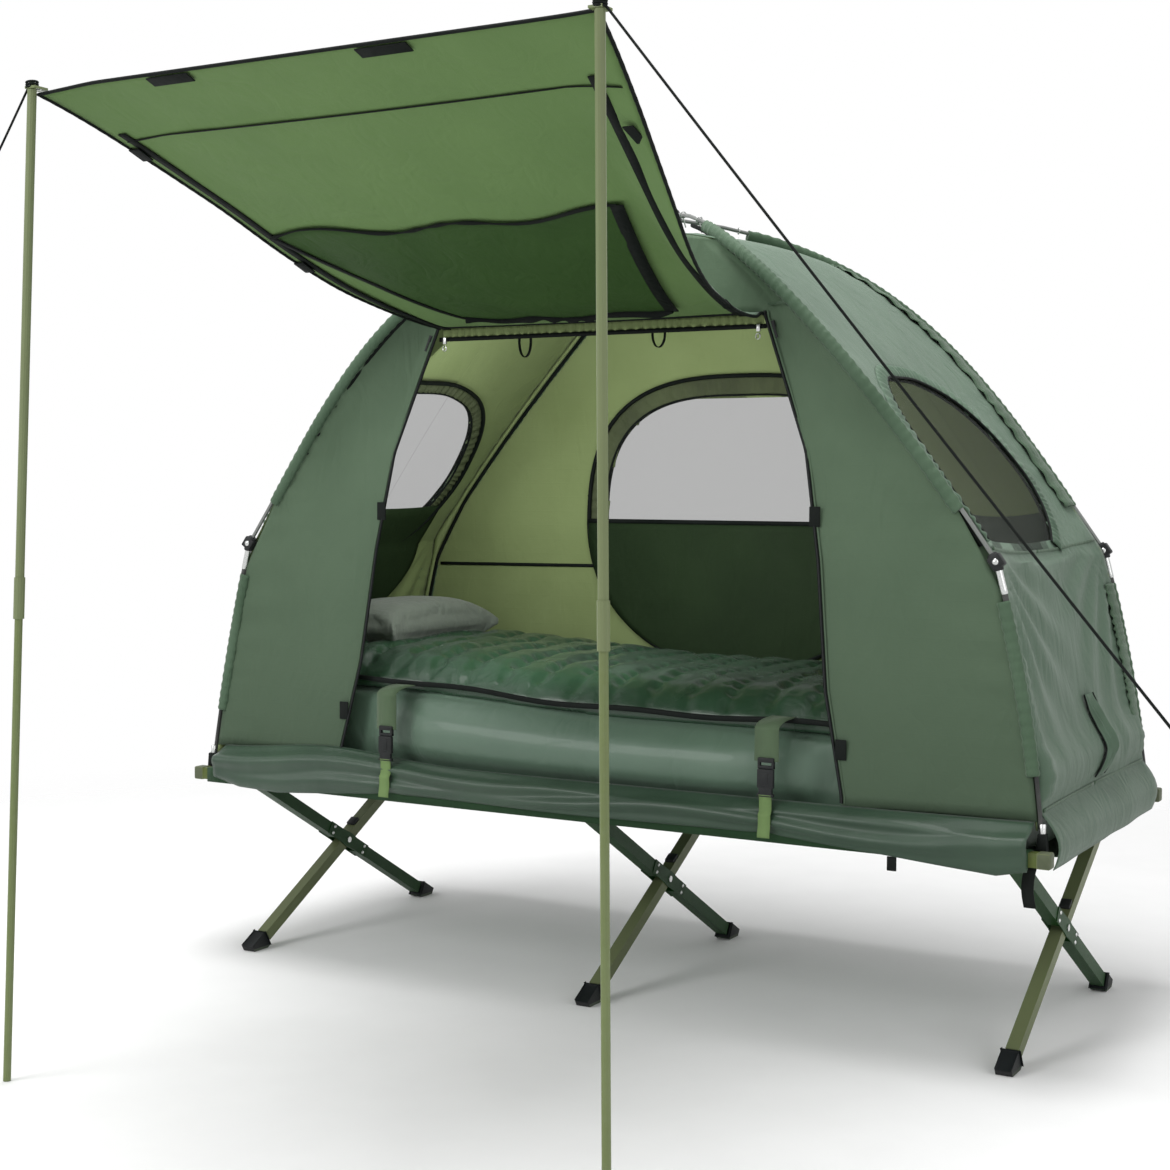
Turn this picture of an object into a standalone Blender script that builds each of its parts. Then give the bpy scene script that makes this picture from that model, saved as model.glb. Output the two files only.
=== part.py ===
"""Tent cot: a folding bed on crossed legs under a two-arch tent, with its door held out as an awning.

Lengths are in metres, Z is up, X runs along the bed and the door faces -Y.
Shapes are written in a cot frame, whose origin lies on the ground under the middle of the bed,
and the whole cot hangs on an empty that centres its box over the origin.
"""
import math

import bmesh
import bpy
from mathutils import Matrix, Vector

# Clearances and cloth
GAP = 0.0003
LAP = 0.0015
KNUCKLE_CLEARANCE = 0.0030
CUT_OVERRUN = 0.05
CLOTH = 0.0012
HEAVY_CLOTH = 0.002
NET = 0.0008

# Rails
RAIL_SIZE = 0.025
RAIL_Y = 0.410
RAIL_Z = 0.409
RAIL_HALF_LENGTH = 0.957
CAP_LENGTH = 0.012
CAP_PROUD = 0.001
CAP_BEVEL = 0.003

# Crossed legs
LEG_SIZE = 0.025
END_LEG_INSET = 0.084
LEG_X = RAIL_HALF_LENGTH - END_LEG_INSET
FOOT_Y = 0.345
CROSSING_Z = 0.199
LEG_TOP_Y = 0.318
SPLIT_START = 0.0485
SPLIT_SIZE = 0.0268
BOOT_SIZE = 0.031
BOOT_LENGTH = 0.052
HEAD_HALF = 0.012
HEAD_RISE = 0.006
HEAD_DROP = 0.010

# Brackets, pins and rivets
BRACKET_HALF = 0.083
BRACKET_WIDTH = 0.030
BRACKET_WALL = 0.0025
BRACKET_WAIST = 0.018
PIN_RADIUS = 0.004
PIN_HEAD_RADIUS = 0.007
PIN_HEAD = 0.002
RIVET_RADIUS = 0.0035
RIVET_HEAD = 0.0014
RIVET_INSET = 0.016
RIVET_SIDE = 0.008
ROUND_SIDES = 12
RIVET_SIDES = 8
KNUCKLE_SIDES = 20

# Tent frame
TIP_INSET = 0.012
TIP_X = RAIL_HALF_LENGTH - TIP_INSET
TIP_Y = 0.386
TIP_Z = 0.425
ELBOW_LEAN = 0.095
ELBOW_X = TIP_X - ELBOW_LEAN
ELBOW_Y = 0.372
ELBOW_Z = 0.925
LOWER_BOW_OUT = 0.022
LOWER_BOW_IN = 0.010
HUB_Z = 1.630
HUB_RADIUS = 0.028
UPPER_PULL_LEAN = 0.23
UPPER_PULL_X = ELBOW_X - UPPER_PULL_LEAN
UPPER_PULL_Y = 0.36
UPPER_PULL_Z = 1.25
CROWN_PULL_X = 0.36
CROWN_PULL_Y = 0.52
CROWN_PULL_Z = 1.60
POLE_RADIUS = 0.004
KNUCKLE_RADIUS = 0.015
KNUCKLE_HALF = 0.010
BOSS_RADIUS = 0.008
BOSS_HEIGHT = 0.002
FERRULE_RADIUS = 0.0055
FERRULE_LENGTH = 0.060
POLE_SIDES = 8
KNUCKLE_SHARE = 0.1
STEP_SHARE = 0.01
BORE_LEAN_SHARE = 0.1
KNUCKLE_REACH = 0.075
ROOF_CORNER_SHARE = 0.72
STRIP_FOOT_SHARE = 0.09
ROOF_STEPS = 5
CLOTH_INSET = 0.0063

# Pole pockets on the rails
POCKET_LENGTH = 0.024
POCKET_WIDTH = 0.016
POCKET_BOTTOM = 0.404
POCKET_TOP = 0.452
POCKET_BORE = 0.0046
POCKET_BORE_LENGTH = 0.060

# Walls, roof and bed cloth
SKIRT_TOP_Z = 0.4696
SKIRT_OUT_Y = 0.437
SKIRT_BOTTOM_Z = 0.385
BED_CLOTH_INSET = 0.027
SKIRT_HALF_LENGTH = RAIL_HALF_LENGTH - BED_CLOTH_INSET
SKIRT_WAVE = 0.0035
SKIRT_WAVES = 9
WALL_FOOT_Z = 0.4705
END_SAG = 0.030
END_FOOT_SAG = 0.004
ROOF_CROWN = 0.015
ROOF_PEAK_RISE = 0.046
ROOF_DROP = 0.006
SLING_SAG = 0.060
SLING_OVER_SHARE = 0.88
SLING_WRAP_Z = 0.392
SLING_HALF_LENGTH = RAIL_HALF_LENGTH - BED_CLOTH_INSET
FLAP_OVERHANG = 0.001
FLAP_BOTTOM_X = RAIL_HALF_LENGTH + FLAP_OVERHANG
FLAP_BOTTOM_Z = 0.385
FLAP_HALF_WIDTH = 0.370

# Door
DOOR_TOP_Z = 1.385
DOOR_TOP_HALF = 0.375
DOOR_FOOT_HALF = 0.575
DOOR_FOOT_Z = 0.484
DOOR_TOP_Y = 0.322
DOOR_FOOT_Y = 0.400
DOOR_BAND = 0.030
FLAT_LIMIT_SHARE = 0.88
FLAT_COLUMN_SHARE = 2 / 3
PEAK_Y = 0.296

# Windows
REAR_WINDOW_HALF_LENGTH = 0.364
REAR_WINDOW_HALF_HEIGHT = 0.325
REAR_WINDOW_Z = 0.985
END_WINDOW_HALF_WIDTH = 0.235
END_WINDOW_HALF_HEIGHT = 0.135
END_WINDOW_Z = 1.105
WINDOW_POWER = 3.0
WINDOW_SIDES = 24
NET_GAP = 0.0005

# Awning and its poles
AWNING_CLEARANCE = 0.0011
AWNING_HALF = 0.372
AWNING_OUTER_HALF = 0.538
AWNING_OUTER_Y = 1.270
AWNING_OUTER_Z = 1.7245
AWNING_SAG = 0.050
AWNING_EDGE_SAG_SHARE = 0.45
POLE_Y = 1.283
POLE_BESIDE = 0.015
POLE_TOP_X = AWNING_OUTER_HALF + POLE_BESIDE
POLE_TOP_DROP = 0.0025
POLE_TOP_Z = AWNING_OUTER_Z - POLE_TOP_DROP
RIGHT_FOOT_X = 0.575
LEFT_FOOT_X = 0.640
POLE_LOWER_RADIUS = 0.007
POLE_UPPER_RADIUS = 0.008
POLE_JOINT_RADIUS = 0.0096
POLE_JOINT_BORE = 0.0083
POLE_JOINT_FOOT_Z = 0.820
POLE_JOINT_TOP_Z = 0.892
POLE_SEAT_Z = 0.822
TIE_PLATE = 0.004
TIE_HALF = 0.009
TIE_KNOB_RADIUS = 0.005
TIE_KNOB = 0.014

# Guy ropes
ROPE_RADIUS = 0.002
RIGHT_ROPE_LENGTH = 1.290
LEFT_ROPE_LENGTH = 0.170
RIGHT_ROPE_DROP_SHARE = 1.213
LEFT_ROPE_DROP_SHARE = 1.386
ROPE_KNOT_RADIUS = 0.005
ROPE_KNOT_LENGTH = 0.014
ROPE_LOOP_RADIUS = 0.012
ROPE_SIDES = 8

# Zip sliders
ZIP_BESIDE = 0.012
ZIP_START_DROP = 0.022
ZIP_WIDTH = 0.007
ZIP_DEPTH = 0.004
ZIP_HEIGHT = 0.013
ZIP_STANDOFF = 0.0004
PULL_WIDTH = 0.004
PULL_HEIGHT = 0.022

# Mattress, sleeping bag and pillow
MATTRESS_INSET = 0.077
MATTRESS_HALF_LENGTH = RAIL_HALF_LENGTH - MATTRESS_INSET
MATTRESS_HALF_WIDTH = 0.362
MATTRESS_BULGE = 0.052
MATTRESS_TOP_Z = 0.600
MATTRESS_ROLL = 0.020
MATTRESS_CROWN = 0.006
BULGE_HALF_LENGTH = 0.540
BULGE_FADE = 0.090
STRAP_PINCH_SHARE = 0.30
STRAP_PINCH_WIDTH = 0.050
MATTRESS_CELLS = 20
BAG_CHANNELS = 19
BAG_HALF_WIDTH = 0.352
MATTRESS_ROWS = 10
BAG_THICKNESS = 0.066
BAG_EDGE = 0.030
BAG_CHANNEL = 0.008
PILLOW_X = -0.640
PILLOW_Y = 0.020
PILLOW_HALF_LENGTH = 0.170
PILLOW_HALF_WIDTH = 0.250
PILLOW_HEIGHT = 0.105
PILLOW_EDGE = 0.018
PILLOW_END_SHARE = 0.08
PILLOW_SIDE_SHARE = 0.06

# Mattress straps and buckles
STRAP_X = 0.435
STRAP_HALF = 0.0125
STRAP_CLOTH = 0.0016
TAB_TOP_Z = 0.618
TAB_Y = 0.428
BUCKLE_TOP_Z = 0.530
BUCKLE_BOTTOM_Z = 0.478
BUCKLE_Y = 0.431
BUCKLE_HALF = 0.0165
BUCKLE_DEPTH = 0.009
MALE_HEIGHT = 0.018
WEBBING_END_Z = 0.412
WEBBING_OFFSET = 0.0026

# Outlines, written as shares of the sizes above
DOOR_EDGE_SHARES = ((0.0, 0.0), (0.215, 0.21), (0.482, 0.34), (0.709, 0.51), (1.0, 1.0))
SKIRT_SHARES = ((0.0, 0.0), (0.28, 0.90), (0.70, 1.0), (1.0, 0.86))
SKIRT_ROWS = (0.0, 0.14, 0.28, 0.49, 0.70, 0.85, 1.0)
END_ROW_SHARES = (0.2, 0.45, 0.7, 1.0)
MATTRESS_SIDE_SHARES = ((0.0, 0.0), (0.32, 0.35), (0.46, 0.90), (0.66, 1.0), (0.86, 0.78), (1.0, 0.12))

# The box of the standing cot decides where its centre lies
FRONT_REACH = POLE_Y + POLE_JOINT_RADIUS
REAR_REACH = SKIRT_OUT_Y + SKIRT_WAVE * SKIRT_ROWS[4] + CLOTH / 2
ORIGIN_Y = (FRONT_REACH - REAR_REACH) / 2

LEG_SLOPE = math.atan2(CROSSING_Z, FOOT_Y)
LEG_REACH = math.hypot(CROSSING_Z, FOOT_Y)
LEG_PLACES = (("left", -LEG_X), ("middle", 0.0), ("right", LEG_X))
SIDES = (("left", -1), ("right", 1))

# Colour, roughness and metallic of each finish
FINISHES = {
    "olive_paint": ((0.16, 0.19, 0.07), 0.38, 0.6),
    "dark_green_paint": ((0.02, 0.09, 0.025), 0.35, 0.5),
    "black_plastic": ((0.012, 0.012, 0.013), 0.5, 0.0),
    "grey_olive_plastic": ((0.16, 0.18, 0.11), 0.5, 0.0),
    "bright_steel": ((0.6, 0.6, 0.6), 0.3, 1.0),
    "grey_pole": ((0.3, 0.32, 0.3), 0.4, 0.4),
    "dark_pole": ((0.02, 0.02, 0.022), 0.4, 0.1),
    "wall_cloth": ((0.09, 0.17, 0.095), 0.75, 0.0),
    "roof_cloth": ((0.22, 0.31, 0.22), 0.7, 0.0),
    "bed_cloth": ((0.04, 0.10, 0.055), 0.6, 0.0),
    "net": ((0.05, 0.05, 0.05), 0.9, 0.0),
    "awning_cloth": ((0.15, 0.25, 0.10), 0.7, 0.0),
    "pale_olive_paint": ((0.30, 0.36, 0.20), 0.45, 0.3),
    "black_cord": ((0.015, 0.015, 0.015), 0.8, 0.0),
    "satin": ((0.045, 0.11, 0.06), 0.4, 0.0),
    "quilt": ((0.02, 0.07, 0.04), 0.35, 0.0),
    "pillow_cloth": ((0.35, 0.36, 0.35), 0.8, 0.0),
    "olive_webbing": ((0.2, 0.26, 0.12), 0.8, 0.0),
}

pivots = {}


def clear_scene():
    """Remove whatever the scene holds."""
    for item in list(bpy.data.objects):
        bpy.data.objects.remove(item, do_unlink=True)


def finish(name):
    """Return the named material, made on first use."""
    material = bpy.data.materials.get(name)
    if material:
        return material
    colour, roughness, metallic = FINISHES[name]
    material = bpy.data.materials.new(name)
    material.use_nodes = True
    shader = material.node_tree.nodes["Principled BSDF"]
    shader.inputs["Base Color"].default_value = (*colour, 1.0)
    shader.inputs["Roughness"].default_value = roughness
    shader.inputs["Metallic"].default_value = metallic
    return material


def add_pivot(name, place, parent=None):
    """Add an empty on a joint's axis, given in the cot frame."""
    empty = bpy.data.objects.new(name, None)
    bpy.context.scene.collection.objects.link(empty)
    empty.parent = pivots["cot"][0] if parent is None and pivots else None
    empty.location = place
    pivots[name] = (empty, Vector(place) if pivots else Vector((0, 0, 0)))


def hang(item, pivot):
    """Link an object and hang it on its pivot."""
    bpy.context.scene.collection.objects.link(item)
    item.parent = pivots[pivot][0]
    return item


def add_mesh(name, bm, finish_name, pivot, smooth=False):
    """Turn a bmesh drawn in the cot frame into an object whose origin is its pivot."""
    bmesh.ops.recalc_face_normals(bm, faces=bm.faces)
    bm.transform(Matrix.Translation(-pivots[pivot][1]))
    mesh = bpy.data.meshes.new(name)
    bm.to_mesh(mesh)
    bm.free()
    mesh.materials.append(finish(finish_name))
    if smooth:
        mesh.shade_smooth()
        mesh.set_sharp_from_angle(angle=math.radians(35))
    return hang(bpy.data.objects.new(name, mesh), pivot)


def solid_box(bm, low, high):
    """Add a box between two corners."""
    made = bmesh.ops.create_cube(bm, size=1.0)["verts"]
    low = Vector(low)
    high = Vector(high)
    bmesh.ops.scale(bm, vec=high - low, verts=made)
    bmesh.ops.translate(bm, vec=(low + high) / 2, verts=made)
    return made


def solid_prism(bm, outline, axis, start, end):
    """Extrude an outline along X or Y from start to end; its points are the other two coordinates."""
    place = (lambda a, b, s: (s, a, b)) if axis == "X" else (lambda a, b, s: (a, s, b))
    face = bm.faces.new([bm.verts.new(place(a, b, start)) for a, b in outline])
    made = bmesh.ops.extrude_face_region(bm, geom=[face])["geom"]
    moved = [v for v in made if isinstance(v, bmesh.types.BMVert)]
    step = (end - start, 0, 0) if axis == "X" else (0, end - start, 0)
    bmesh.ops.translate(bm, vec=step, verts=moved)


def solid_rod(bm, start, end, radius, sides=ROUND_SIDES):
    """Add a round rod between two points."""
    start = Vector(start)
    run = Vector(end) - start
    turn = Vector((0, 0, 1)).rotation_difference(run).to_matrix().to_4x4()
    place = Matrix.Translation(start + run / 2) @ turn
    bmesh.ops.create_cone(bm, cap_ends=True, segments=sides, radius1=radius, radius2=radius,
                          depth=run.length, matrix=place)


def even(count):
    """Evenly spaced values from -1 to 1."""
    return [2 * step / count - 1 for step in range(count + 1)]


def add_sheet(name, surface, columns, rows, thickness, finish_name, pivot):
    """Make a cloth from a grid whose points (u, v), both -1 to 1, are carried onto a surface."""
    bm = bmesh.new()
    across, up = len(columns) - 1, len(rows) - 1
    bmesh.ops.create_grid(bm, x_segments=across, y_segments=up, size=1.0)
    for vert in bm.verts:
        column = round((vert.co.x + 1) / 2 * across)
        row = round((vert.co.y + 1) / 2 * up)
        vert.co = surface(columns[column], rows[row])
    bmesh.ops.remove_doubles(bm, verts=bm.verts, dist=GAP / 2)
    item = add_mesh(name, bm, finish_name, pivot)
    wall = item.modifiers.new("thickness", "SOLIDIFY")
    wall.thickness = thickness
    wall.offset = 0.0
    return item


def add_helper(name, bm, pivot):
    """Add a hidden shape that a Boolean cuts with or joins on."""
    helper = add_mesh(name, bm, "net", pivot)
    helper.hide_render = True
    helper.display_type = "WIRE"
    return helper


def combine(item, bm, operation, pivot):
    """Cut, join or keep with a hidden shape drawn in the cot frame."""
    step = item.modifiers.new(operation.lower(), "BOOLEAN")
    step.object = add_helper(f"{item.name}_{operation.lower()}_{len(item.modifiers)}", bm, pivot)
    step.operation = operation


def add_joined(name, shapes, finish_name, pivot, smooth=False):
    """Make one body of several overlapping shapes."""
    item = add_mesh(name, shapes[0], finish_name, pivot, smooth)
    for bm in shapes[1:]:
        combine(item, bm, "UNION", pivot)
    return item


def box_shape(low, high):
    """A bmesh that holds one box."""
    bm = bmesh.new()
    solid_box(bm, low, high)
    return bm


def superellipse(half_a, half_b, centre_a, centre_b):
    """Return the rounded outline of a window."""
    outline = []
    for step in range(WINDOW_SIDES):
        angle = 2 * math.pi * step / WINDOW_SIDES
        across, up = math.cos(angle), math.sin(angle)
        stretch = (abs(across) ** WINDOW_POWER + abs(up) ** WINDOW_POWER) ** (-1 / WINDOW_POWER)
        outline.append((centre_a + half_a * across * stretch, centre_b + half_b * up * stretch))
    return outline


def window_prism(outline, axis, start, end):
    """A prism through a window's outline."""
    bm = bmesh.new()
    solid_prism(bm, outline, axis, start, end)
    return bm


def lerp(a, b, share):
    """Blend two numbers or vectors."""
    return a + (b - a) * share


def along(table, share):
    """Read a table of (position, value) shares at a position between 0 and 1."""
    for (start, low), (end, high) in zip(table, table[1:]):
        if share <= end:
            return lerp(low, high, max(share - start, 0.0) / (end - start))
    return table[-1][1]


def lower_pole(share):
    """Return a point of the right rear lower pole, from its tip at 0 to the elbow at 1."""
    foot = Vector((TIP_X, TIP_Y, TIP_Z))
    top = Vector((ELBOW_X, ELBOW_Y, ELBOW_Z))
    bow = (foot + top) / 2 + Vector((LOWER_BOW_OUT, -LOWER_BOW_IN, 0))
    return lerp(lerp(foot, bow, share), lerp(bow, top, share), share)


def hub_end():
    """Return where the right rear upper pole meets the hub."""
    hub = Vector((0, 0, HUB_Z))
    pull = Vector((CROWN_PULL_X, CROWN_PULL_Y, CROWN_PULL_Z))
    return hub + (pull - hub).normalized() * (HUB_RADIUS + GAP)


def upper_pole(share):
    """Return a point of the right rear upper pole, from the elbow at 0 to the hub at 1."""
    stations = [Vector((ELBOW_X, ELBOW_Y, ELBOW_Z)),
                Vector((UPPER_PULL_X, UPPER_PULL_Y, UPPER_PULL_Z)),
                Vector((CROWN_PULL_X, CROWN_PULL_Y, CROWN_PULL_Z)),
                hub_end()]
    while len(stations) > 1:
        stations = [lerp(a, b, share) for a, b in zip(stations, stations[1:])]
    return stations[0]


def arch(share):
    """Return a point of the right rear pole: 0 to 1 is the lower pole, 1 to 2 the upper one."""
    return lower_pole(share) if share <= 1 else upper_pole(share - 1)


def share_at(curve, centre, distance, near, far):
    """Return the share, between a near and a far one, at which a curve leaves a ball round centre."""
    for _ in range(40):
        middle = (near + far) / 2
        if (curve(middle) - centre).length < distance:
            near = middle
        else:
            far = middle
    return far


def inward(share):
    """Return the direction from the pole into the tent, square to the pole and to Y."""
    run = arch(min(share + STEP_SHARE, 2)) - arch(max(share - STEP_SHARE, 0))
    return Vector((-run.z, 0, run.x)).normalized()


def near_elbow(share):
    """How much the cloth stands back for the knuckle: 1 at the elbow, 0 further along the pole."""
    return max(0.0, 1.0 - abs(share - 1) / KNUCKLE_SHARE)


def wall_edge(share):
    """Return where the rear wall meets the pole's sleeve; it stands back at the elbow."""
    return arch(share) + inward(share) * lerp(CLOTH_INSET, KNUCKLE_RADIUS + CLOTH_INSET / 2, near_elbow(share))


def wall_edge_at(height):
    """Return the wall's edge point at a height."""
    low, high = 0.0, 1 + ROOF_CORNER_SHARE
    for _ in range(40):
        middle = (low + high) / 2
        if wall_edge(middle).z < height:
            low = middle
        else:
            high = middle
    return wall_edge(high)


def mirrored(point, side_x, side_y):
    """Carry a point of the right rear corner to another corner."""
    return Vector((point.x * side_x, point.y * side_y, point.z))


def make_rails():
    """Rails with their end caps and the heads that carry the legs."""
    half = RAIL_SIZE / 2
    cap_half = half + CAP_PROUD
    for name, side, body in (("front", -1, "front_frame"), ("rear", 1, "rear_frame")):
        shapes = [box_shape((-RAIL_HALF_LENGTH, side * RAIL_Y - half, RAIL_Z - half),
                            (RAIL_HALF_LENGTH, side * RAIL_Y + half, RAIL_Z + half))]
        ends = bmesh.new()
        for end in (-1, 1):
            inner = end * (RAIL_HALF_LENGTH - CAP_LENGTH)
            outer = end * (RAIL_HALF_LENGTH + CAP_LENGTH)
            made = solid_box(ends, (min(inner, outer), side * RAIL_Y - cap_half, RAIL_Z - cap_half),
                             (max(inner, outer), side * RAIL_Y + cap_half, RAIL_Z + cap_half))
            rim = [e for e in ends.edges if all(v in made and abs(v.co.x - outer) < GAP for v in e.verts)]
            bmesh.ops.bevel(ends, geom=rim, offset=CAP_BEVEL, segments=2, profile=0.5, affect="EDGES")
        shapes.append(ends)
        heads = bmesh.new()
        for _, place in LEG_PLACES:
            solid_prism(heads, leg_head_outline(side), "X", place - HEAD_HALF, place + HEAD_HALF)
        shapes.append(heads)
        add_joined(name + "_rail", shapes, "olive_paint", body)


def leg_head_outline(side):
    """Outline in Y and Z of the block between a leg's top end and the inner face of its rail."""
    top = Vector((LEG_TOP_Y, leg_height(LEG_TOP_Y)))
    run = Vector((math.cos(LEG_SLOPE), math.sin(LEG_SLOPE)))
    square = Vector((-run.y, run.x)) * LEG_SIZE / 2
    top += run * GAP
    face = RAIL_Y - RAIL_SIZE / 2 + LAP
    points = (top + square, top - square, Vector((face, RAIL_Z - HEAD_DROP)), Vector((face, RAIL_Z + HEAD_RISE)))
    return [(side * point.x, point.y) for point in points]


def leg_height(distance):
    """Height of a leg's middle line at a distance beyond the crossing."""
    return CROSSING_Z + distance * math.tan(LEG_SLOPE)


def leg_bar(bm, place, start, end, side, size):
    """Add a square bar on a leg's line between two distances from the crossing, rising towards side."""
    made = solid_box(bm, (-size / 2, start, -size / 2), (size / 2, end, size / 2))
    turn = Matrix.Rotation(LEG_SLOPE, 4, "X")
    flip = Matrix.Diagonal((1, side, 1, 1))
    bmesh.ops.transform(bm, matrix=Matrix.Translation((place, 0, CROSSING_Z)) @ flip @ turn, verts=made)


def boot_outline(side):
    """Outline in Y and Z of a boot: a block along the leg, cut flat on the ground."""
    half = BOOT_SIZE / 2
    run = Vector((math.cos(LEG_SLOPE), math.sin(LEG_SLOPE)))
    square = Vector((-run.y, run.x))
    foot = Vector((-FOOT_Y, 0))
    top = foot + run * BOOT_LENGTH
    points = (foot - Vector((half / math.sin(LEG_SLOPE), 0)), foot + Vector((half / math.sin(LEG_SLOPE), 0)),
              top - square * half, top + square * half)
    return [(side * point.x, point.y) for point in points]


def make_legs():
    """Long legs, split legs with their brackets, crossing pins and boots."""
    leg_top = LEG_TOP_Y / math.cos(LEG_SLOPE)
    leg_foot = -(LEG_REACH - BOOT_LENGTH - GAP)
    for name, place in LEG_PLACES:
        bm = bmesh.new()
        leg_bar(bm, place, leg_foot, leg_top, 1, LEG_SIZE)
        leg = add_mesh("long_leg_" + name, bm, "olive_paint", "rear_frame")
        combine(leg, pin_hole(place), "DIFFERENCE", "rear_frame")
        lower, upper = bmesh.new(), bmesh.new()
        leg_bar(lower, place, leg_foot, -SPLIT_START, -1, SPLIT_SIZE)
        leg_bar(upper, place, SPLIT_START, leg_top, -1, SPLIT_SIZE)
        shapes = [bracket_plates(place), lower, upper, bracket_rivets(place)]
        split = add_joined("split_leg_" + name, shapes, "dark_green_paint", "front_frame")
        combine(split, pin_hole(place), "DIFFERENCE", "front_frame")
        for kind, side, body in (("long", 1, "rear_frame"), ("split", -1, "front_frame")):
            bm = bmesh.new()
            solid_prism(bm, boot_outline(side), "X", place - BOOT_SIZE / 2, place + BOOT_SIZE / 2)
            add_mesh(f"{kind}_leg_boot_{name}", bm, "black_plastic", body)
        bm = bmesh.new()
        make_pin(bm, place)
        add_mesh("crossing_pin_" + name, bm, "bright_steel", "root", smooth=True)


def pin_hole(place):
    """The crossing pin's hole."""
    bm = bmesh.new()
    reach = LEG_SIZE + BRACKET_WALL + CUT_OVERRUN
    solid_rod(bm, (place - reach, 0, CROSSING_Z), (place + reach, 0, CROSSING_Z), PIN_RADIUS + GAP)
    return bm


def make_pin(bm, place):
    """A crossing pin with a head on each side, turned about its axis."""
    shank = LEG_SIZE / 2 + GAP + BRACKET_WALL + GAP
    profile = ((-shank - PIN_HEAD, 0), (-shank - PIN_HEAD, PIN_HEAD_RADIUS), (-shank, PIN_HEAD_RADIUS),
               (-shank, PIN_RADIUS), (shank, PIN_RADIUS), (shank, PIN_HEAD_RADIUS),
               (shank + PIN_HEAD, PIN_HEAD_RADIUS), (shank + PIN_HEAD, 0))
    turned(bm, profile, "X", Vector((place, 0, CROSSING_Z)))


def turned(bm, profile, axis, place, sides=ROUND_SIDES):
    """Spin a profile of (along, radius) points about an axis through place."""
    lay = {"X": lambda s, r: (s, r, 0), "Y": lambda s, r: (r, s, 0), "Z": lambda s, r: (r, 0, s)}[axis]
    verts = [bm.verts.new(place + Vector(lay(s, r))) for s, r in profile]
    edges = [bm.edges.new(pair) for pair in zip(verts, verts[1:])]
    line = {"X": (1, 0, 0), "Y": (0, 1, 0), "Z": (0, 0, 1)}[axis]
    bmesh.ops.spin(bm, geom=verts + edges, cent=place, axis=line, angle=2 * math.pi, steps=sides,
                   use_merge=True)
    bmesh.ops.remove_doubles(bm, verts=bm.verts, dist=GAP / 10)


def split_leg_lines():
    """Direction along a split leg and square to it, in Y and Z, and the crossing."""
    run = Vector((-math.cos(LEG_SLOPE), math.sin(LEG_SLOPE)))
    return run, Vector((run.y, -run.x)), Vector((0, CROSSING_Z))


def bracket_plates(place):
    """The two plates that join a split leg's halves on both sides of the long leg."""
    bm = bmesh.new()
    run, square, centre = split_leg_lines()
    half = BRACKET_WIDTH / 2
    waist = SPLIT_START - BRACKET_WAIST
    corners = ((-BRACKET_HALF, -half), (-waist, -half), (0, -half - BRACKET_WALL), (waist, -half),
               (BRACKET_HALF, -half), (BRACKET_HALF, half), (waist, half), (0, half + BRACKET_WALL),
               (-waist, half), (-BRACKET_HALF, half))
    outline = [tuple(centre + run * a + square * b) for a, b in corners]
    for side in (-1, 1):
        inner = place + side * (LEG_SIZE / 2 + GAP)
        outer = inner + side * BRACKET_WALL
        solid_prism(bm, outline, "X", min(inner, outer), max(inner, outer))
    return bm


def bracket_rivets(place):
    """The rivets through a bracket's plates and the halves of the leg, with a head on each side."""
    bm = bmesh.new()
    run, square, centre = split_leg_lines()
    reach = LEG_SIZE / 2 + GAP + BRACKET_WALL + RIVET_HEAD
    for end in (-1, 1):
        for shift in (-1, 1):
            spot = centre + run * end * (BRACKET_HALF - RIVET_INSET) + square * shift * RIVET_SIDE
            solid_rod(bm, (place - reach, *spot), (place + reach, *spot), RIVET_RADIUS, RIVET_SIDES)
    return bm


def make_tent_frame():
    """Hub, poles, elbows and pockets of both arches."""
    bm = bmesh.new()
    steps = 8
    profile = [(-HUB_RADIUS * math.cos(math.pi * k / steps), HUB_RADIUS * math.sin(math.pi * k / steps))
               for k in range(steps + 1)]
    turned(bm, profile, "X", Vector((0, 0, HUB_Z)))
    add_mesh("top_hub", bm, "black_plastic", "canopy", smooth=True)
    for arch_name, side_y in (("front", -1), ("rear", 1)):
        make_arch(arch_name, side_y, arch_name + "_arch")


def make_arch(arch_name, side_y, body):
    """One arch: two lower and two upper poles with their elbows and pockets."""
    elbow = Vector((ELBOW_X, ELBOW_Y, ELBOW_Z))
    top = share_at(lower_pole, elbow, KNUCKLE_RADIUS + GAP, 1.0, 0.0)
    ferrule = share_at(lower_pole, elbow, KNUCKLE_RADIUS + FERRULE_LENGTH, 1.0, 0.0)
    start = share_at(upper_pole, elbow, KNUCKLE_RADIUS + GAP, 0.0, 1.0)
    for side_name, side_x in SIDES:
        name = arch_name + "_" + side_name
        stations = [(lower_pole(ferrule * k / 7), POLE_RADIUS) for k in range(8)]
        stations += [(lower_pole(ferrule), FERRULE_RADIUS), (lower_pole(top), FERRULE_RADIUS)]
        add_pole(name + "_lower_pole", stations, "dark_pole", body, side_x, side_y)
        stations = [(upper_pole(lerp(start, 1.0, k / 16)), POLE_RADIUS) for k in range(17)]
        add_pole(name + "_upper_pole", stations, "grey_pole", body, side_x, side_y)
        bm = bmesh.new()
        make_elbow(bm, mirrored(elbow, side_x, side_y))
        add_mesh(name + "_elbow", bm, "black_plastic", body, smooth=True)
        make_pocket(name + "_pocket", side_x, side_y, body)


def add_pole(name, stations, finish_name, body, side_x, side_y):
    """A round pole drawn at the right rear corner and carried to its own."""
    bm = bmesh.new()
    swept(bm, [(mirrored(point, side_x, side_y), radius) for point, radius in stations], POLE_SIDES)
    add_mesh(name, bm, finish_name, body, smooth=True)


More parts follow.
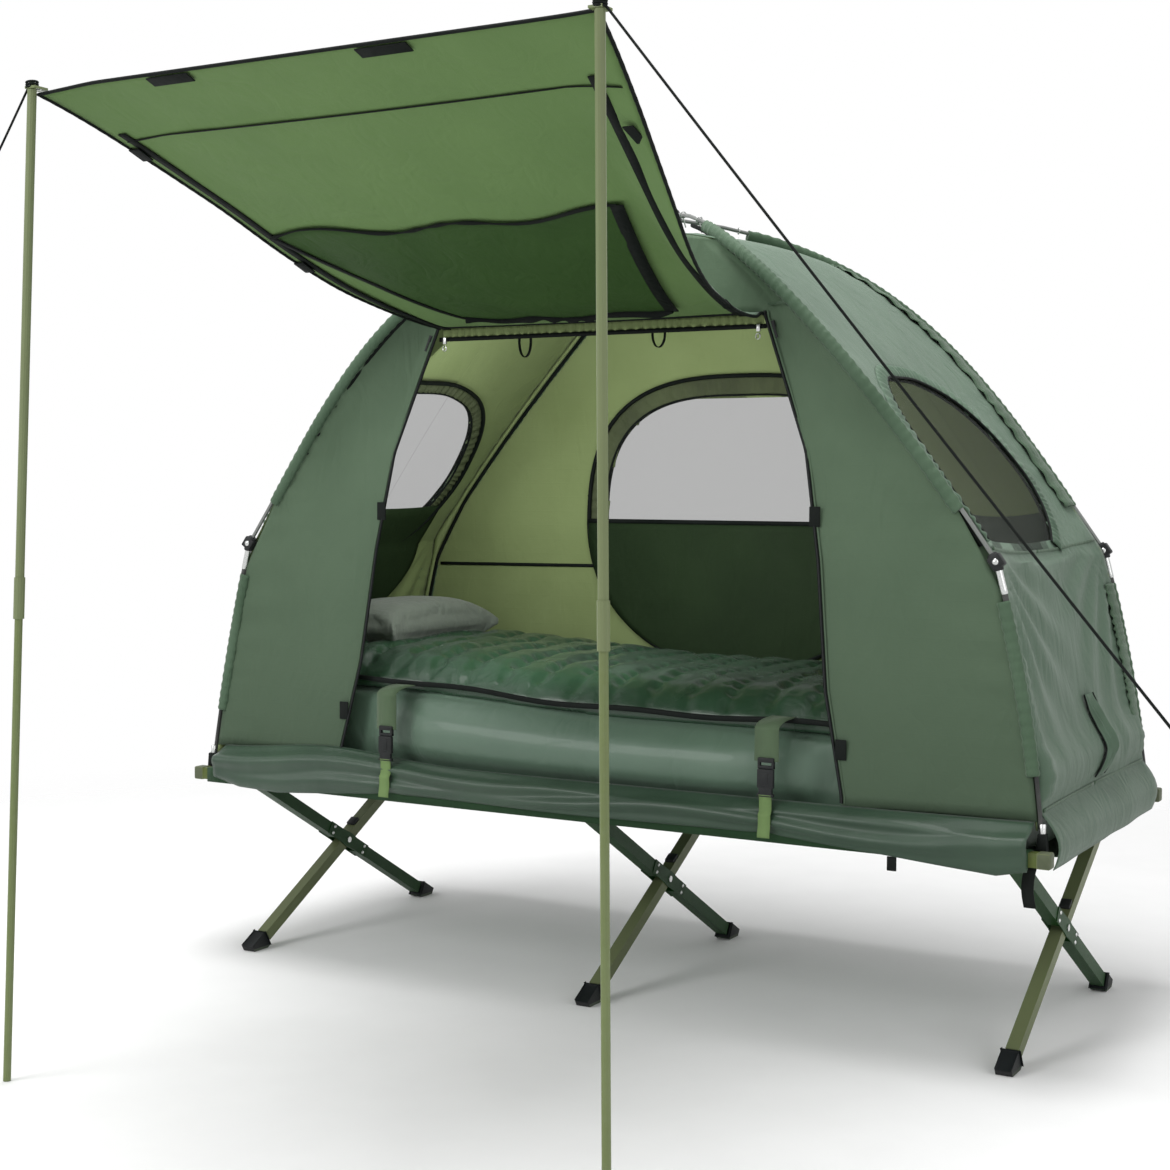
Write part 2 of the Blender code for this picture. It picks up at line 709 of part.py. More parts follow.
def make_elbow(bm, place):
    """A knuckle turned about Y with a riveted boss on each face."""
    profile = ((-KNUCKLE_HALF - BOSS_HEIGHT, 0), (-KNUCKLE_HALF - BOSS_HEIGHT, BOSS_RADIUS),
               (-KNUCKLE_HALF, BOSS_RADIUS), (-KNUCKLE_HALF, KNUCKLE_RADIUS), (KNUCKLE_HALF, KNUCKLE_RADIUS),
               (KNUCKLE_HALF, BOSS_RADIUS), (KNUCKLE_HALF + BOSS_HEIGHT, BOSS_RADIUS),
               (KNUCKLE_HALF + BOSS_HEIGHT, 0))
    turned(bm, profile, "Y", place, KNUCKLE_SIDES)


def swept(bm, stations, sides):
    """A round bar through stations, each a point and a radius; two at one point make a step."""
    points = [point for point, _ in stations]
    rings = []
    for index, (point, radius) in enumerate(stations):
        before = next((p for p in reversed(points[:index]) if (p - point).length > GAP), point)
        after = next((p for p in points[index + 1:] if (p - point).length > GAP), point)
        turn = Vector((0, 0, 1)).rotation_difference(after - before).to_matrix().to_4x4()
        made = bmesh.ops.create_circle(bm, segments=sides, radius=radius,
                                       matrix=Matrix.Translation(point) @ turn)["verts"]
        rings.append(made)
    for first, second in zip(rings, rings[1:]):
        for step in range(sides):
            after = (step + 1) % sides
            bm.faces.new((first[step], first[after], second[after], second[step]))
    bm.faces.new(rings[0])
    bm.faces.new(rings[-1])


def make_pocket(name, side_x, side_y, body):
    """A block of folded webbing against the rail's inner face, with a bore for the pole's tip."""
    face = RAIL_Y - RAIL_SIZE / 2 - CAP_PROUD - GAP
    low_x = TIP_X - POCKET_LENGTH / 2
    corner_a = (side_x * low_x, side_y * (face - POCKET_WIDTH), POCKET_BOTTOM)
    corner_b = (side_x * (low_x + POCKET_LENGTH), side_y * face, POCKET_TOP)
    low = [min(a, b) for a, b in zip(corner_a, corner_b)]
    high = [max(a, b) for a, b in zip(corner_a, corner_b)]
    item = add_mesh(name, box_shape(low, high), "black_cord", body)
    bm = bmesh.new()
    foot = lower_pole(0)
    run = (lower_pole(BORE_LEAN_SHARE) - foot).normalized()
    solid_rod(bm, mirrored(foot - run * GAP, side_x, side_y),
              mirrored(foot + run * POCKET_BORE_LENGTH, side_x, side_y), POCKET_BORE)
    combine(item, bm, "DIFFERENCE", body)


def door_half(height):
    """Half width of the door at a height."""
    share = min(max((height - DOOR_FOOT_Z) / (DOOR_TOP_Z - DOOR_FOOT_Z), 0.0), 1.0)
    return lerp(DOOR_FOOT_HALF, DOOR_TOP_HALF, along(DOOR_EDGE_SHARES, share))


def door_depth(height):
    """How far forward the front wall stands beside and above the door."""
    if height <= DOOR_TOP_Z:
        return lerp(DOOR_TOP_Y, DOOR_FOOT_Y, (DOOR_TOP_Z - height) / (DOOR_TOP_Z - DOOR_FOOT_Z))
    return lerp(DOOR_TOP_Y, PEAK_Y, min((height - DOOR_TOP_Z) / (roof_edge_height(0) - DOOR_TOP_Z), 1.0))


def roof_corner():
    """Where the roof's edge leaves the poles."""
    return arch(1 + ROOF_CORNER_SHARE)


def roof_edge_height(x):
    """Height of the roof's front and rear edges between the roof corners."""
    corner = roof_corner()
    share = min(abs(x) / corner.x, 1.0)
    return corner.z - ROOF_DROP + ROOF_PEAK_RISE * (1 - share * share)


def wall_rows():
    """Heights of a wall's grid rows: door, elbows and roof corners, and then the arched top."""
    corner = wall_edge(1 + ROOF_CORNER_SHARE).z
    door = [lerp(DOOR_FOOT_Z, DOOR_TOP_Z, share) for share, _ in DOOR_EDGE_SHARES[1:]]
    elbow = [ELBOW_Z - KNUCKLE_REACH, ELBOW_Z, ELBOW_Z + KNUCKLE_REACH]
    return sorted([WALL_FOOT_Z, corner, corner + ROOF_PEAK_RISE / 2, corner + ROOF_PEAK_RISE] + door + elbow)


def wall_point(u, height, side_y, depth):
    """Place a wall's grid point; its columns follow the door, and its top rows arch up to the roof."""
    corner = wall_edge(1 + ROOF_CORNER_SHARE)
    edge = wall_edge_at(min(height, corner.z))
    rise = max(height - corner.z, 0.0) / ROOF_PEAK_RISE
    flat = min(door_half(height) + DOOR_BAND, edge.x * FLAT_LIMIT_SHARE)
    reach = abs(u)
    if reach <= FLAT_COLUMN_SHARE:
        x = flat * reach / FLAT_COLUMN_SHARE
    else:
        x = lerp(flat, edge.x, (reach - FLAT_COLUMN_SHARE) / (1 - FLAT_COLUMN_SHARE))
    peak = roof_edge_height(x) - CLOTH - GAP
    z = min(height, corner.z) + rise * max(peak - corner.z, 0.0)
    return Vector((math.copysign(x, u), side_y * depth(x, z, edge), z))


def front_depth(x, height, edge):
    """Distance of the front wall from the middle of the bed."""
    flat = min(door_half(height) + DOOR_BAND, edge.x * FLAT_LIMIT_SHARE)
    return lerp(door_depth(height), edge.y, max(x - flat, 0.0) / (edge.x - flat))


def rear_depth(x, height, edge):
    """Distance of the rear wall from the middle of the bed."""
    return edge.y


def door_prism():
    """The door's opening: narrow at the top, wide at the foot and open below the wall."""
    height = DOOR_TOP_Z - DOOR_FOOT_Z
    right = [(door_half(DOOR_FOOT_Z + height * share), DOOR_FOOT_Z + height * share)
             for share, _ in DOOR_EDGE_SHARES]
    right[-1] = (DOOR_TOP_HALF, DOOR_TOP_Z + GAP * 2)
    right.insert(0, (DOOR_FOOT_HALF, WALL_FOOT_Z - CUT_OVERRUN))
    outline = right + [(-x, z) for x, z in reversed(right)]
    return window_prism(outline, "Y", -DOOR_FOOT_Y - CUT_OVERRUN, 0.0)


def make_walls():
    """Front wall round the door, rear wall with its window and its net."""
    rows = wall_rows()
    columns = even(12)
    front = add_sheet("front_wall", lambda u, z: wall_point(u, z, -1, front_depth), columns, rows, CLOTH,
                      "wall_cloth", "front_arch")
    combine(front, door_prism(), "DIFFERENCE", "front_arch")
    reach = DOOR_FOOT_Y + CUT_OVERRUN
    rear = add_sheet("rear_wall", lambda u, z: wall_point(u, z, 1, rear_depth), columns, rows, CLOTH,
                     "wall_cloth", "rear_arch")
    hole = superellipse(REAR_WINDOW_HALF_LENGTH, REAR_WINDOW_HALF_HEIGHT, 0, REAR_WINDOW_Z)
    combine(rear, window_prism(hole, "Y", 0.0, reach), "DIFFERENCE", "rear_arch")
    net = add_sheet("rear_window_net", lambda u, z: wall_point(u, z, 1, rear_depth), columns, rows, NET,
                    "net", "rear_arch")
    inner = superellipse(REAR_WINDOW_HALF_LENGTH - NET_GAP, REAR_WINDOW_HALF_HEIGHT - NET_GAP, 0, REAR_WINDOW_Z)
    combine(net, window_prism(inner, "Y", 0.0, reach), "INTERSECT", "rear_arch")


def strip_point(share, v, side_x):
    """A point of the cloth between the arches: share runs up the pole, v from front to rear."""
    inset = lerp(CLOTH_INSET, KNUCKLE_HALF + BOSS_HEIGHT + KNUCKLE_CLEARANCE, near_elbow(share))
    pole = arch(share)
    if share <= 1:
        sag = lerp(END_FOOT_SAG, END_SAG, share)
    else:
        sag = lerp(END_SAG, -ROOF_CROWN, ((share - 1) / ROOF_CORNER_SHARE) ** 2)
    drop = ROOF_DROP * (max(share - 1, 0.0) / ROOF_CORNER_SHARE) ** 4
    point = Vector((pole.x, v * (pole.y - inset), pole.z - drop)) + inward(share) * sag * (1 - v * v)
    return mirrored(point, side_x, 1)


def roof_columns():
    """Places across the roof: 0 at its middle, 1 at the poles, then down the poles and the end flap."""
    flat = [step / ROOF_STEPS for step in range(ROOF_STEPS + 1)]
    lean = [1 + ROOF_CORNER_SHARE * step / ROOF_STEPS for step in range(1, ROOF_STEPS)]
    knuckle = [1 + ROOF_CORNER_SHARE + KNUCKLE_SHARE * step for step in (-1, 0, 1)]
    foot = 2 + ROOF_CORNER_SHARE - STRIP_FOOT_SHARE
    lower = [lerp(knuckle[-1], foot, share) for share in END_ROW_SHARES]
    half = flat + lean + knuckle + lower + [foot + 1]
    return [-place for place in reversed(half[1:])] + half


def roof_point(place, v):
    """A point of the roof panel, from one end flap up over the tent and down to the other flap."""
    side_x = 1 if place >= 0 else -1
    reach = abs(place)
    share = 2 + ROOF_CORNER_SHARE - reach
    if share < STRIP_FOOT_SHARE - GAP:
        return Vector((side_x * FLAP_BOTTOM_X, v * FLAP_HALF_WIDTH, FLAP_BOTTOM_Z))
    if reach > 1:
        return strip_point(share, v, side_x)
    corner = roof_corner()
    depth = lerp(PEAK_Y + CLOTH / 2, corner.y - CLOTH_INSET, reach ** 4)
    return Vector((corner.x * reach * side_x, v * depth,
                   roof_edge_height(corner.x * reach) + ROOF_CROWN * (1 - v * v)))


def make_roof():
    """Roof panel with its end windows, and their nets."""
    columns = roof_columns()
    rows = even(8)
    roof = add_sheet("roof_panel", roof_point, columns, rows, CLOTH, "roof_cloth", "canopy")
    reach = TIP_X + CUT_OVERRUN
    hole = superellipse(END_WINDOW_HALF_WIDTH, END_WINDOW_HALF_HEIGHT, 0, END_WINDOW_Z)
    combine(roof, window_prism(hole, "X", -reach, reach), "DIFFERENCE", "canopy")
    inner = superellipse(END_WINDOW_HALF_WIDTH - NET_GAP, END_WINDOW_HALF_HEIGHT - NET_GAP, 0, END_WINDOW_Z)
    for side_name, side_x in SIDES:
        net = add_sheet(side_name + "_window_net", roof_point, columns, rows, NET, "net", "canopy")
        prism = window_prism(inner, "X", min(0.0, side_x * reach), max(0.0, side_x * reach))
        combine(net, prism, "INTERSECT", "canopy")


def skirt_point(u, v, side_y):
    """A point of a skirt: it leaves the wall's foot, rounds outward and hangs past the rail."""
    share = v
    reach = along(SKIRT_SHARES, share)
    x = u * SKIRT_HALF_LENGTH
    depth = front_depth if side_y < 0 else rear_depth
    top = depth(abs(x), WALL_FOOT_Z, wall_edge_at(WALL_FOOT_Z))
    wave = SKIRT_WAVE * math.cos(u * SKIRT_WAVES) * share
    return Vector((x, side_y * (lerp(top, SKIRT_OUT_Y, reach) + wave),
                   lerp(SKIRT_TOP_Z, SKIRT_BOTTOM_Z, share)))


def sling_height(y):
    """Height of the bed sling's middle surface."""
    top = RAIL_Z + RAIL_SIZE / 2 + GAP + HEAVY_CLOTH / 2
    inner = RAIL_Y - RAIL_SIZE / 2
    share = min(abs(y) / inner, 1.0)
    return top - SLING_SAG * (1 - share * share)


def sling_point(u, v):
    """A point of the sling: sagging between the rails, over them and down their outer faces."""
    inner = RAIL_Y - RAIL_SIZE / 2
    outer = RAIL_Y + RAIL_SIZE / 2 + GAP + HEAVY_CLOTH / 2
    side = 1 if v >= 0 else -1
    reach = abs(v)
    x = u * SLING_HALF_LENGTH
    if reach <= SLING_OVER_SHARE:
        y = inner * v / SLING_OVER_SHARE
        return Vector((x, y, sling_height(y)))
    down = (reach - SLING_OVER_SHARE) / (1 - SLING_OVER_SHARE)
    if down <= 0.5:
        return Vector((x, side * lerp(inner, outer, down * 2), sling_height(inner)))
    return Vector((x, side * outer, lerp(sling_height(inner), SLING_WRAP_Z, down * 2 - 1)))


def make_bed_cloth():
    """Sling and skirts."""
    over = [SLING_OVER_SHARE, (1 + SLING_OVER_SHARE) / 2, 1.0]
    rows = [-place for place in reversed(over)] + [SLING_OVER_SHARE * place for place in even(12)[1:-1]] + over
    sling = add_sheet("bed_sling", sling_point, even(4), rows, HEAVY_CLOTH, "bed_cloth", "canopy")
    sling.modifiers["thickness"].use_even_offset = True
    for name, side_y, body in (("front_skirt", -1, "front_arch"), ("rear_skirt", 1, "rear_arch")):
        add_sheet(name, lambda u, v, side_y=side_y: skirt_point(u, v, side_y), even(24), SKIRT_ROWS, CLOTH,
                  "bed_cloth", body)


def awning_point(u, v):
    """A point of the door panel, held out from the top of the door and sagging towards it."""
    share = (v + 1) / 2
    slope = Vector((AWNING_OUTER_Y - DOOR_TOP_Y, AWNING_OUTER_Z - DOOR_TOP_Z))
    start = slope.normalized() * AWNING_CLEARANCE
    y = lerp(DOOR_TOP_Y + start.x, AWNING_OUTER_Y, share)
    z = lerp(DOOR_TOP_Z + start.y, AWNING_OUTER_Z, share)
    half = lerp(AWNING_HALF, AWNING_OUTER_HALF, share)
    sag = AWNING_SAG * 27 / 4 * share * (1 - share) ** 2
    return Vector((u * half, -y, z - sag * lerp(1.0, AWNING_EDGE_SAG_SHARE, u * u)))


def make_awning():
    """Door panel, its poles, corner ties and guy ropes."""
    add_sheet("door_awning", awning_point, even(10), even(12), CLOTH, "awning_cloth", "awning")
    for side_name, side_x in SIDES:
        foot_x = RIGHT_FOOT_X if side_x > 0 else LEFT_FOOT_X
        lean = Matrix.Identity(4)
        lean[0][2] = side_x * (POLE_TOP_X - foot_x) / POLE_TOP_Z
        place = Matrix.Translation((side_x * foot_x, -POLE_Y, 0)) @ lean
        bm = bmesh.new()
        turned(bm, ((0, 0), (0, POLE_LOWER_RADIUS), (POLE_JOINT_FOOT_Z, POLE_LOWER_RADIUS),
                    (POLE_JOINT_FOOT_Z, POLE_JOINT_RADIUS), (POLE_JOINT_TOP_Z, POLE_JOINT_RADIUS),
                    (POLE_JOINT_TOP_Z, POLE_JOINT_BORE), (POLE_SEAT_Z, POLE_JOINT_BORE), (POLE_SEAT_Z, 0)),
               "Z", Vector((0, 0, 0)))
        bm.transform(place)
        add_mesh(side_name + "_pole_lower", bm, "pale_olive_paint", "root", smooth=True)
        bm = bmesh.new()
        turned(bm, ((POLE_SEAT_Z + GAP, 0), (POLE_SEAT_Z + GAP, POLE_UPPER_RADIUS),
                    (POLE_TOP_Z, POLE_UPPER_RADIUS), (POLE_TOP_Z, 0)), "Z", Vector((0, 0, 0)))
        bm.transform(place)
        add_joined(side_name + "_pole_upper", [bm, tie_plate(side_x), tie_spike(side_x)], "pale_olive_paint",
                   side_name + "_pole", smooth=True)
        make_rope(side_name, side_x)


def tie_plate(side_x):
    """The webbing tie between a pole's top and the awning's corner."""
    middle = AWNING_OUTER_Z
    inner = side_x * (AWNING_OUTER_HALF + GAP)
    outer = side_x * (POLE_TOP_X + POLE_UPPER_RADIUS)
    return box_shape((min(inner, outer), -POLE_Y - TIE_HALF, middle - TIE_PLATE / 2),
                     (max(inner, outer), -AWNING_OUTER_Y + TIE_HALF, middle + TIE_PLATE / 2))


def tie_spike(side_x):
    """The spike on a pole's top, which goes through the tie."""
    bm = bmesh.new()
    solid_rod(bm, (side_x * POLE_TOP_X, -POLE_Y, POLE_TOP_Z - LAP), (side_x * POLE_TOP_X, -POLE_Y, POLE_TOP_Z + TIE_KNOB),
              TIE_KNOB_RADIUS)
    return bm


def make_rope(side_name, side_x):
    """A guy rope that runs outward and down, and ends in a knot and a loop."""
    drop, length = ((RIGHT_ROPE_DROP_SHARE, RIGHT_ROPE_LENGTH) if side_x > 0
                    else (LEFT_ROPE_DROP_SHARE, LEFT_ROPE_LENGTH))
    run = Vector((side_x, 0, -drop)).normalized()
    outer = POLE_TOP_X + POLE_UPPER_RADIUS + GAP + ROPE_RADIUS * abs(run.z)
    start = Vector((side_x * outer, -POLE_Y, AWNING_OUTER_Z))
    knot = start + run * length
    knot_end = knot + run * ROPE_KNOT_LENGTH
    bm = bmesh.new()
    swept(bm, [(start, ROPE_RADIUS), (knot, ROPE_RADIUS), (knot, ROPE_KNOT_RADIUS),
               (knot_end, ROPE_KNOT_RADIUS)], ROPE_SIDES)
    loop = bmesh.new()
    ring(loop, knot_end + run * ROPE_LOOP_RADIUS, ROPE_LOOP_RADIUS, ROPE_RADIUS)
    add_joined(side_name + "_guy_rope", [bm, loop], "black_cord", side_name + "_pole", smooth=True)


def ring(bm, centre, radius, wire):
    """A ring about Y."""
    section = bmesh.ops.create_circle(bm, segments=6, radius=wire,
                                      matrix=Matrix.Translation(centre + Vector((radius, 0, 0))))["verts"]
    edges = list({edge for vert in section for edge in vert.link_edges})
    bmesh.ops.spin(bm, geom=section + edges, cent=centre, axis=(0, 1, 0), angle=2 * math.pi, steps=16,
                   use_merge=True)
    bmesh.ops.remove_doubles(bm, verts=bm.verts, dist=GAP / 10)


def zip_run():
    """Direction of the first stretch of the right door zip, and where its slider stands."""
    shoulder_share = DOOR_EDGE_SHARES[-2][0]
    shoulder = lerp(DOOR_FOOT_Z, DOOR_TOP_Z, shoulder_share)
    run = Vector((door_half(shoulder) - DOOR_TOP_HALF, -(door_depth(shoulder) - DOOR_TOP_Y),
                  shoulder - DOOR_TOP_Z)).normalized()
    start = Vector((DOOR_TOP_HALF + ZIP_BESIDE, -DOOR_TOP_Y - CLOTH / 2 - ZIP_STANDOFF - ZIP_DEPTH / 2,
                    DOOR_TOP_Z)) + run * ZIP_START_DROP
    return run, start


def make_zip_sliders():
    """The two door zip sliders with their pulls."""
    run, start = zip_run()
    turn = Vector((0, 0, -1)).rotation_difference(run).to_matrix().to_4x4()
    for side_name, side_x in SIDES:
        body = box_shape((-ZIP_WIDTH / 2, -ZIP_DEPTH / 2, -ZIP_HEIGHT / 2),
                         (ZIP_WIDTH / 2, ZIP_DEPTH / 2, ZIP_HEIGHT / 2))
        pull = box_shape((-PULL_WIDTH / 2, -ZIP_DEPTH / 2 - LAP, -ZIP_HEIGHT / 2 - PULL_HEIGHT),
                         (PULL_WIDTH / 2, -ZIP_DEPTH / 2 + LAP / 2, ZIP_HEIGHT / 4))
        for bm in (body, pull):
            bm.transform(Matrix.Translation(start) @ turn)
            bm.transform(Matrix.Diagonal((side_x, 1, 1, 1)))
        add_joined(side_name + "_zip_slider", [body, pull], "black_plastic", side_name + "_zip")


def grid_box(bm, cells):
    """A box from -1 to 1 with a regular grid of faces."""
    bmesh.ops.create_cube(bm, size=2.0)
    for axis, count in enumerate(cells):
        square = [0, 0, 0]
        square[axis] = 1
        for step in range(1, count):
            spot = [0, 0, 0]
            spot[axis] = 2 * step / count - 1
            bmesh.ops.bisect_plane(bm, geom=bm.verts[:] + bm.edges[:] + bm.faces[:], plane_co=spot,
                                   plane_no=square)


def mattress_cell():
    """Length of one cell of the mattress's top, and of one channel of the sleeping bag."""
    return (2 * MATTRESS_HALF_LENGTH - MATTRESS_ROLL) / MATTRESS_CELLS


def mattress_top(x, y):
    """Height of the mattress's upper face."""
    across = min(abs(y) / MATTRESS_HALF_WIDTH, 1.0)
    length = min(abs(x) / MATTRESS_HALF_LENGTH, 1.0)
    return MATTRESS_TOP_Z + MATTRESS_CROWN * (1 - across ** 2) - MATTRESS_ROLL * (across ** 8 + length ** 16)


def mattress_point(a, b, c):
    """Carry a point of the unit box onto the mattress."""
    share = (c + 1) / 2
    x = a * (MATTRESS_HALF_LENGTH - MATTRESS_ROLL * (1 - math.sin(math.pi * share)) / 2)
    fade = min(max((BULGE_HALF_LENGTH - abs(x)) / BULGE_FADE, 0.0), 1.0)
    pinch = 1 - STRAP_PINCH_SHARE * math.exp(-((abs(x) - STRAP_X) / STRAP_PINCH_WIDTH) ** 2)
    bulge = MATTRESS_BULGE * along(MATTRESS_SIDE_SHARES, share) * fade * pinch if b < 0 else 0.0
    y = b * MATTRESS_HALF_WIDTH - bulge * max(-b, 0.0) ** 6
    bottom = sling_height(b * MATTRESS_HALF_WIDTH) + HEAVY_CLOTH / 2 + GAP * 2
    return Vector((x, y, lerp(bottom, mattress_top(x, b * MATTRESS_HALF_WIDTH), share)))


def bag_top(x, y):
    """Height of the sleeping bag's upper face, with its sewn channels."""
    across = min(abs(y) / BAG_HALF_WIDTH, 1.0)
    channel = BAG_CHANNEL * (1 - math.cos(2 * math.pi * x / mattress_cell())) / 2
    rise = lerp(BAG_THICKNESS, BAG_EDGE, across ** 6)
    return mattress_top(x, y) + rise - channel * (1 - across ** 4)


def bag_point(a, b, c):
    """Carry a point of the unit box onto the sleeping bag."""
    x = a * mattress_cell() * BAG_CHANNELS / 2
    y = max(min(b * MATTRESS_HALF_WIDTH, BAG_HALF_WIDTH), -BAG_HALF_WIDTH)
    bottom = mattress_top(x, y) + GAP * 4
    return Vector((x, y, lerp(bottom, bag_top(x, y), (c + 1) / 2)))


def pillow_point(a, b, c):
    """Carry a point of the unit box onto the pillow, full in the middle and drawn in at its corners."""
    x = PILLOW_X + a * PILLOW_HALF_LENGTH * (1 - PILLOW_END_SHARE * (1 - b * b))
    y = PILLOW_Y + b * PILLOW_HALF_WIDTH * (1 - PILLOW_SIDE_SHARE * (1 - a * a))
    full = (1 - a ** 4) * (1 - b ** 4)
    thick = lerp(PILLOW_EDGE, PILLOW_HEIGHT, full)
    base = mattress_top(x, y) + BAG_THICKNESS + GAP * 3
    lift = (1 - full) * PILLOW_EDGE
    return Vector((x, y, base + lift + thick * (c + 1) / 2))


def make_bedding():
    """Mattress, sleeping bag and pillow, each a cushion drawn from a gridded box."""
    for name, cells, shape, finish_name in (
            ("mattress", (MATTRESS_CELLS, MATTRESS_ROWS, len(MATTRESS_SIDE_SHARES) - 1), mattress_point, "satin"),
            ("sleeping_bag", (2 * BAG_CHANNELS, MATTRESS_ROWS, 1), bag_point, "quilt"),
            ("pillow", (8, 10, 2), pillow_point, "pillow_cloth")):
        bm = bmesh.new()
        grid_box(bm, cells)
        if name == "mattress":
            heights = [2 * share - 1 for share, _ in MATTRESS_SIDE_SHARES]
            for vert in bm.verts:
                vert.co.z = heights[round((vert.co.z + 1) / 2 * (len(heights) - 1))]
        for vert in bm.verts:
            vert.co = shape(*vert.co)
        add_mesh(name, bm, finish_name, "canopy", smooth=True)


def band(bm, points, x, half, thickness):
    """A strap across Y and Z through a list of points, with its width along X."""
    rows = []
    for index, point in enumerate(points):
        run = (points[min(index + 1, len(points) - 1)] - points[max(index - 1, 0)]).normalized()
        square = Vector((-run.y, run.x)) * thickness / 2
        rows.append((point + square, point - square))
    outline = [tuple(row[0]) for row in rows] + [tuple(row[1]) for row in reversed(rows)]
    solid_prism(bm, outline, "X", x - half, x + half)


def webbing_path():
    """Middle line in Y and Z of the webbing below a buckle, outside the skirt."""
    path = [Vector((-BUCKLE_Y, BUCKLE_BOTTOM_Z + LAP))]
    for share, _ in SKIRT_SHARES[1:3]:
        skirt = skirt_point(STRAP_X / SKIRT_HALF_LENGTH, share, -1)
        path.append(Vector((skirt.y - WEBBING_OFFSET, skirt.z)))
    return path


def make_straps():
    """Mattress straps: a tab and the buckle's male half above, the female half and webbing below."""
    for side_name, side_x in SIDES:
        x = side_x * STRAP_X
        male_top = BUCKLE_TOP_Z + GAP + MALE_HEIGHT
        tab = box_shape((x - STRAP_HALF, -TAB_Y - STRAP_CLOTH, male_top - LAP),
                        (x + STRAP_HALF, -TAB_Y, TAB_TOP_Z))
        male = box_shape((x - BUCKLE_HALF, -TAB_Y - BUCKLE_DEPTH / 2, BUCKLE_TOP_Z + GAP),
                         (x + BUCKLE_HALF, -TAB_Y + BUCKLE_DEPTH / 2, male_top))
        add_joined(side_name + "_mattress_strap", [tab, male], "olive_webbing", "front_arch")
        female = box_shape((x - BUCKLE_HALF, -BUCKLE_Y - BUCKLE_DEPTH / 2, BUCKLE_BOTTOM_Z),
                           (x + BUCKLE_HALF, -BUCKLE_Y + BUCKLE_DEPTH / 2, BUCKLE_TOP_Z))
        webbing = bmesh.new()
        band(webbing, webbing_path(), x, STRAP_HALF, STRAP_CLOTH)
        add_joined(side_name + "_buckle", [female, webbing], "black_plastic", side_name + "_buckle_release")


def add_pivots():
    """Empties on the joints' axes, which carry the pieces that move together."""
    add_pivot("cot", (0, ORIGIN_Y, 0))
    start = zip_run()[1]
    places = {
        "root": (0, 0, 0),
        "front_frame": (0, 0, CROSSING_Z),
        "rear_frame": (0, 0, CROSSING_Z),
        "canopy": (0, 0, HUB_Z),
        "front_arch": (0, 0, HUB_Z),
        "rear_arch": (0, 0, HUB_Z),
        "awning": (0, -DOOR_TOP_Y, DOOR_TOP_Z),
        "left_pole": (-POLE_TOP_X, -POLE_Y, POLE_TOP_Z),
        "right_pole": (POLE_TOP_X, -POLE_Y, POLE_TOP_Z),
        "left_zip": (-start.x, start.y, start.z),
        "right_zip": tuple(start),
        "left_buckle_release": (-STRAP_X, -BUCKLE_Y, BUCKLE_TOP_Z),
        "right_buckle_release": (STRAP_X, -BUCKLE_Y, BUCKLE_TOP_Z),
    }
    for name, place in places.items():
        add_pivot(name, place)


def main():
    """Build the tent cot."""
    clear_scene()
    add_pivots()
    make_rails()
    make_legs()
    make_tent_frame()
    make_walls()
    make_roof()
    make_bed_cloth()
    make_awning()
    make_zip_sliders()
    make_bedding()
    make_straps()


if __name__ == "__main__":
    main()
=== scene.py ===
"""Tent cot dressed for its picture: cloth, straps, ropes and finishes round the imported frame.

Lengths are in metres. Shapes are drawn in the cot's own frame, whose origin lies on the ground under the
middle of the bed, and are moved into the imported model's frame when they become a piece.
"""
import logging
import math
from dataclasses import dataclass, field
from enum import Enum
from typing import Any, Callable, Optional, Sequence, TypeVar, Union

import bmesh
import bpy
from mathutils import Matrix, Vector, noise


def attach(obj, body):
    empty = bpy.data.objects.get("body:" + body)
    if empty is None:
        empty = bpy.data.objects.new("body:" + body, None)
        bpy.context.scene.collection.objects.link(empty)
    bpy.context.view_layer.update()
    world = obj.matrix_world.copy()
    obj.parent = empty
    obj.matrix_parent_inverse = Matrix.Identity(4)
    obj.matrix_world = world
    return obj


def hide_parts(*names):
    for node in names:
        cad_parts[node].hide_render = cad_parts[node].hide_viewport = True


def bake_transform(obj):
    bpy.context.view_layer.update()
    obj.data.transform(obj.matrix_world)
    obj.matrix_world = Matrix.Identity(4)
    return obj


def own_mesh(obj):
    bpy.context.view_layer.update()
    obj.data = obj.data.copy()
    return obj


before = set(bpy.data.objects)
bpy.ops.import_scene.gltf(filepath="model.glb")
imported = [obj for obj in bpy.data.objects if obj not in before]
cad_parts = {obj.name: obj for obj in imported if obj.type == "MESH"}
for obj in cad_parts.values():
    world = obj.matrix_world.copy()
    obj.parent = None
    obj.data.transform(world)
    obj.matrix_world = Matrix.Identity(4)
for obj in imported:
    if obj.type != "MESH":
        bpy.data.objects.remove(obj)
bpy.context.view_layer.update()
LOG = logging.getLogger("tent_cot")
ORIGIN = Vector((0.0, 0.426275, 0.0))
INSIDE = Vector((0.0, 0.0, 0.85))
UNDER = Vector((0, -0.8, 3.0))
ALONG_X = Vector((1, 0, 0))
ALONG_Y = Vector((0, 1, 0))
UPRIGHT = Vector((0, 0, 1))
SIDES = (("left", -1), ("right", 1))
HALVES = (("front", -1), ("rear", 1))
FLOOR_FADE_START = 1.9
FLOOR_FADE_END = 3.6
# Painted shade: cloth whose finish has a low below 1 is painted darker towards its foot between these
# heights, for the weaker light low down.
FOOT_SHADE_START = 1.15
FOOT_SHADE_END = 0.40
# A window's outline is squarer above its middle than below.
UPPER_POWER = 3.0
LOWER_POWER = 2.1
# Share of an end window's rim that lies in its rear half.
REAR_RIM = 6 / 11
# Places that keep the join of two halves of cloth flat.
JOIN_ROWS = [0, 0.004]
Surface = Callable[[float, float], Vector]
Line = Callable[[float], Vector]
Input = Union[float, tuple, bpy.types.NodeSocket]
Amount = TypeVar("Amount", float, Vector)


def lerp(a: Amount, b: Amount, share: float) -> Amount:
    """Blend two numbers or vectors."""
    return a + (b - a) * share


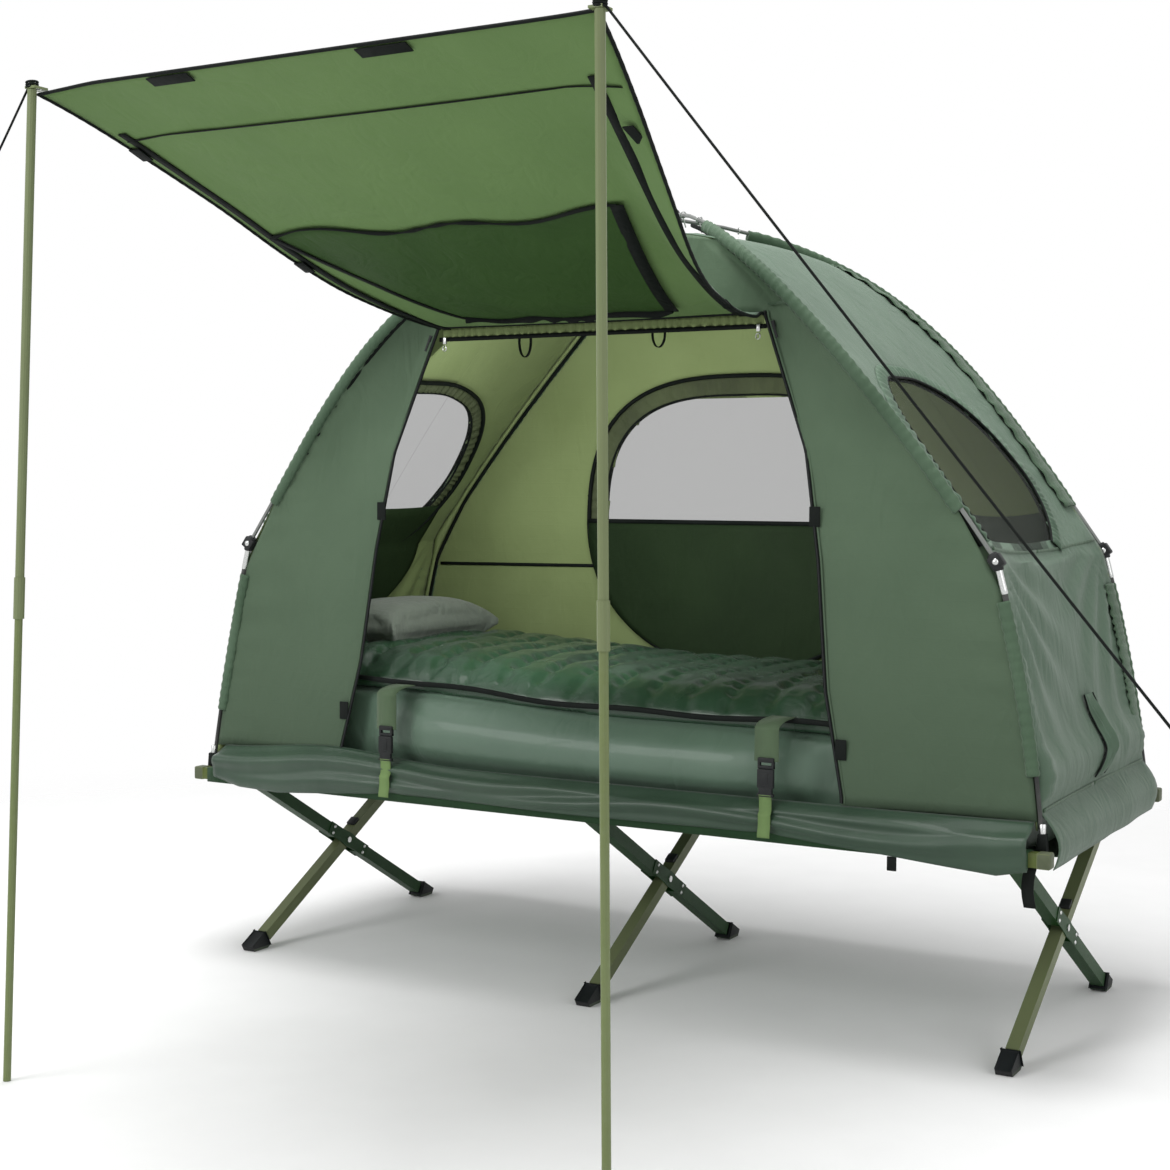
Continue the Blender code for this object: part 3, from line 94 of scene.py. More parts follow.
def clamp(value: float, low: float = 0.0, high: float = 1.0) -> float:
    """Keep a value between two limits."""
    return min(max(value, low), high)


def smooth(share: float) -> float:
    """Ease a share from 0 to 1 with level ends."""
    share = clamp(share)
    return share * share * (3 - 2 * share)


def bump_at(value: float, centre: float, width: float) -> float:
    """A soft hump of height 1 round a centre."""
    return math.exp(-((value - centre) / width) ** 2)


def along(table: Sequence, share: float) -> float:
    """Read a table of (position, value) pairs at a position.

    Args:
        table: The pairs, in order of position.
        share: The position.

    Returns:
        The value there.
    """
    for (start, low), (end, high) in zip(table, table[1:]):
        if share <= end:
            return lerp(low, high, max(share - start, 0.0) / (end - start))
    return table[-1][1]


def spaced(low: float, high: float, count: int) -> list:
    """Evenly spaced values from low to high.

    Args:
        low: The first value.
        high: The last value.
        count: The number of steps between them.

    Returns:
        A list of count + 1 values.
    """
    return [lerp(low, high, step / count) for step in range(count + 1)]


def crumple(point: Vector, size: float, stretch: Vector = Vector((1, 1, 1))) -> float:
    """Soft cloth noise between about -1 and 1.

    Args:
        point: Where it is read.
        size: The length of one crumple.
        stretch: How much longer the crumples are along each axis.

    Returns:
        The height of the cloth there.
    """
    spot = Vector((point.x / stretch.x, point.y / stretch.y, point.z / stretch.z)) / size
    return noise.noise(spot) + 0.5 * noise.noise(spot * 2.1 + Vector((3.1, 1.7, 4.4)))


class Kind(Enum):
    """How a finish is made up."""

    CLOTH = "cloth"
    SATIN = "satin"
    MESH = "mesh"
    WEBBING = "webbing"
    PAINT = "paint"
    MOULDED = "moulded"
    METAL = "metal"
    FLOOR = "floor"


class NodeDraft:
    """Adds nodes to a tree and joins them in one call."""

    def __init__(self, tree: bpy.types.NodeTree) -> None:
        """Take the tree to draw in."""
        self.tree = tree

    def add(self, kind: str, inputs: Optional[dict] = None, **settings: Any) -> bpy.types.Node:
        """Add a node.

        Args:
            kind: The node's type.
            inputs: Sockets by name or place, each with a value or a socket to join.
            settings: The node's own options.

        Returns:
            The new node.
        """
        node = self.tree.nodes.new(kind)
        for key, value in settings.items():
            setattr(node, key, value)
        for key, value in (inputs or {}).items():
            if isinstance(value, bpy.types.NodeSocket):
                self.tree.links.new(value, node.inputs[key])
            else:
                node.inputs[key].default_value = value
        return node

    def math(self, operation: str, first: Input, second: Input = 0.0) -> bpy.types.NodeSocket:
        """Add a Math node and return its value."""
        return self.add("ShaderNodeMath", {0: first, 1: second}, operation=operation).outputs[0]

    def noise(self, vector: Input, scale: Input, detail: float = 3.0,
              **inputs: float) -> bpy.types.NodeSocket:
        """Add a Noise texture and return its value."""
        wanted = {"Vector": vector, "Scale": scale, "Detail": detail, **inputs}
        return self.add("ShaderNodeTexNoise", wanted).outputs["Fac"]

    def span(self, value: Input, low: float, high: float, to_low: float = 0.0,
             to_high: float = 1.0) -> bpy.types.NodeSocket:
        """Map a value from one range onto another and return it."""
        wanted = {"Value": value, "From Min": low, "From Max": high, "To Min": to_low, "To Max": to_high}
        return self.add("ShaderNodeMapRange", wanted).outputs["Result"]

    def blend(self, amount: Input, first: Input, second: Input) -> bpy.types.NodeSocket:
        """Mix two colours and return the colour."""
        return self.add("ShaderNodeMix", {0: amount, 6: first, 7: second}, data_type="RGBA").outputs[2]

    def effect(self, name: str, inputs: dict) -> bpy.types.Node:
        """Add one of the shared groups and join its sockets."""
        return self.add("ShaderNodeGroup", inputs, node_tree=Effects.get(name))


def new_group(name: str, inputs: dict, outputs: dict) -> tuple:
    """Start a shader node group.

    Args:
        name: The group's name.
        inputs: Socket kinds by name.
        outputs: Socket kinds by name.

    Returns:
        The group, its draft, its input node and its output node.
    """
    group = bpy.data.node_groups.new(name, "ShaderNodeTree")
    for direction, sockets in (("INPUT", inputs), ("OUTPUT", outputs)):
        for socket, kind in sockets.items():
            group.interface.new_socket(name=socket, in_out=direction, socket_type="NodeSocket" + kind)
    draft = NodeDraft(group)
    return group, draft, draft.add("NodeGroupInput"), draft.add("NodeGroupOutput")


class Effects:
    """Shader node groups that several finishes share, each built once."""

    made: dict = {}

    @classmethod
    def get(cls, name: str) -> bpy.types.NodeTree:
        """Return a group by name, built on first use.

        Args:
            name: The piece's name, or its first part.

        Returns:
            The node group.
        """
        if name not in cls.made:
            cls.made[name] = getattr(cls, name)()
        return cls.made[name]

    @staticmethod
    def drift() -> bpy.types.NodeTree:
        """Slow change of colour, such as fading and folds that have rubbed.

        Returns:
            The node group.
        """
        group, draft, given, out = new_group(
            "colour_drift", {"Vector": "Vector", "Colour": "Color", "Other": "Color", "Scale": "Float"},
            {"Colour": "Color"})
        slow = draft.noise(given.outputs["Vector"], given.outputs["Scale"], 4.0)
        amount = draft.span(slow, 0.35, 0.7)
        colour = draft.blend(amount, given.outputs["Colour"], given.outputs["Other"])
        group.links.new(colour, out.inputs["Colour"])
        return group

    @staticmethod
    def weave() -> bpy.types.NodeTree:
        """Crossing threads on the cloth's own UV map, with a stronger thread at every ripstop square.

        Returns:
            The node group.
        """
        group, draft, given, out = new_group(
            "weave", {"Vector": "Vector", "Threads": "Float", "Squares": "Float"},
            {"Height": "Float", "Line": "Float"})
        parts = draft.add("ShaderNodeSeparateXYZ", {"Vector": given.outputs["Vector"]})
        waves, lines = [], []
        for axis in (0, 1):
            run = parts.outputs[axis]
            thread = draft.math("MULTIPLY", run, given.outputs["Threads"])
            waves.append(draft.math("ABSOLUTE", draft.math("SINE", thread)))
            square = draft.math("SINE", draft.math("MULTIPLY", run, given.outputs["Squares"]))
            lines.append(draft.span(draft.math("ABSOLUTE", square), 0.16, 0.02))
        line = draft.math("MAXIMUM", *lines)
        height = draft.math("ADD", draft.math("MULTIPLY", *waves), line)
        group.links.new(height, out.inputs["Height"])
        group.links.new(line, out.inputs["Line"])
        return group

    @staticmethod
    def crease() -> bpy.types.NodeTree:
        """Fine crumples that run mostly one way.

        Returns:
            The node group.
        """
        group, draft, given, out = new_group(
            "crease", {"Vector": "Vector", "Scale": "Float"}, {"Height": "Float"})
        long = draft.add("ShaderNodeMapping", {"Vector": given.outputs["Vector"], "Scale": (1.0, 0.8, 0.35)})
        wide = draft.noise(long.outputs[0], given.outputs["Scale"], 2.0, Distortion=1.2)
        sharp = draft.math("ABSOLUTE", draft.math("SUBTRACT", wide, 0.5))
        fine = draft.noise(given.outputs["Vector"], draft.math("MULTIPLY", given.outputs["Scale"], 5.0), 2.0)
        height = draft.math("ADD", draft.math("MULTIPLY", sharp, 2.0), draft.math("MULTIPLY", fine, 0.25))
        group.links.new(height, out.inputs["Height"])
        return group

    @staticmethod
    def worn_edge() -> bpy.types.NodeTree:
        """Where paint or plastic has rubbed off along edges and in a few scratches.

        Returns:
            The node group.
        """
        group, draft, given, out = new_group("worn_edge", {"Vector": "Vector", "Amount": "Float"},
                                             {"Mask": "Float"})
        shape = draft.add("ShaderNodeNewGeometry").outputs["Pointiness"]
        grit = draft.noise(given.outputs["Vector"], 90.0, 5.0)
        edge = draft.span(draft.math("ADD", shape, draft.math("MULTIPLY", grit, 0.06)), 0.54, 0.62)
        slip = draft.add("ShaderNodeMapping",
                         {"Vector": given.outputs["Vector"], "Scale": (160.0, 12.0, 60.0)})
        scratch = draft.span(draft.noise(slip.outputs[0], 1.0, 2.0), 0.70, 0.76)
        mask = draft.math("MULTIPLY", draft.math("MAXIMUM", edge, scratch), given.outputs["Amount"])
        group.links.new(mask, out.inputs["Mask"])
        return group

    @staticmethod
    def grain() -> bpy.types.NodeTree:
        """Fine grain of moulded plastic, powder paint or brushed metal.

        Returns:
            The node group.
        """
        group, draft, given, out = new_group("grain", {"Vector": "Vector", "Scale": "Float"},
                                             {"Height": "Float"})
        fine = draft.noise(given.outputs["Vector"], given.outputs["Scale"], 4.0)
        group.links.new(fine, out.inputs["Height"])
        return group

    @staticmethod
    def holes() -> bpy.types.NodeTree:
        """Threads of an open net, 1 on a thread and 0 in a hole.

        Returns:
            The node group.
        """
        group, draft, given, out = new_group("holes", {"Vector": "Vector", "Threads": "Float"},
                                             {"Mask": "Float"})
        parts = draft.add("ShaderNodeSeparateXYZ", {"Vector": given.outputs["Vector"]})
        waves = []
        for axis in (0, 1):
            wave = draft.math("SINE", draft.math("MULTIPLY", parts.outputs[axis], given.outputs["Threads"]))
            waves.append(draft.span(draft.math("ABSOLUTE", wave), 0.45, 0.25))
        group.links.new(draft.math("MAXIMUM", *waves), out.inputs["Mask"])
        return group


@dataclass(frozen=True)
class Finish:
    """A procedural finish; colours are linear, and low is how much darker its foot is painted, as painted
    shade.
    """

    name: str
    kind: Kind
    colour: tuple
    other: tuple
    roughness: float = 0.7
    metallic: float = 0.0
    sheen: float = 0.0
    coat: float = 0.0
    drift_scale: float = 6.0
    crease_scale: float = 14.0
    crease_height: float = 0.004
    worn: tuple = (0.4, 0.4, 0.38)
    wear: float = 0.5
    low: float = 1.0

    def material(self) -> bpy.types.Material:
        """Return the material, made on first use.

        Returns:
            The material.
        """
        made = bpy.data.materials.get(self.name)
        if made:
            return made
        made = bpy.data.materials.new(self.name)
        made.use_nodes = True
        draft = NodeDraft(made.node_tree)
        shader = made.node_tree.nodes["Principled BSDF"]
        gloss = {Kind.SATIN: 0.40, Kind.METAL: 0.5, Kind.PAINT: 0.12, Kind.MOULDED: 0.15}.get(self.kind, 0.12)
        for socket, value in (("Roughness", self.roughness), ("Metallic", self.metallic),
                              ("Sheen Weight", self.sheen),
                              ("Sheen Roughness", 0.4), ("Specular IOR Level", gloss),
                              ("Coat Weight", self.coat)):
            shader.inputs[socket].default_value = value
        place = draft.add("ShaderNodeTexCoord").outputs["Object"]
        colour = draft.effect("drift",
                              {"Vector": place, "Colour": (*self.colour, 1.0), "Other": (*self.other, 1.0),
                                        "Scale": self.drift_scale}).outputs["Colour"]
        # Painted shade: the colour darkens towards the foot of the cloth, for the weaker light low down.
        if self.low < 1.0:
            height = draft.add("ShaderNodeSeparateXYZ", {"Vector": place}).outputs["Z"]
            painted_foot_shade = draft.span(height, FOOT_SHADE_END, FOOT_SHADE_START, 0.0, 1.0)
            darker = tuple(channel * self.low for channel in self.colour)
            colour = draft.blend(painted_foot_shade, (*darker, 1.0), colour)
        if self.kind in (Kind.CLOTH, Kind.SATIN, Kind.WEBBING, Kind.MESH):
            colour = self.dress_cloth(draft, shader, place, colour)
        else:
            colour = self.dress_hard(draft, shader, place, colour)
        draft.tree.links.new(colour, shader.inputs["Base Color"])
        return made

    def dress_cloth(self, draft: NodeDraft, shader: bpy.types.Node, place: Input, colour: Input) -> Input:
        """Weave, creases and a roughness that changes over the cloth.

        Args:
            draft: The material's node draft.
            shader: Its shader node.
            place: Place along it.
            colour: The colour so far.

        Returns:
            The colour.
        """
        threads = {Kind.CLOTH: 4200.0, Kind.SATIN: 5200.0, Kind.WEBBING: 1500.0, Kind.MESH: 2100.0}[self.kind]
        squares = 90.0 if self.kind is Kind.CLOTH else 0.0
        own = draft.add("ShaderNodeUVMap", uv_map="cloth").outputs["UV"]
        woven = draft.effect("weave", {"Vector": own, "Threads": threads, "Squares": squares})
        creased = draft.effect("crease", {"Vector": place, "Scale": self.crease_scale})
        bump = draft.add("ShaderNodeBump", {"Height": creased.outputs[0], "Strength": 0.6,
                                            "Distance": self.crease_height})
        fine = draft.add("ShaderNodeBump", {"Height": woven.outputs["Height"], "Strength": 0.25,
                                            "Distance": 0.0004, "Normal": bump.outputs[0]})
        draft.tree.links.new(fine.outputs[0], shader.inputs["Normal"])
        rough = draft.span(creased.outputs[0], 0.0, 1.0, self.roughness - 0.06, self.roughness + 0.08)
        draft.tree.links.new(rough, shader.inputs["Roughness"])
        if self.kind is Kind.MESH:
            mesh = draft.effect("holes", {"Vector": own, "Threads": threads})
            alpha = draft.span(mesh.outputs["Mask"], 0.0, 1.0, 0.30, 0.42)
            draft.tree.links.new(alpha, shader.inputs["Alpha"])
        return colour

    def dress_hard(self, draft: NodeDraft, shader: bpy.types.Node, place: Input, colour: Input) -> Input:
        """Grain, worn edges and a roughness that changes over the part.

        Args:
            draft: The material's node draft.
            shader: Its shader node.
            place: Place along it.
            colour: The colour so far.

        Returns:
            The colour.
        """
        scale = {Kind.PAINT: 420.0, Kind.MOULDED: 600.0, Kind.METAL: 300.0, Kind.FLOOR: 30.0}[self.kind]
        grain = draft.effect("grain", {"Vector": place, "Scale": scale})
        depth = 0.0003 if self.kind is not Kind.FLOOR else 0.0005
        bump = draft.add("ShaderNodeBump", {"Height": grain.outputs[0], "Strength": 0.3, "Distance": depth})
        draft.tree.links.new(bump.outputs[0], shader.inputs["Normal"])
        rough = draft.span(grain.outputs[0], 0.3, 0.7, self.roughness - 0.07, self.roughness + 0.09)
        draft.tree.links.new(rough, shader.inputs["Roughness"])
        if self.kind is Kind.FLOOR:
            reach = draft.add("ShaderNodeVectorMath", {0: place}, operation="LENGTH").outputs["Value"]
            shown = draft.span(reach, FLOOR_FADE_START, FLOOR_FADE_END, 1.0, 0.0)
            draft.tree.links.new(shown, shader.inputs["Alpha"])
        if self.kind in (Kind.PAINT, Kind.MOULDED) and self.wear:
            mask = draft.effect("worn_edge", {"Vector": place, "Amount": self.wear})
            return draft.blend(mask.outputs[0], colour, (*self.worn, 1.0))
        return colour


# Painted shade: low darkens the foot of the front and roof cloths.
FRONT_CLOTH = Finish("front_cloth", Kind.CLOTH, (0.096, 0.146, 0.092), (0.084, 0.130, 0.081), 0.66,
                     sheen=0.06,
                     low=0.62)
# Painted light: the same fabric as the front cloth, given a lighter colour for the light that falls on it
# from above.
ROOF_CLOTH = Finish("roof_cloth_dressed", Kind.CLOTH, (0.104, 0.162, 0.112), (0.088, 0.140, 0.096), 0.56,
                    sheen=0.12, crease_height=0.005, low=0.72)
LINING = Finish("khaki_lining", Kind.CLOTH, (0.205, 0.262, 0.112), (0.185, 0.238, 0.098), 0.7, sheen=0.05,
                crease_height=0.002)
AWNING_UNDER = Finish("awning_under", Kind.CLOTH, (0.138, 0.232, 0.082), (0.124, 0.212, 0.074), 0.66,
                      sheen=0.05, crease_height=0.0025)
SLEEVE_CLOTH = Finish("sleeve_cloth", Kind.CLOTH, (0.076, 0.124, 0.078), (0.054, 0.094, 0.056), 0.55,
                      sheen=0.15, crease_scale=40.0, crease_height=0.003)
SKIRT_CLOTH = Finish("skirt_cloth", Kind.SATIN, (0.026, 0.058, 0.032), (0.018, 0.044, 0.024), 0.36,
                     sheen=0.10, coat=0.10, crease_scale=5.0, crease_height=0.004)
SLING_CLOTH = Finish("sling_cloth", Kind.CLOTH, (0.022, 0.058, 0.024), (0.016, 0.044, 0.018), 0.6, sheen=0.05)
BED_SATIN = Finish("mattress_satin", Kind.SATIN, (0.090, 0.150, 0.104), (0.076, 0.130, 0.090), 0.38,
                   sheen=0.2, coat=0.1, crease_scale=7.0, crease_height=0.006)
QUILTING = Finish("quilted_satin", Kind.SATIN, (0.022, 0.058, 0.030), (0.015, 0.042, 0.021), 0.27,
                  sheen=0.05, coat=0.18, crease_scale=9.0, crease_height=0.007)
PILLOW_CLOTH = Finish("pillow_cloth_dressed", Kind.CLOTH, (0.135, 0.158, 0.130), (0.115, 0.138, 0.112), 0.75,
                      sheen=0.15, crease_scale=16.0, crease_height=0.006)
DARK_COVER = Finish("dark_window_cover", Kind.CLOTH, (0.016, 0.030, 0.012), (0.013, 0.025, 0.010), 0.7)
AWNING_COVER = Finish("awning_window_cover", Kind.CLOTH, (0.036, 0.080, 0.020), (0.030, 0.068, 0.017), 0.66)
WINDOW_MESH = Finish("window_mesh", Kind.MESH, (0.045, 0.05, 0.045), (0.04, 0.045, 0.04), 0.8)
BORDER_CLOTH = Finish("window_border", Kind.CLOTH, (0.085, 0.105, 0.052), (0.050, 0.060, 0.034), 0.7,
                      crease_scale=40.0, crease_height=0.003)
BLACK_TAPE = Finish("black_tape", Kind.WEBBING, (0.004, 0.006, 0.005), (0.008, 0.010, 0.009), 0.7)
TAB_TAPE = Finish("tab_tape", Kind.WEBBING, (0.085, 0.128, 0.072), (0.072, 0.110, 0.062), 0.6, sheen=0.1)
OLIVE_TAPE = Finish("olive_tape", Kind.WEBBING, (0.160, 0.245, 0.092), (0.135, 0.21, 0.08), 0.65)
ROPE_CORD = Finish("rope_cord", Kind.MOULDED, (0.004, 0.006, 0.005), (0.009, 0.011, 0.010), 0.8, wear=0.0)
OLIVE_PAINT = Finish("olive_paint_dressed", Kind.PAINT, (0.096, 0.124, 0.034), (0.080, 0.104, 0.028), 0.42,
                     coat=0.05, wear=0.12)
DARK_PAINT = Finish("dark_green_paint_dressed", Kind.PAINT, (0.006, 0.038, 0.006), (0.004, 0.028, 0.004),
                    0.45, worn=(0.12, 0.2, 0.12), wear=0.12)
POLE_PAINT = Finish("pale_olive_paint_dressed", Kind.PAINT, (0.150, 0.190, 0.072), (0.134, 0.170, 0.062),
                    0.42,
                    coat=0.1, wear=0.12)
BLACK_MOULDED = Finish("black_moulded", Kind.MOULDED, (0.005, 0.007, 0.007), (0.009, 0.011, 0.012), 0.48,
                       worn=(0.06, 0.06, 0.06), wear=0.3)
SOLE_RUBBER = Finish("sole_rubber", Kind.MOULDED, (0.05, 0.07, 0.05), (0.04, 0.055, 0.04), 0.7,
                     worn=(0.14, 0.14, 0.12), wear=0.3)
CAP_PLASTIC = Finish("cap_plastic", Kind.MOULDED, (0.060, 0.080, 0.040), (0.045, 0.060, 0.030), 0.5,
                     worn=(0.2, 0.21, 0.15), wear=0.3)
BRIGHT_STEEL = Finish("bright_steel_dressed", Kind.METAL, (0.62, 0.63, 0.62), (0.5, 0.51, 0.5), 0.28,
                      metallic=1.0)
GREY_POLE = Finish("grey_pole_dressed", Kind.METAL, (0.20, 0.21, 0.20), (0.16, 0.17, 0.16), 0.34,
                   metallic=0.6)
DARK_POLE = Finish("dark_pole_dressed", Kind.PAINT, (0.010, 0.012, 0.012), (0.007, 0.008, 0.008), 0.35,
                   coat=0.1, wear=0.15)
PALE_FLOOR = Finish("pale_floor", Kind.FLOOR, (0.86, 0.86, 0.86), (0.84, 0.84, 0.84), 0.9)


def make_piece(name: str, bm: bmesh.types.BMesh, finishes: Sequence[Finish], body: Optional[str],
               flat_angle: float = 40.0) -> bpy.types.Object:
    """Turn a bmesh drawn in the cot's frame into a piece.

    Args:
        name: The piece's name.
        bm: The shape; it is freed.
        finishes: One finish for each material place.
        body: The body that it rides on, or None for a piece that rides on no body.
        flat_angle: Edges sharper than this, in degrees, stay sharp.

    Returns:
        The new object, at the origin with its place in its mesh.
    """
    bm.transform(Matrix.Translation(ORIGIN))
    mesh = bpy.data.meshes.new(name)
    bm.to_mesh(mesh)
    bm.free()
    for finish in finishes:
        mesh.materials.append(finish.material())
    mesh.shade_smooth()
    mesh.set_sharp_from_angle(angle=math.radians(flat_angle))
    piece = bpy.data.objects.new(name, mesh)
    bpy.context.scene.collection.objects.link(piece)
    if body:
        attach(piece, body)
    LOG.info("%s: %d faces on %s", name, len(mesh.polygons), body)
    return piece


def solid_piece(name: str, bm: bmesh.types.BMesh, finish: Finish, body: Optional[str],
                flat_angle: float = 40.0) -> bpy.types.Object:
    """Close a solid shape, point its faces outward and make it a piece.

    Args:
        name: The piece's name, or its first part.
        bm: The shape to add it to.
        finish: Its finish.
        body: The body that it rides on.
        flat_angle: Edges sharper than this, in degrees, stay sharp.

    Returns:
        The piece.
    """
    bmesh.ops.remove_doubles(bm, verts=bm.verts, dist=1e-6)
    bmesh.ops.recalc_face_normals(bm, faces=bm.faces)
    if finish.kind in (Kind.WEBBING, Kind.SATIN, Kind.CLOTH):
        unwrap_flat(bm)
    return make_piece(name, bm, (finish,), body, flat_angle)


def unwrap_flat(bm: bmesh.types.BMesh) -> None:
    """Give each face the two coordinates that it lies along as its place on the cloth.

    Args:
        bm: The shape to add it to.
    """
    layer = bm.loops.layers.uv.get("cloth") or bm.loops.layers.uv.new("cloth")
    for face in bm.faces:
        normal = face.normal
        drop = max(range(3), key=lambda axis: abs(normal[axis]))
        kept = [axis for axis in range(3) if axis != drop]
        for loop in face.loops:
            loop[layer].uv = (loop.vert.co[kept[0]], loop.vert.co[kept[1]])


@dataclass
class Cloth:
    """A cloth made from a grid whose lines are carried onto a surface."""

    name: str
    surface: Surface
    columns: Sequence[float]
    rows: Sequence[float]
    outer: Finish
    inner: Finish
    thickness: float = 0.0012
    keep: Optional[Callable[[Vector, float, float], bool]] = None
    relief: Optional[Callable[[Vector, float, float], float]] = None
    inside: Vector = INSIDE
    closed: bool = False

    def shape(self) -> bmesh.types.BMesh:
        """Carry the grid onto the surface, with its outer face turned away from the inside.

        Returns:
            The shape.
        """
        bm = bmesh.new()
        cloth = bm.loops.layers.uv.new("cloth")
        across, up = len(self.columns) - 1, len(self.rows) - 1
        bmesh.ops.create_grid(bm, x_segments=across, y_segments=up, size=1.0)
        places = {}
        for vert in bm.verts:
            column = round((vert.co.x + 1) / 2 * across)
            row = round((vert.co.y + 1) / 2 * up)
            places[vert] = (column, row)
            vert.co = self.surface(self.columns[column], self.rows[row])
        lengths = self.lengths(across, up)
        for face in bm.faces:
            for loop in face.loops:
                column, row = places[loop.vert]
                loop[cloth].uv = (lengths[0][column], lengths[1][row])
        bm.normal_update()
        facing = sum((face.calc_center_median() - self.inside).dot(face.normal) * face.calc_area()
                     for face in bm.faces)
        if facing < 0:
            bmesh.ops.reverse_faces(bm, faces=bm.faces)
            bm.normal_update()
        if self.relief:
            moves = {vert: vert.normal * self.relief(vert.co, self.columns[places[vert][0]],
                                                     self.rows[places[vert][1]]) for vert in bm.verts}
            for vert, move in moves.items():
                vert.co += move
        if self.keep:
            lost = []
            for face in bm.faces:
                column = sum(self.columns[places[vert][0]] for vert in face.verts) / len(face.verts)
                row = sum(self.rows[places[vert][1]] for vert in face.verts) / len(face.verts)
                if not self.keep(face.calc_center_median(), column, row):
                    lost.append(face)
            bmesh.ops.delete(bm, geom=lost, context="FACES")
        if self.closed:
            bmesh.ops.remove_doubles(bm, verts=bm.verts, dist=1e-5)
        return bm

    def lengths(self, across: int, up: int) -> list:
        """Measure the cloth along its middle column and row.

        Args:
            across: Number of steps across.
            up: Number of steps up.

        Returns:
            The run of the columns and of the rows.
        """
        middle_row, middle_column = self.rows[up // 2], self.columns[across // 2]
        runs = []
        for places, reach in ((self.columns, lambda c: self.surface(c, middle_row)),
                              (self.rows, lambda r: self.surface(middle_column, r))):
            total, run, before = 0.0, [], None
            for place in places:
                point = reach(place)
                total += (point - before).length if before is not None else 0.0
                before = point
                run.append(total)
            runs.append(run)
        return runs

    def make(self, body: Optional[str]) -> bpy.types.Object:
        """Make the piece, thickened about its middle.

        Args:
            body: The body that it rides on.

        Returns:
            The piece.
        """
        piece = make_piece(self.name, self.shape(), (self.outer, self.inner), body, 60.0)
        wall = piece.modifiers.new("thickness", "SOLIDIFY")
        wall.thickness = self.thickness
        wall.offset = 0.0
        wall.material_offset = 1
        return piece


def ribbon(name: str, path: Line, side: Vector, half: float, steps: int, finish: Finish,
           body: Optional[str], thickness: float = 0.0015, inside: Vector = INSIDE) -> bpy.types.Object:
    """Make a flat strip.

    Args:
        name: The piece's name.
        path: The strip's middle line over a share from 0 to 1.
        side: The direction across the strip.
        half: Half its width.
        steps: Number of faces along it.
        finish: Its finish.
        body: The body that it rides on.
        thickness: Its thickness.
        inside: The point that its back faces.

    Returns:
        The new piece.
    """
    return Cloth(name, lambda u, s: path(s) + side * u * half, (-1.0, 0.0, 1.0), spaced(0, 1, steps),
                 finish, finish, thickness, inside=inside).make(body)


def sweep(bm: bmesh.types.BMesh, stations: Sequence[tuple], sides: int) -> None:
    """Draw a round bar through stations.

    Args:
        bm: The shape to add it to.
        stations: Points, each with a radius, or with two radii where the bar is flattened.
        sides: Number of faces round it.
    """
    points = [point for point, _ in stations]
    up = Vector((0, 1, 0))
    frames = []
    for index, (point, radius) in enumerate(stations):
        before = next((p for p in reversed(points[:index]) if (p - point).length > 1e-6), point)
        after = next((p for p in points[index + 1:] if (p - point).length > 1e-6), point)
        run = (after - before).normalized()
        side = run.cross(up)
        if side.length < 0.1:
            side = run.cross(Vector((1, 0, 0)))
        side.normalize()
        up = side.cross(run).normalized()
        wide, high = radius if isinstance(radius, tuple) else (radius, radius)
        matrix = Matrix((side * wide, up * high, run)).transposed().to_4x4()
        frames.append(Matrix.Translation(point) @ matrix)
    hoop = bmesh.ops.create_circle(bm, cap_ends=True, segments=sides, radius=1.0, matrix=frames[0])["verts"]
    edges = [edge for edge in {e for vert in hoop for e in vert.link_edges}
             if all(v in hoop for v in edge.verts)]
    for last, place in zip(frames, frames[1:]):
        made = bmesh.ops.extrude_edge_only(bm, edges=edges)["geom"]
        hoop = [item for item in made if isinstance(item, bmesh.types.BMVert)]
        known = set(hoop)
        edges = [item for item in made
                 if isinstance(item, bmesh.types.BMEdge) and all(v in known for v in item.verts)]
        bmesh.ops.transform(bm, matrix=place @ last.inverted(), verts=hoop)
    bmesh.ops.contextual_create(bm, geom=edges)


def bar(name: str, stations: Sequence[tuple], finish: Finish, body: Optional[str], sides: int = 8,
        flat_angle: float = 40.0) -> bpy.types.Object:
    """Make a piece of one round bar.

    Args:
        name: The piece's name.
        stations: Points, each with its radius.
        finish: Its finish.
        body: The body that it rides on, or None.
        sides: Number of faces round it.
        flat_angle: Edges sharper than this, in degrees, stay sharp.

    Returns:
        The new piece.
    """
    bm = bmesh.new()
    sweep(bm, stations, sides)
    return solid_piece(name, bm, finish, body, flat_angle)


def block(bm: bmesh.types.BMesh, low: Sequence[float], high: Sequence[float], bevel: float = 0.0,
          turn: Optional[Matrix] = None) -> list:
    """Add a box between two corners, with rounded edges, and return its vertices.

    Args:
        bm: The shape to add it to.
        low: Its lower corner.
        high: Its upper corner.
        bevel: Size of its rounded edges.
        turn: Carries it to its place.

    Returns:
        Its vertices.
    """
    made = bmesh.ops.create_cube(bm, size=1.0)["verts"]
    low, high = Vector(low), Vector(high)
    bmesh.ops.scale(bm, vec=high - low, verts=made)
    bmesh.ops.translate(bm, vec=(low + high) / 2, verts=made)
    if bevel:
        edges = list({edge for vert in made for edge in vert.link_edges})
        result = bmesh.ops.bevel(bm, geom=edges, offset=bevel, segments=2, profile=0.5, affect="EDGES",
                                 material=-1)
        rounded = {vert for face in result["faces"] for vert in face.verts}
        made = list(rounded | {vert for vert in made if vert.is_valid})
    if turn:
        bmesh.ops.transform(bm, matrix=turn, verts=made)
    return made


def dome(bm: bmesh.types.BMesh, place: Vector, direction: Vector, radius: float, height: float) -> None:
    """Add a rivet's head: a low dome standing on a face.

    Args:
        bm: The shape to add it to.
        place: Its foot.
        direction: The way it faces.
        radius: Its radius.
        height: How high it stands.
    """
    turn = Vector((0, 0, 1)).rotation_difference(direction).to_matrix().to_4x4()
    made = bmesh.ops.create_uvsphere(bm, u_segments=10, v_segments=6, radius=1.0)["verts"]
    shape = Matrix.Translation(place) @ turn @ Matrix.Diagonal((radius, radius, height, 1.0))
    bmesh.ops.transform(bm, matrix=shape, verts=made)


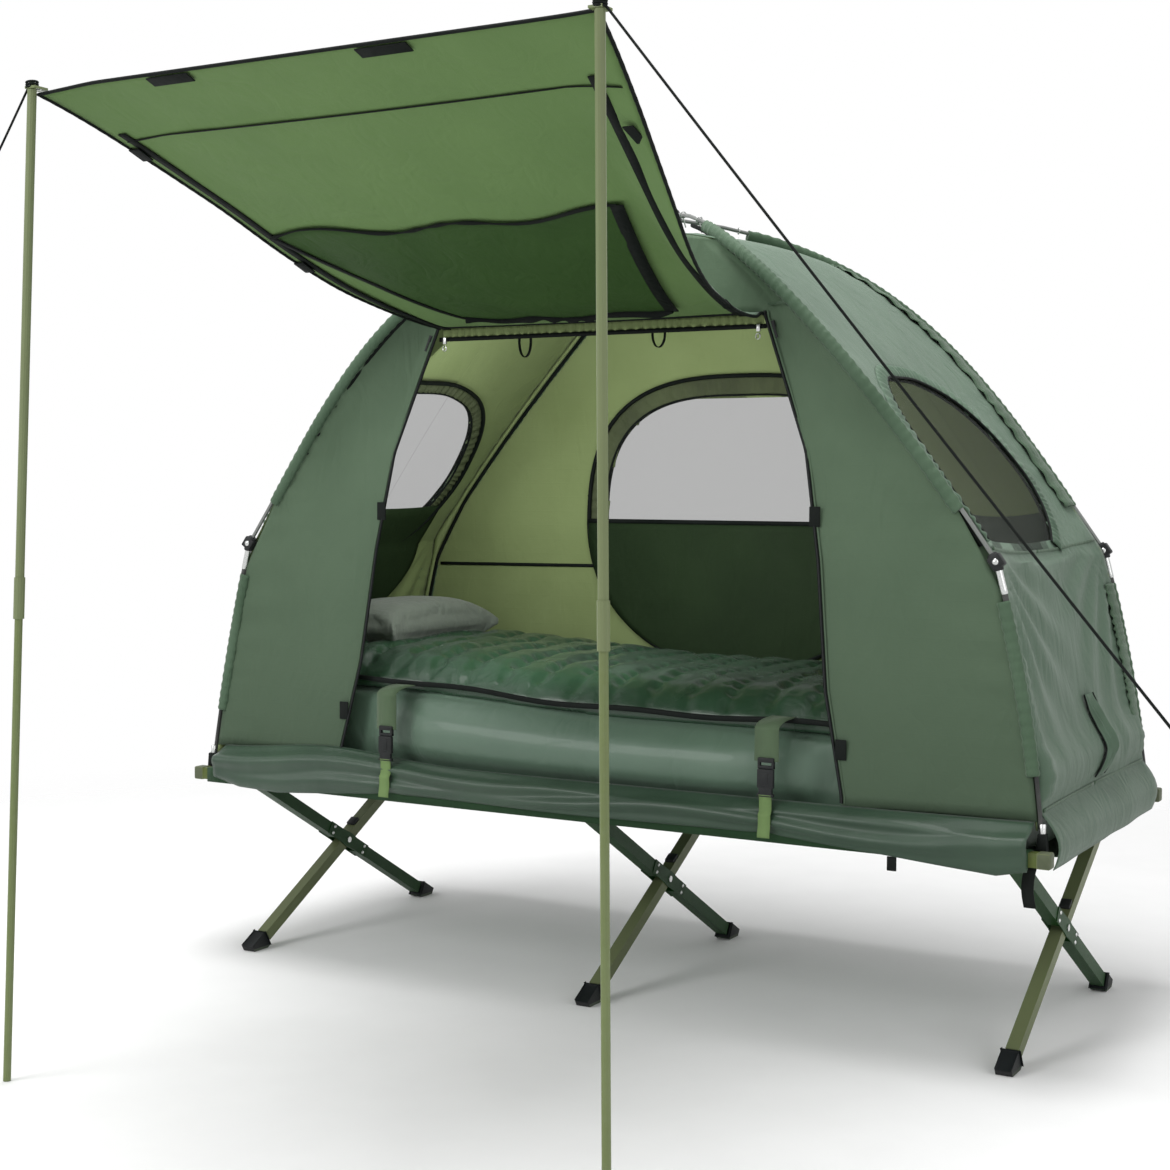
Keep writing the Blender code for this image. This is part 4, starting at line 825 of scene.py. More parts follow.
def ring(bm: bmesh.types.BMesh, centre: Vector, axis: Vector, radius: float, wire: float,
         steps: int = 24) -> None:
    """Add a ring of round wire about an axis.

    Args:
        bm: The shape to add it to.
        centre: Its middle.
        axis: The line it goes round.
        radius: Its radius.
        wire: Radius of the wire.
        steps: Number of faces round it.
    """
    turn = Vector((0, 0, 1)).rotation_difference(axis).to_matrix().to_4x4()
    lie = Matrix.Translation((radius, 0, 0)) @ Matrix.Rotation(math.pi / 2, 4, "X")
    section = bmesh.ops.create_circle(bm, segments=8, radius=wire, matrix=lie)["verts"]
    edges = list({edge for vert in section for edge in vert.link_edges})
    known = set(bm.verts) - set(section)
    bmesh.ops.spin(bm, geom=section + edges, cent=(0, 0, 0), axis=(0, 0, 1), angle=2 * math.pi, steps=steps,
                   use_merge=True)
    made = [vert for vert in bm.verts if vert not in known]
    bmesh.ops.transform(bm, matrix=Matrix.Translation(centre) @ turn, verts=made)


def side_of(value: float) -> int:
    """The sign of a value."""
    return 1 if value >= 0 else -1


@dataclass(frozen=True)
class TentLines:
    """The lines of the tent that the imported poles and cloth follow."""

    tip: tuple = (0.945, 0.386, 0.425)
    elbow: tuple = (0.850, 0.372, 0.925)
    bow_out: float = 0.022
    bow_in: float = 0.010
    upper_pull: tuple = (0.62, 0.36, 1.25)
    crown_pull: tuple = (0.36, 0.52, 1.60)
    hub_z: float = 1.630
    hub_radius: float = 0.028
    pole_gap: float = 0.0003
    cloth_inset: float = 0.0063
    elbow_inset: float = 0.0150
    wall_elbow_inset: float = 0.01815
    elbow_reach: float = 0.1
    foot_sag: float = 0.004
    elbow_sag: float = 0.030
    corner_share: float = 0.72
    roof_drop: float = 0.006
    roof_rise: float = 0.037
    roof_crown: float = 0.015
    peak_y: float = 0.296
    door_top_z: float = 1.385
    door_top_half: float = 0.375
    door_foot_z: float = 0.484
    door_foot_half: float = 0.575
    door_top_y: float = 0.322
    door_foot_y: float = 0.400
    wall_foot_z: float = 0.4705
    door_shares: tuple = ((0.0, 0.0), (0.215, 0.21), (0.482, 0.34), (0.709, 0.51), (1.0, 1.0))

    def lower_pole(self, share: float) -> Vector:
        """A point of the right rear lower pole, from its tip at 0 to the elbow at 1.

        Args:
            share: Place along it, from 0 to 1.

        Returns:
            The point.
        """
        foot, top = Vector(self.tip), Vector(self.elbow)
        bow = (foot + top) / 2 + Vector((self.bow_out, -self.bow_in, 0))
        return lerp(lerp(foot, bow, share), lerp(bow, top, share), share)

    def upper_pole(self, share: float) -> Vector:
        """A point of the right rear upper pole, from the elbow at 0 to the hub at 1.

        Args:
            share: Place along it, from 0 to 1.

        Returns:
            The point.
        """
        hub, pull = Vector((0, 0, self.hub_z)), Vector(self.crown_pull)
        end = hub + (pull - hub).normalized() * (self.hub_radius + self.pole_gap)
        points = [Vector(self.elbow), Vector(self.upper_pull), pull, end]
        while len(points) > 1:
            points = [lerp(a, b, share) for a, b in zip(points, points[1:])]
        return points[0]

    def arch(self, share: float) -> Vector:
        """A point of the right rear pole: 0 to 1 is the lower pole, 1 to 2 the upper one."""
        return self.lower_pole(share) if share <= 1 else self.upper_pole(share - 1)

    def inward(self, share: float) -> Vector:
        """The direction from the pole into the tent, square to the pole and to Y."""
        run = self.arch(min(share + 0.01, 2)) - self.arch(max(share - 0.01, 0))
        return Vector((-run.z, 0, run.x)).normalized()

    def near_elbow(self, share: float) -> float:
        """How much the cloth stands back for the knuckle."""
        return max(0.0, 1.0 - abs(share - 1) / self.elbow_reach)

    def wall_edge(self, share: float) -> Vector:
        """Where a wall meets the pole's sleeve."""
        inset = lerp(self.cloth_inset, self.wall_elbow_inset, self.near_elbow(share))
        return self.arch(share) + self.inward(share) * inset

    def wall_edge_at(self, height: float) -> Vector:
        """The wall's edge at a height.

        Args:
            height: Height above the ground.

        Returns:
            The point.
        """
        low, high = 0.0, 1 + self.corner_share
        for _ in range(30):
            middle = (low + high) / 2
            if self.wall_edge(middle).z < height:
                low = middle
            else:
                high = middle
        return self.wall_edge(high)

    def door_half(self, height: float) -> float:
        """Half width of the door at a height."""
        share = clamp((height - self.door_foot_z) / (self.door_top_z - self.door_foot_z))
        return lerp(self.door_foot_half, self.door_top_half, along(self.door_shares, share))

    def roof_edge(self, x: float) -> float:
        """Height of the roof's front and rear edges between the roof corners.

        Args:
            x: Place along the bed.

        Returns:
            The value.
        """
        corner = self.arch(1 + self.corner_share)
        share = min(abs(x) / corner.x, 1.0)
        return corner.z - self.roof_drop + self.roof_rise * (1 - share * share)

    def door_depth(self, height: float) -> float:
        """How far forward the front wall stands beside and above the door.

        Args:
            height: Height above the ground.

        Returns:
            The value.
        """
        if height <= self.door_top_z:
            share = (self.door_top_z - height) / (self.door_top_z - self.door_foot_z)
            return lerp(self.door_top_y, self.door_foot_y, share)
        share = min((height - self.door_top_z) / (self.roof_edge(0) - self.door_top_z), 1.0)
        return lerp(self.door_top_y, self.peak_y, share)

    def wall_y(self, x: float, height: float, side_y: int, edge: Optional[Vector] = None) -> float:
        """Distance of the front or rear wall from the middle of the bed, signed.

        Args:
            x: Place along the bed.
            height: Height above the ground.
            side_y: -1 at the front, 1 at the rear.
            edge: The wall's edge at that height, if known.

        Returns:
            The value.
        """
        edge = edge or self.wall_edge_at(height)
        if side_y > 0:
            return edge.y
        flat = min(self.door_half(height) + 0.030, edge.x * 0.88)
        share = clamp((abs(x) - flat) / (edge.x - flat))
        return -lerp(self.door_depth(height), edge.y, share)

    def wall_spot(self, x: float, height: float, side_y: int, lift: float = 0.0) -> Vector:
        """A point on a wall, raised towards the outside by lift."""
        return Vector((x, self.wall_y(x, height, side_y) + side_y * lift, height))

    def strip(self, share: float, v: float, side_x: int) -> Vector:
        """A point of the cloth between the arches: share runs up the pole, v from front to rear.

        Args:
            share: Place up the pole, from 0 to 2.
            v: Place across the tent, from -1 at the front to 1 at the rear.
            side_x: -1 on the left, 1 on the right.

        Returns:
            The point.
        """
        inset = lerp(self.cloth_inset, self.elbow_inset, self.near_elbow(share))
        pole = self.arch(share)
        if share <= 1:
            sag = lerp(self.foot_sag, self.elbow_sag, share)
        else:
            sag = lerp(self.elbow_sag, -self.roof_crown, ((share - 1) / self.corner_share) ** 2)
        drop = self.roof_drop * (max(share - 1, 0.0) / self.corner_share) ** 4
        point = Vector((pole.x, v * (pole.y - inset), pole.z - drop)) + self.inward(share) * sag * (1 - v * v)
        return mirrored(point, side_x)

    def roof(self, place: float, v: float) -> Vector:
        """A point of the roof: place is 0 at its middle, 1 at the roof corner, then runs down the poles.

        Args:
            place: Place along it.
            v: Place across the tent, from -1 at the front to 1 at the rear.

        Returns:
            The point.
        """
        side_x = side_of(place)
        reach = abs(place)
        if reach > 1:
            return self.strip(2 + self.corner_share - reach, v, side_x)
        corner = self.arch(1 + self.corner_share)
        depth = lerp(self.peak_y + 0.0006, corner.y - self.cloth_inset, reach ** 4)
        return Vector((corner.x * reach * side_x, v * depth,
                       self.roof_edge(corner.x * reach) + self.roof_crown * (1 - v * v)))


LINES = TentLines()


def oval(angle: float, half_a: float, half_b: float) -> tuple:
    """A point of a window's outline, squarer above than below.

    Args:
        angle: Where to read it, in radians.
        half_a: Half its width.
        half_b: Half its height.

    Returns:
        The point's place across and up.
    """
    across, up = math.cos(angle), math.sin(angle)
    power = UPPER_POWER if up > 0 else LOWER_POWER
    stretch = (abs(across) ** power + abs(up) ** power) ** (-1 / power)
    return half_a * across * stretch, half_b * up * stretch


def in_oval(across: float, up: float) -> bool:
    """Tell whether a place, as shares of the half sizes, lies in that outline."""
    power = UPPER_POWER if up > 0 else LOWER_POWER
    return abs(across) ** power + abs(up) ** power < 1.0


def mirrored(point: Vector, side_x: int) -> Vector:
    """Carry a point of the right side to either side."""
    return Vector((point.x * side_x, point.y, point.z))


def hidden(piece: bpy.types.Object, *nodes: str) -> bpy.types.Object:
    """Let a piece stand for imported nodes, which are hidden."""
    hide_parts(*nodes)
    return piece


@dataclass
class Studio:
    """Camera, soft lights, white surroundings and floor."""

    place: tuple = (1.8506, -3.151825, 1.0517)
    yaw: float = -0.521
    pitch: float = -0.0523
    roll: float = 0.0051
    lens: float = 57.08
    sensor: float = 36.0
    ambient: float = 0.62
    aim: tuple = (0.0, 0.4, 0.8)
    lamps: tuple = (("top", (-0.3, -0.2, 5.0), 3.2, 190.0), ("front_left", (-2.6, -4.6, 3.4), 2.6, 130.0),
                    ("right", (4.6, -1.6, 2.4), 3.0, 40.0), ("inner", (-0.12, 0.24, 1.10), 0.90, 4.6))
    inner_aim: tuple = (-0.24, 0.80, 0.86)

    def build(self) -> None:
        """Set up everything but the object."""
        self.add_camera()
        self.add_world()
        self.add_lights()
        self.add_floor()
        bpy.context.scene.view_settings.view_transform = "Standard"

    def add_camera(self) -> None:
        """Stand the camera where the photograph was taken from."""
        ahead = Vector((math.sin(self.yaw) * math.cos(self.pitch), math.cos(self.yaw) * math.cos(self.pitch),
                        math.sin(self.pitch)))
        level = Vector((math.cos(self.yaw), -math.sin(self.yaw), 0))
        up = level.cross(ahead)
        right = level * math.cos(self.roll) + up * math.sin(self.roll)
        top = up * math.cos(self.roll) - level * math.sin(self.roll)
        data = bpy.data.cameras.new("camera")
        data.lens = self.lens
        data.sensor_width = self.sensor
        camera = bpy.data.objects.new("camera", data)
        turn = Matrix((right, top, -ahead)).transposed().to_4x4()
        camera.matrix_world = Matrix.Translation(self.place) @ turn
        bpy.context.scene.collection.objects.link(camera)
        bpy.context.scene.camera = camera

    def add_world(self) -> None:
        """Plain white for the camera and for gloss, and a soft level of light for the rest."""
        world = bpy.data.worlds.new("studio")
        world.use_nodes = True
        bpy.context.scene.world = world
        draft = NodeDraft(world.node_tree)
        shown = world.node_tree.nodes["Background"]
        shown.inputs["Color"].default_value = (1, 1, 1, 1)
        path = draft.add("ShaderNodeLightPath").outputs
        seen = draft.math("MAXIMUM", path["Is Camera Ray"], path["Is Transmission Ray"])
        seen = draft.math("MAXIMUM", seen, path["Is Glossy Ray"])
        level = draft.span(seen, 0.0, 1.0, self.ambient, 1.0)
        draft.tree.links.new(level, shown.inputs["Strength"])

    def add_lights(self) -> None:
        """Large soft lamps from above, the front left and the right, and a weak one in the tent."""
        for name, place, size, power in self.lamps:
            data = bpy.data.lights.new(name, "AREA")
            data.shape = "DISK"
            data.size = size
            data.energy = power
            lamp = bpy.data.objects.new(name, data)
            lamp.location = place
            aim = Vector(self.inner_aim if name == "inner" else self.aim) - Vector(place)
            lamp.rotation_euler = aim.to_track_quat("-Z", "Y").to_euler()
            lamp.visible_camera = False
            lamp.visible_glossy = name != "inner"
            bpy.context.scene.collection.objects.link(lamp)

    def add_floor(self) -> None:
        """A plain pale floor that keeps the shadow."""
        bm = bmesh.new()
        bmesh.ops.create_grid(bm, x_segments=8, y_segments=8, size=30.0)
        bmesh.ops.translate(bm, vec=(0, 0, -0.0005), verts=bm.verts)
        floor = make_piece("floor", bm, (PALE_FLOOR,), None)


@dataclass
class GuyRopes:
    """Guy ropes from the tops of the awning poles, each ending in a knot and a loop."""

    radius: float = 0.002
    pole_top_x: float = 0.553
    pole_radius: float = 0.008
    pole_y: float = 1.283
    top_z: float = 1.7245
    lengths: tuple = (0.170, 1.290)
    drops: tuple = (1.386, 1.213)
    knot_radius: float = 0.005
    knot_length: float = 0.014
    loop_radius: float = 0.012
    sag_share: float = 0.004
    steps: int = 22

    def build(self) -> None:
        """Make both ropes."""
        for (side, side_x), length, drop in zip(SIDES, self.lengths, self.drops):
            self.rope(side, side_x, length, drop)

    def rope(self, side: str, side_x: int, length: float, drop: float) -> None:
        """Make one rope with its loop, and the hitch that ties it to the pole.

        Args:
            side: The side's sign or name.
            side_x: -1 on the left, 1 on the right.
            length: Its length.
            drop: How far it falls for each metre outward.
        """
        run = Vector((side_x, 0, -drop)).normalized()
        outer = self.pole_top_x + self.pole_radius + 0.0003 + self.radius * abs(run.z)
        start = Vector((side_x * outer, -self.pole_y, self.top_z))
        body = side + "_pole"
        curve = bpy.data.curves.new(side + "_rope", "CURVE")
        curve.dimensions = "3D"
        curve.bevel_depth = self.radius
        curve.bevel_resolution = 3
        curve.use_fill_caps = True
        spline = curve.splines.new("POLY")
        spline.points.add(self.steps)
        for index, point in enumerate(spline.points):
            share = index / self.steps
            sag = Vector((0, 0, -4 * length * self.sag_share * share * (1 - share)))
            point.co = (*(start + run * length * share + sag + ORIGIN), 1.0)
        curve.materials.append(ROPE_CORD.material())
        rope = bpy.data.objects.new(side + "_rope", curve)
        bpy.context.scene.collection.objects.link(rope)
        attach(rope, body)
        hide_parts(side + "_guy_rope")
        bm = bmesh.new()
        knot = start + run * length
        end = knot + run * self.knot_length
        profile = ((0.0, 0.5), (0.15, 0.95), (0.4, 1.0), (0.6, 0.85), (0.8, 1.0), (1.0, 0.5))
        sweep(bm, [(lerp(knot, end, s), self.knot_radius * r) for s, r in profile], 12)
        ring(bm, end + run * self.loop_radius, Vector((0, 1, 0)), self.loop_radius, self.radius)
        loop = solid_piece(side + "_rope_loop", bm, ROPE_CORD, body)
        bm = bmesh.new()
        for turn in range(3):
            centre = Vector((side_x * self.pole_top_x, -self.pole_y, self.top_z + 0.001 + 0.0042 * turn))
            ring(bm, centre, Vector((0.1 * side_x, 0, 1)), self.pole_radius + self.radius * 0.7, self.radius,
                 20)
        solid_piece(side + "_rope_hitch", bm, ROPE_CORD, body)


@dataclass
class BedFrame:
    """Finishes and fittings of the rails, crossed legs and boots."""

    leg_places: tuple = (("left", -0.873), ("middle", 0.0), ("right", 0.873))
    foot_y: float = 0.345
    crossing_z: float = 0.199
    leg_size: float = 0.025
    boot_size: float = 0.031
    boot_length: float = 0.043
    bracket_half: float = 0.083
    bracket_wall: float = 0.0025
    rivet_inset: float = 0.016
    rivet_side: float = 0.008
    rivet_radius: float = 0.0042
    rail_y: float = 0.410
    rail_z: float = 0.409
    rail_end: float = 0.969
    cap_length: float = 0.024
    cap_half: float = 0.0142

    def build(self) -> None:
        """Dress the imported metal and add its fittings."""
        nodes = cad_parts
        for name, node in nodes.items():
            finish = None
            if name in ("front_rail", "rear_rail") or (name.startswith("long_leg") and "boot" not in name):
                finish = OLIVE_PAINT
            elif name.startswith("split_leg") and "boot" not in name:
                finish = DARK_PAINT
            elif name.startswith("crossing_pin"):
                finish = BRIGHT_STEEL
            if finish:
                repaint(node, finish)
        self.rail_caps()
        for name, place in self.leg_places:
            self.boots(name, place)
            self.rivets(name, place)
            self.leg_stop(name, place)

    def leg_line(self, side: int) -> tuple:
        """Direction of a leg rising towards side, and square to it, as points in Y and Z.

        Args:
            side: The sign of the side that it rises towards.

        Returns:
            The direction and the square one.
        """
        slope = math.atan2(self.crossing_z, self.foot_y)
        run = Vector((0, side * math.cos(slope), math.sin(slope)))
        return run, Vector((0, -run.z, run.y))

    def rail_caps(self) -> None:
        """Rounded plastic caps on the rails' ends."""
        for name, side, body in (("front", -1, "front_frame"), ("rear", 1, "rear_frame")):
            for side_name, side_x in SIDES:
                bm = bmesh.new()
                inner = side_x * (self.rail_end - self.cap_length)
                outer = side_x * (self.rail_end + 0.0005)
                block(bm,
                      (min(inner, outer), side * self.rail_y - self.cap_half, self.rail_z - self.cap_half),
                      (max(inner, outer), side * self.rail_y + self.cap_half, self.rail_z + self.cap_half),
                      0.0035)
                solid_piece(f"{name}_{side_name}_rail_cap", bm, CAP_PLASTIC, body)

    def boots(self, name: str, place: float) -> None:
        """Moulded boots with a lighter sole, cut flat on the ground.

        Args:
            name: The leg's name.
            place: Where the leg stands along the bed.
        """
        for kind, side, body in (("long", 1, "rear_frame"), ("split", -1, "front_frame")):
            run, square = self.leg_line(side)
            foot = Vector((place, -side * self.foot_y, 0))
            bm = bmesh.new()
            block(bm, (-0.5, -0.5, -0.5), (0.5, 0.5, 0.5))
            reach = self.boot_length * 1.7
            turn = Matrix((ALONG_X, square, run)).transposed().to_4x4()
            size = Matrix.Diagonal((self.boot_size + 0.001, self.boot_size + 0.001, reach, 1))
            middle = foot + run * (self.boot_length + 0.001 - reach / 2)
            bm.transform(Matrix.Translation(middle) @ turn @ size)
            bmesh.ops.bevel(bm, geom=bm.edges[:], offset=0.0035, segments=2, profile=0.5, affect="EDGES",
                            material=-1)
            for spot, way, cut in (((0, 0, 0.006), (0, 0, 1), False), ((0, 0, 0.0002), (0, 0, 1), True),
                                   (foot - run * 0.006, run, True)):
                bmesh.ops.bisect_plane(bm, geom=bm.verts[:] + bm.edges[:] + bm.faces[:], plane_co=spot,
                                       plane_no=way, clear_inner=cut)
                if cut:
                    bmesh.ops.contextual_create(bm, geom=[edge for edge in bm.edges if edge.is_boundary])
            bmesh.ops.recalc_face_normals(bm, faces=bm.faces)
            for face in bm.faces:
                if face.calc_center_median().z < 0.0061:
                    face.material_index = 1
            boot = make_piece(f"{kind}_boot_{name}", bm, (BLACK_MOULDED, SOLE_RUBBER), body)
            hidden(boot, f"{kind}_leg_boot_{name}")

    def rivets(self, name: str, place: float) -> None:
        """Bright rivet heads on both plates of a bracket.

        Args:
            name: The leg's name.
            place: Where the leg stands along the bed.
        """
        run, square = self.leg_line(-1)
        bm = bmesh.new()
        face = self.leg_size / 2 + self.bracket_wall + 0.0006
        for end in (-1, 1):
            for shift in (-1, 1):
                spot = run * end * (self.bracket_half - self.rivet_inset) + square * shift * self.rivet_side
                for side_x in (-1, 1):
                    dome(bm, Vector((place + side_x * face, 0, self.crossing_z)) + spot,
                         Vector((side_x, 0, 0)),
                         self.rivet_radius, 0.0022)
        solid_piece("bracket_rivets_" + name, bm, BRIGHT_STEEL, "front_frame")

    def leg_stop(self, name: str, place: float) -> None:
        """The small stop block on a long leg above the crossing.

        Args:
            name: The leg's name.
            place: Where the leg stands along the bed.
        """
        run, square = self.leg_line(1)
        spot = Vector((place, 0, self.crossing_z)) + run * 0.050 + square * 0.0155
        bm = bmesh.new()
        block(bm, (-0.011, -0.004, -0.012), (0.011, 0.004, 0.012), 0.002)
        turn = Matrix((ALONG_X, square, run)).transposed().to_4x4()
        bm.transform(Matrix.Translation(spot) @ turn)
        solid_piece("leg_stop_" + name, bm, BLACK_MOULDED, "rear_frame")


def repaint(node: bpy.types.Object, finish: Finish) -> None:
    """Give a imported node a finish.

    Args:
        node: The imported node.
        finish: Its finish.
    """
    for index in range(max(len(node.material_slots), 1)):
        if len(node.data.materials) <= index:
            node.data.materials.append(finish.material())
        else:
            node.data.materials[index] = finish.material()


@dataclass
class TentPoles:
    """Poles, knuckles, ferrules, sleeves, hooks and pockets of both arches."""

    knuckle_half: float = 0.0125
    knuckle_depth: float = 0.0095
    ferrule_radius: float = 0.0064
    lower_sleeve: tuple = (0.25, 0.862)
    upper_sleeve_start: float = 1.095
    upper_sleeve_ends: tuple = (1.80, 1.90)
    sleeve_width: float = 0.0125
    sleeve_depth: float = 0.0085
    sleeve_shift: float = 0.0055
    gather: float = 0.0009
    gather_length: float = 0.019

    def build(self) -> None:
        """Dress both arches."""
        for name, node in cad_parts.items():
            if name.endswith("lower_pole"):
                repaint(node, DARK_POLE)
            elif name.endswith("upper_pole"):
                repaint(node, GREY_POLE)
            elif name == "top_hub":
                repaint(node, BLACK_MOULDED)
        for (arch_name, side_y), sleeve_end in zip(HALVES, self.upper_sleeve_ends):
            body = arch_name + "_arch"
            for side_name, side_x in SIDES:
                name = f"{arch_name}_{side_name}"
                flip = Vector((side_x, side_y, 1))
                self.knuckle(name, flip, body)
                self.ferrule(name, flip, body)
                self.sleeve(name + "_lower_sleeve", self.lower_sleeve, flip, body)
                self.sleeve(name + "_upper_sleeve", (self.upper_sleeve_start, sleeve_end), flip, body)
                self.pocket(name, flip, body)
                self.hooks(name, sleeve_end, flip, body)

    @staticmethod
    def spot(share: float, flip: Vector) -> Vector:
        """A point of one of the four poles."""
        return LINES.arch(share) * flip

    def knuckle(self, name: str, flip: Vector, body: str) -> None:
        """A moulded knuckle with a riveted boss on each face and a collar towards each pole.

        Args:
            name: The piece's name, or its first part.
            flip: Signs that carry the right rear pole to this one.
            body: The body that it rides on.
        """
        centre = self.spot(1.0, flip)
        down = (self.spot(0.95, flip) - centre).normalized()
        up = (self.spot(1.05, flip) - centre).normalized()
        bm = bmesh.new()
        half = self.knuckle_half
        turn = Matrix((ALONG_Y.cross(up).normalized(), ALONG_Y, up)).transposed().to_4x4()
        block(bm, (-half, -self.knuckle_depth, -half), (half, self.knuckle_depth, half), 0.003,
              Matrix.Translation(centre) @ turn)
        for run in (down, up):
            collar = ((0.008, 0.0095), (0.0145, 0.0095), (0.0165, 0.008))
            sweep(bm, [(centre + run * reach, radius) for reach, radius in collar], 16)
        hidden(solid_piece(name + "_knuckle", bm, BLACK_MOULDED, body), name + "_elbow")
        bm = bmesh.new()
        for side in (-1, 1):
            dome(bm, centre + Vector((0, side * self.knuckle_depth, 0)), Vector((0, side, 0)), 0.006, 0.0024)
        solid_piece(name + "_knuckle_rivet", bm, BRIGHT_STEEL, body)

    def ferrule(self, name: str, flip: Vector, body: str) -> None:
        """A bright ferrule on the lower pole below the knuckle.

        Args:
            name: The piece's name, or its first part.
            flip: Signs that carry the right rear pole to this one.
            body: The body that it rides on.
        """
        stations = [(self.spot(share, flip), self.ferrule_radius) for share in spaced(0.972, 0.888, 6)]
        stations.append((self.spot(0.885, flip), self.ferrule_radius - 0.0012))
        bar(name + "_ferrule", stations, BRIGHT_STEEL, body, 14)

    def sleeve(self, name: str, shares: tuple, flip: Vector, body: str) -> None:
        """A gathered cloth sleeve round a pole, set off towards the wall.

        Args:
            name: The piece's name, or its first part.
            shares: Where it starts and ends on the pole.
            flip: Signs that carry the right rear pole to this one.
            body: The body that it rides on.
        """
        start, end = shares
        length = sum((self.spot(lerp(start, end, (k + 1) / 20), flip)
                      - self.spot(lerp(start, end, k / 20), flip)).length for k in range(20))
        steps = max(int(length / (self.gather_length / 4)), 12)
        stations = []
        for step in range(steps + 1):
            share = lerp(start, end, step / steps)
            run = step / steps * length
            phase = 2 * math.pi * run / self.gather_length + 1.5 * math.sin(run * 31.0)
            ripple = self.gather * math.sin(phase)
            ripple -= 0.0012 * (bump_at(step / steps, 0.0, 0.01) + bump_at(step / steps, 1.0, 0.01))
            centre = (LINES.arch(share) + LINES.inward(share) * self.sleeve_shift) * flip
            stations.append((centre, (self.sleeve_width + ripple, self.sleeve_depth + ripple * 0.6)))
        bar(name, stations, SLEEVE_CLOTH, body, 14, 80.0)

    def pocket(self, name: str, flip: Vector, body: str) -> None:
        """A folded webbing pocket over the rail's end that takes the pole's tip.

        Args:
            name: The piece's name, or its first part.
            flip: Signs that carry the right rear pole to this one.
            body: The body that it rides on.
        """
        bm = bmesh.new()
        low, high = Vector((0.9335, 0.3795, 0.404)), Vector((0.9565, 0.3955, 0.4515))
        made = block(bm, low, high, 0.002)
        for vert in made:
            if vert.co.z > 0.44:
                vert.co.x = lerp(vert.co.x, 0.945, 0.35)
        bm.transform(Matrix.Diagonal((flip.x, flip.y, 1, 1)))
        hidden(solid_piece(name + "_tip_pocket", bm, BLACK_TAPE, body), name + "_pocket")
        tip = self.spot(0.015, flip)
        stations = [(tip + Vector((0, 0, z)), r) for z,
                    r in ((0.012, 0.0062), (0.034, 0.0062), (0.036, 0.005))]
        bar(name + "_tip_ferrule", stations, BRIGHT_STEEL, body, 12)

    def hooks(self, name: str, sleeve_end: float, flip: Vector, body: str) -> None:
        """Bright hooks that hold the roof to the bare top of the pole.

        Args:
            name: The piece's name, or its first part.
            sleeve_end: Where the upper sleeve ends.
            flip: Signs that carry the right rear pole to this one.
            body: The body that it rides on.
        """
        bm = bmesh.new()
        for share in (lerp(sleeve_end, 2.0, 0.15), lerp(sleeve_end, 2.0, 0.55)):
            place = self.spot(share, flip)
            run = (self.spot(share + 0.01, flip) - place).normalized()
            ring(bm, place, run, 0.0062, 0.0014, 16)
            drop = [(place + Vector((0, -flip.y * 0.004 * k, -0.0062 - 0.006 * k)), 0.0014) for k in range(4)]
            sweep(bm, drop, 8)
        solid_piece(name + "_hooks", bm, BRIGHT_STEEL, body)


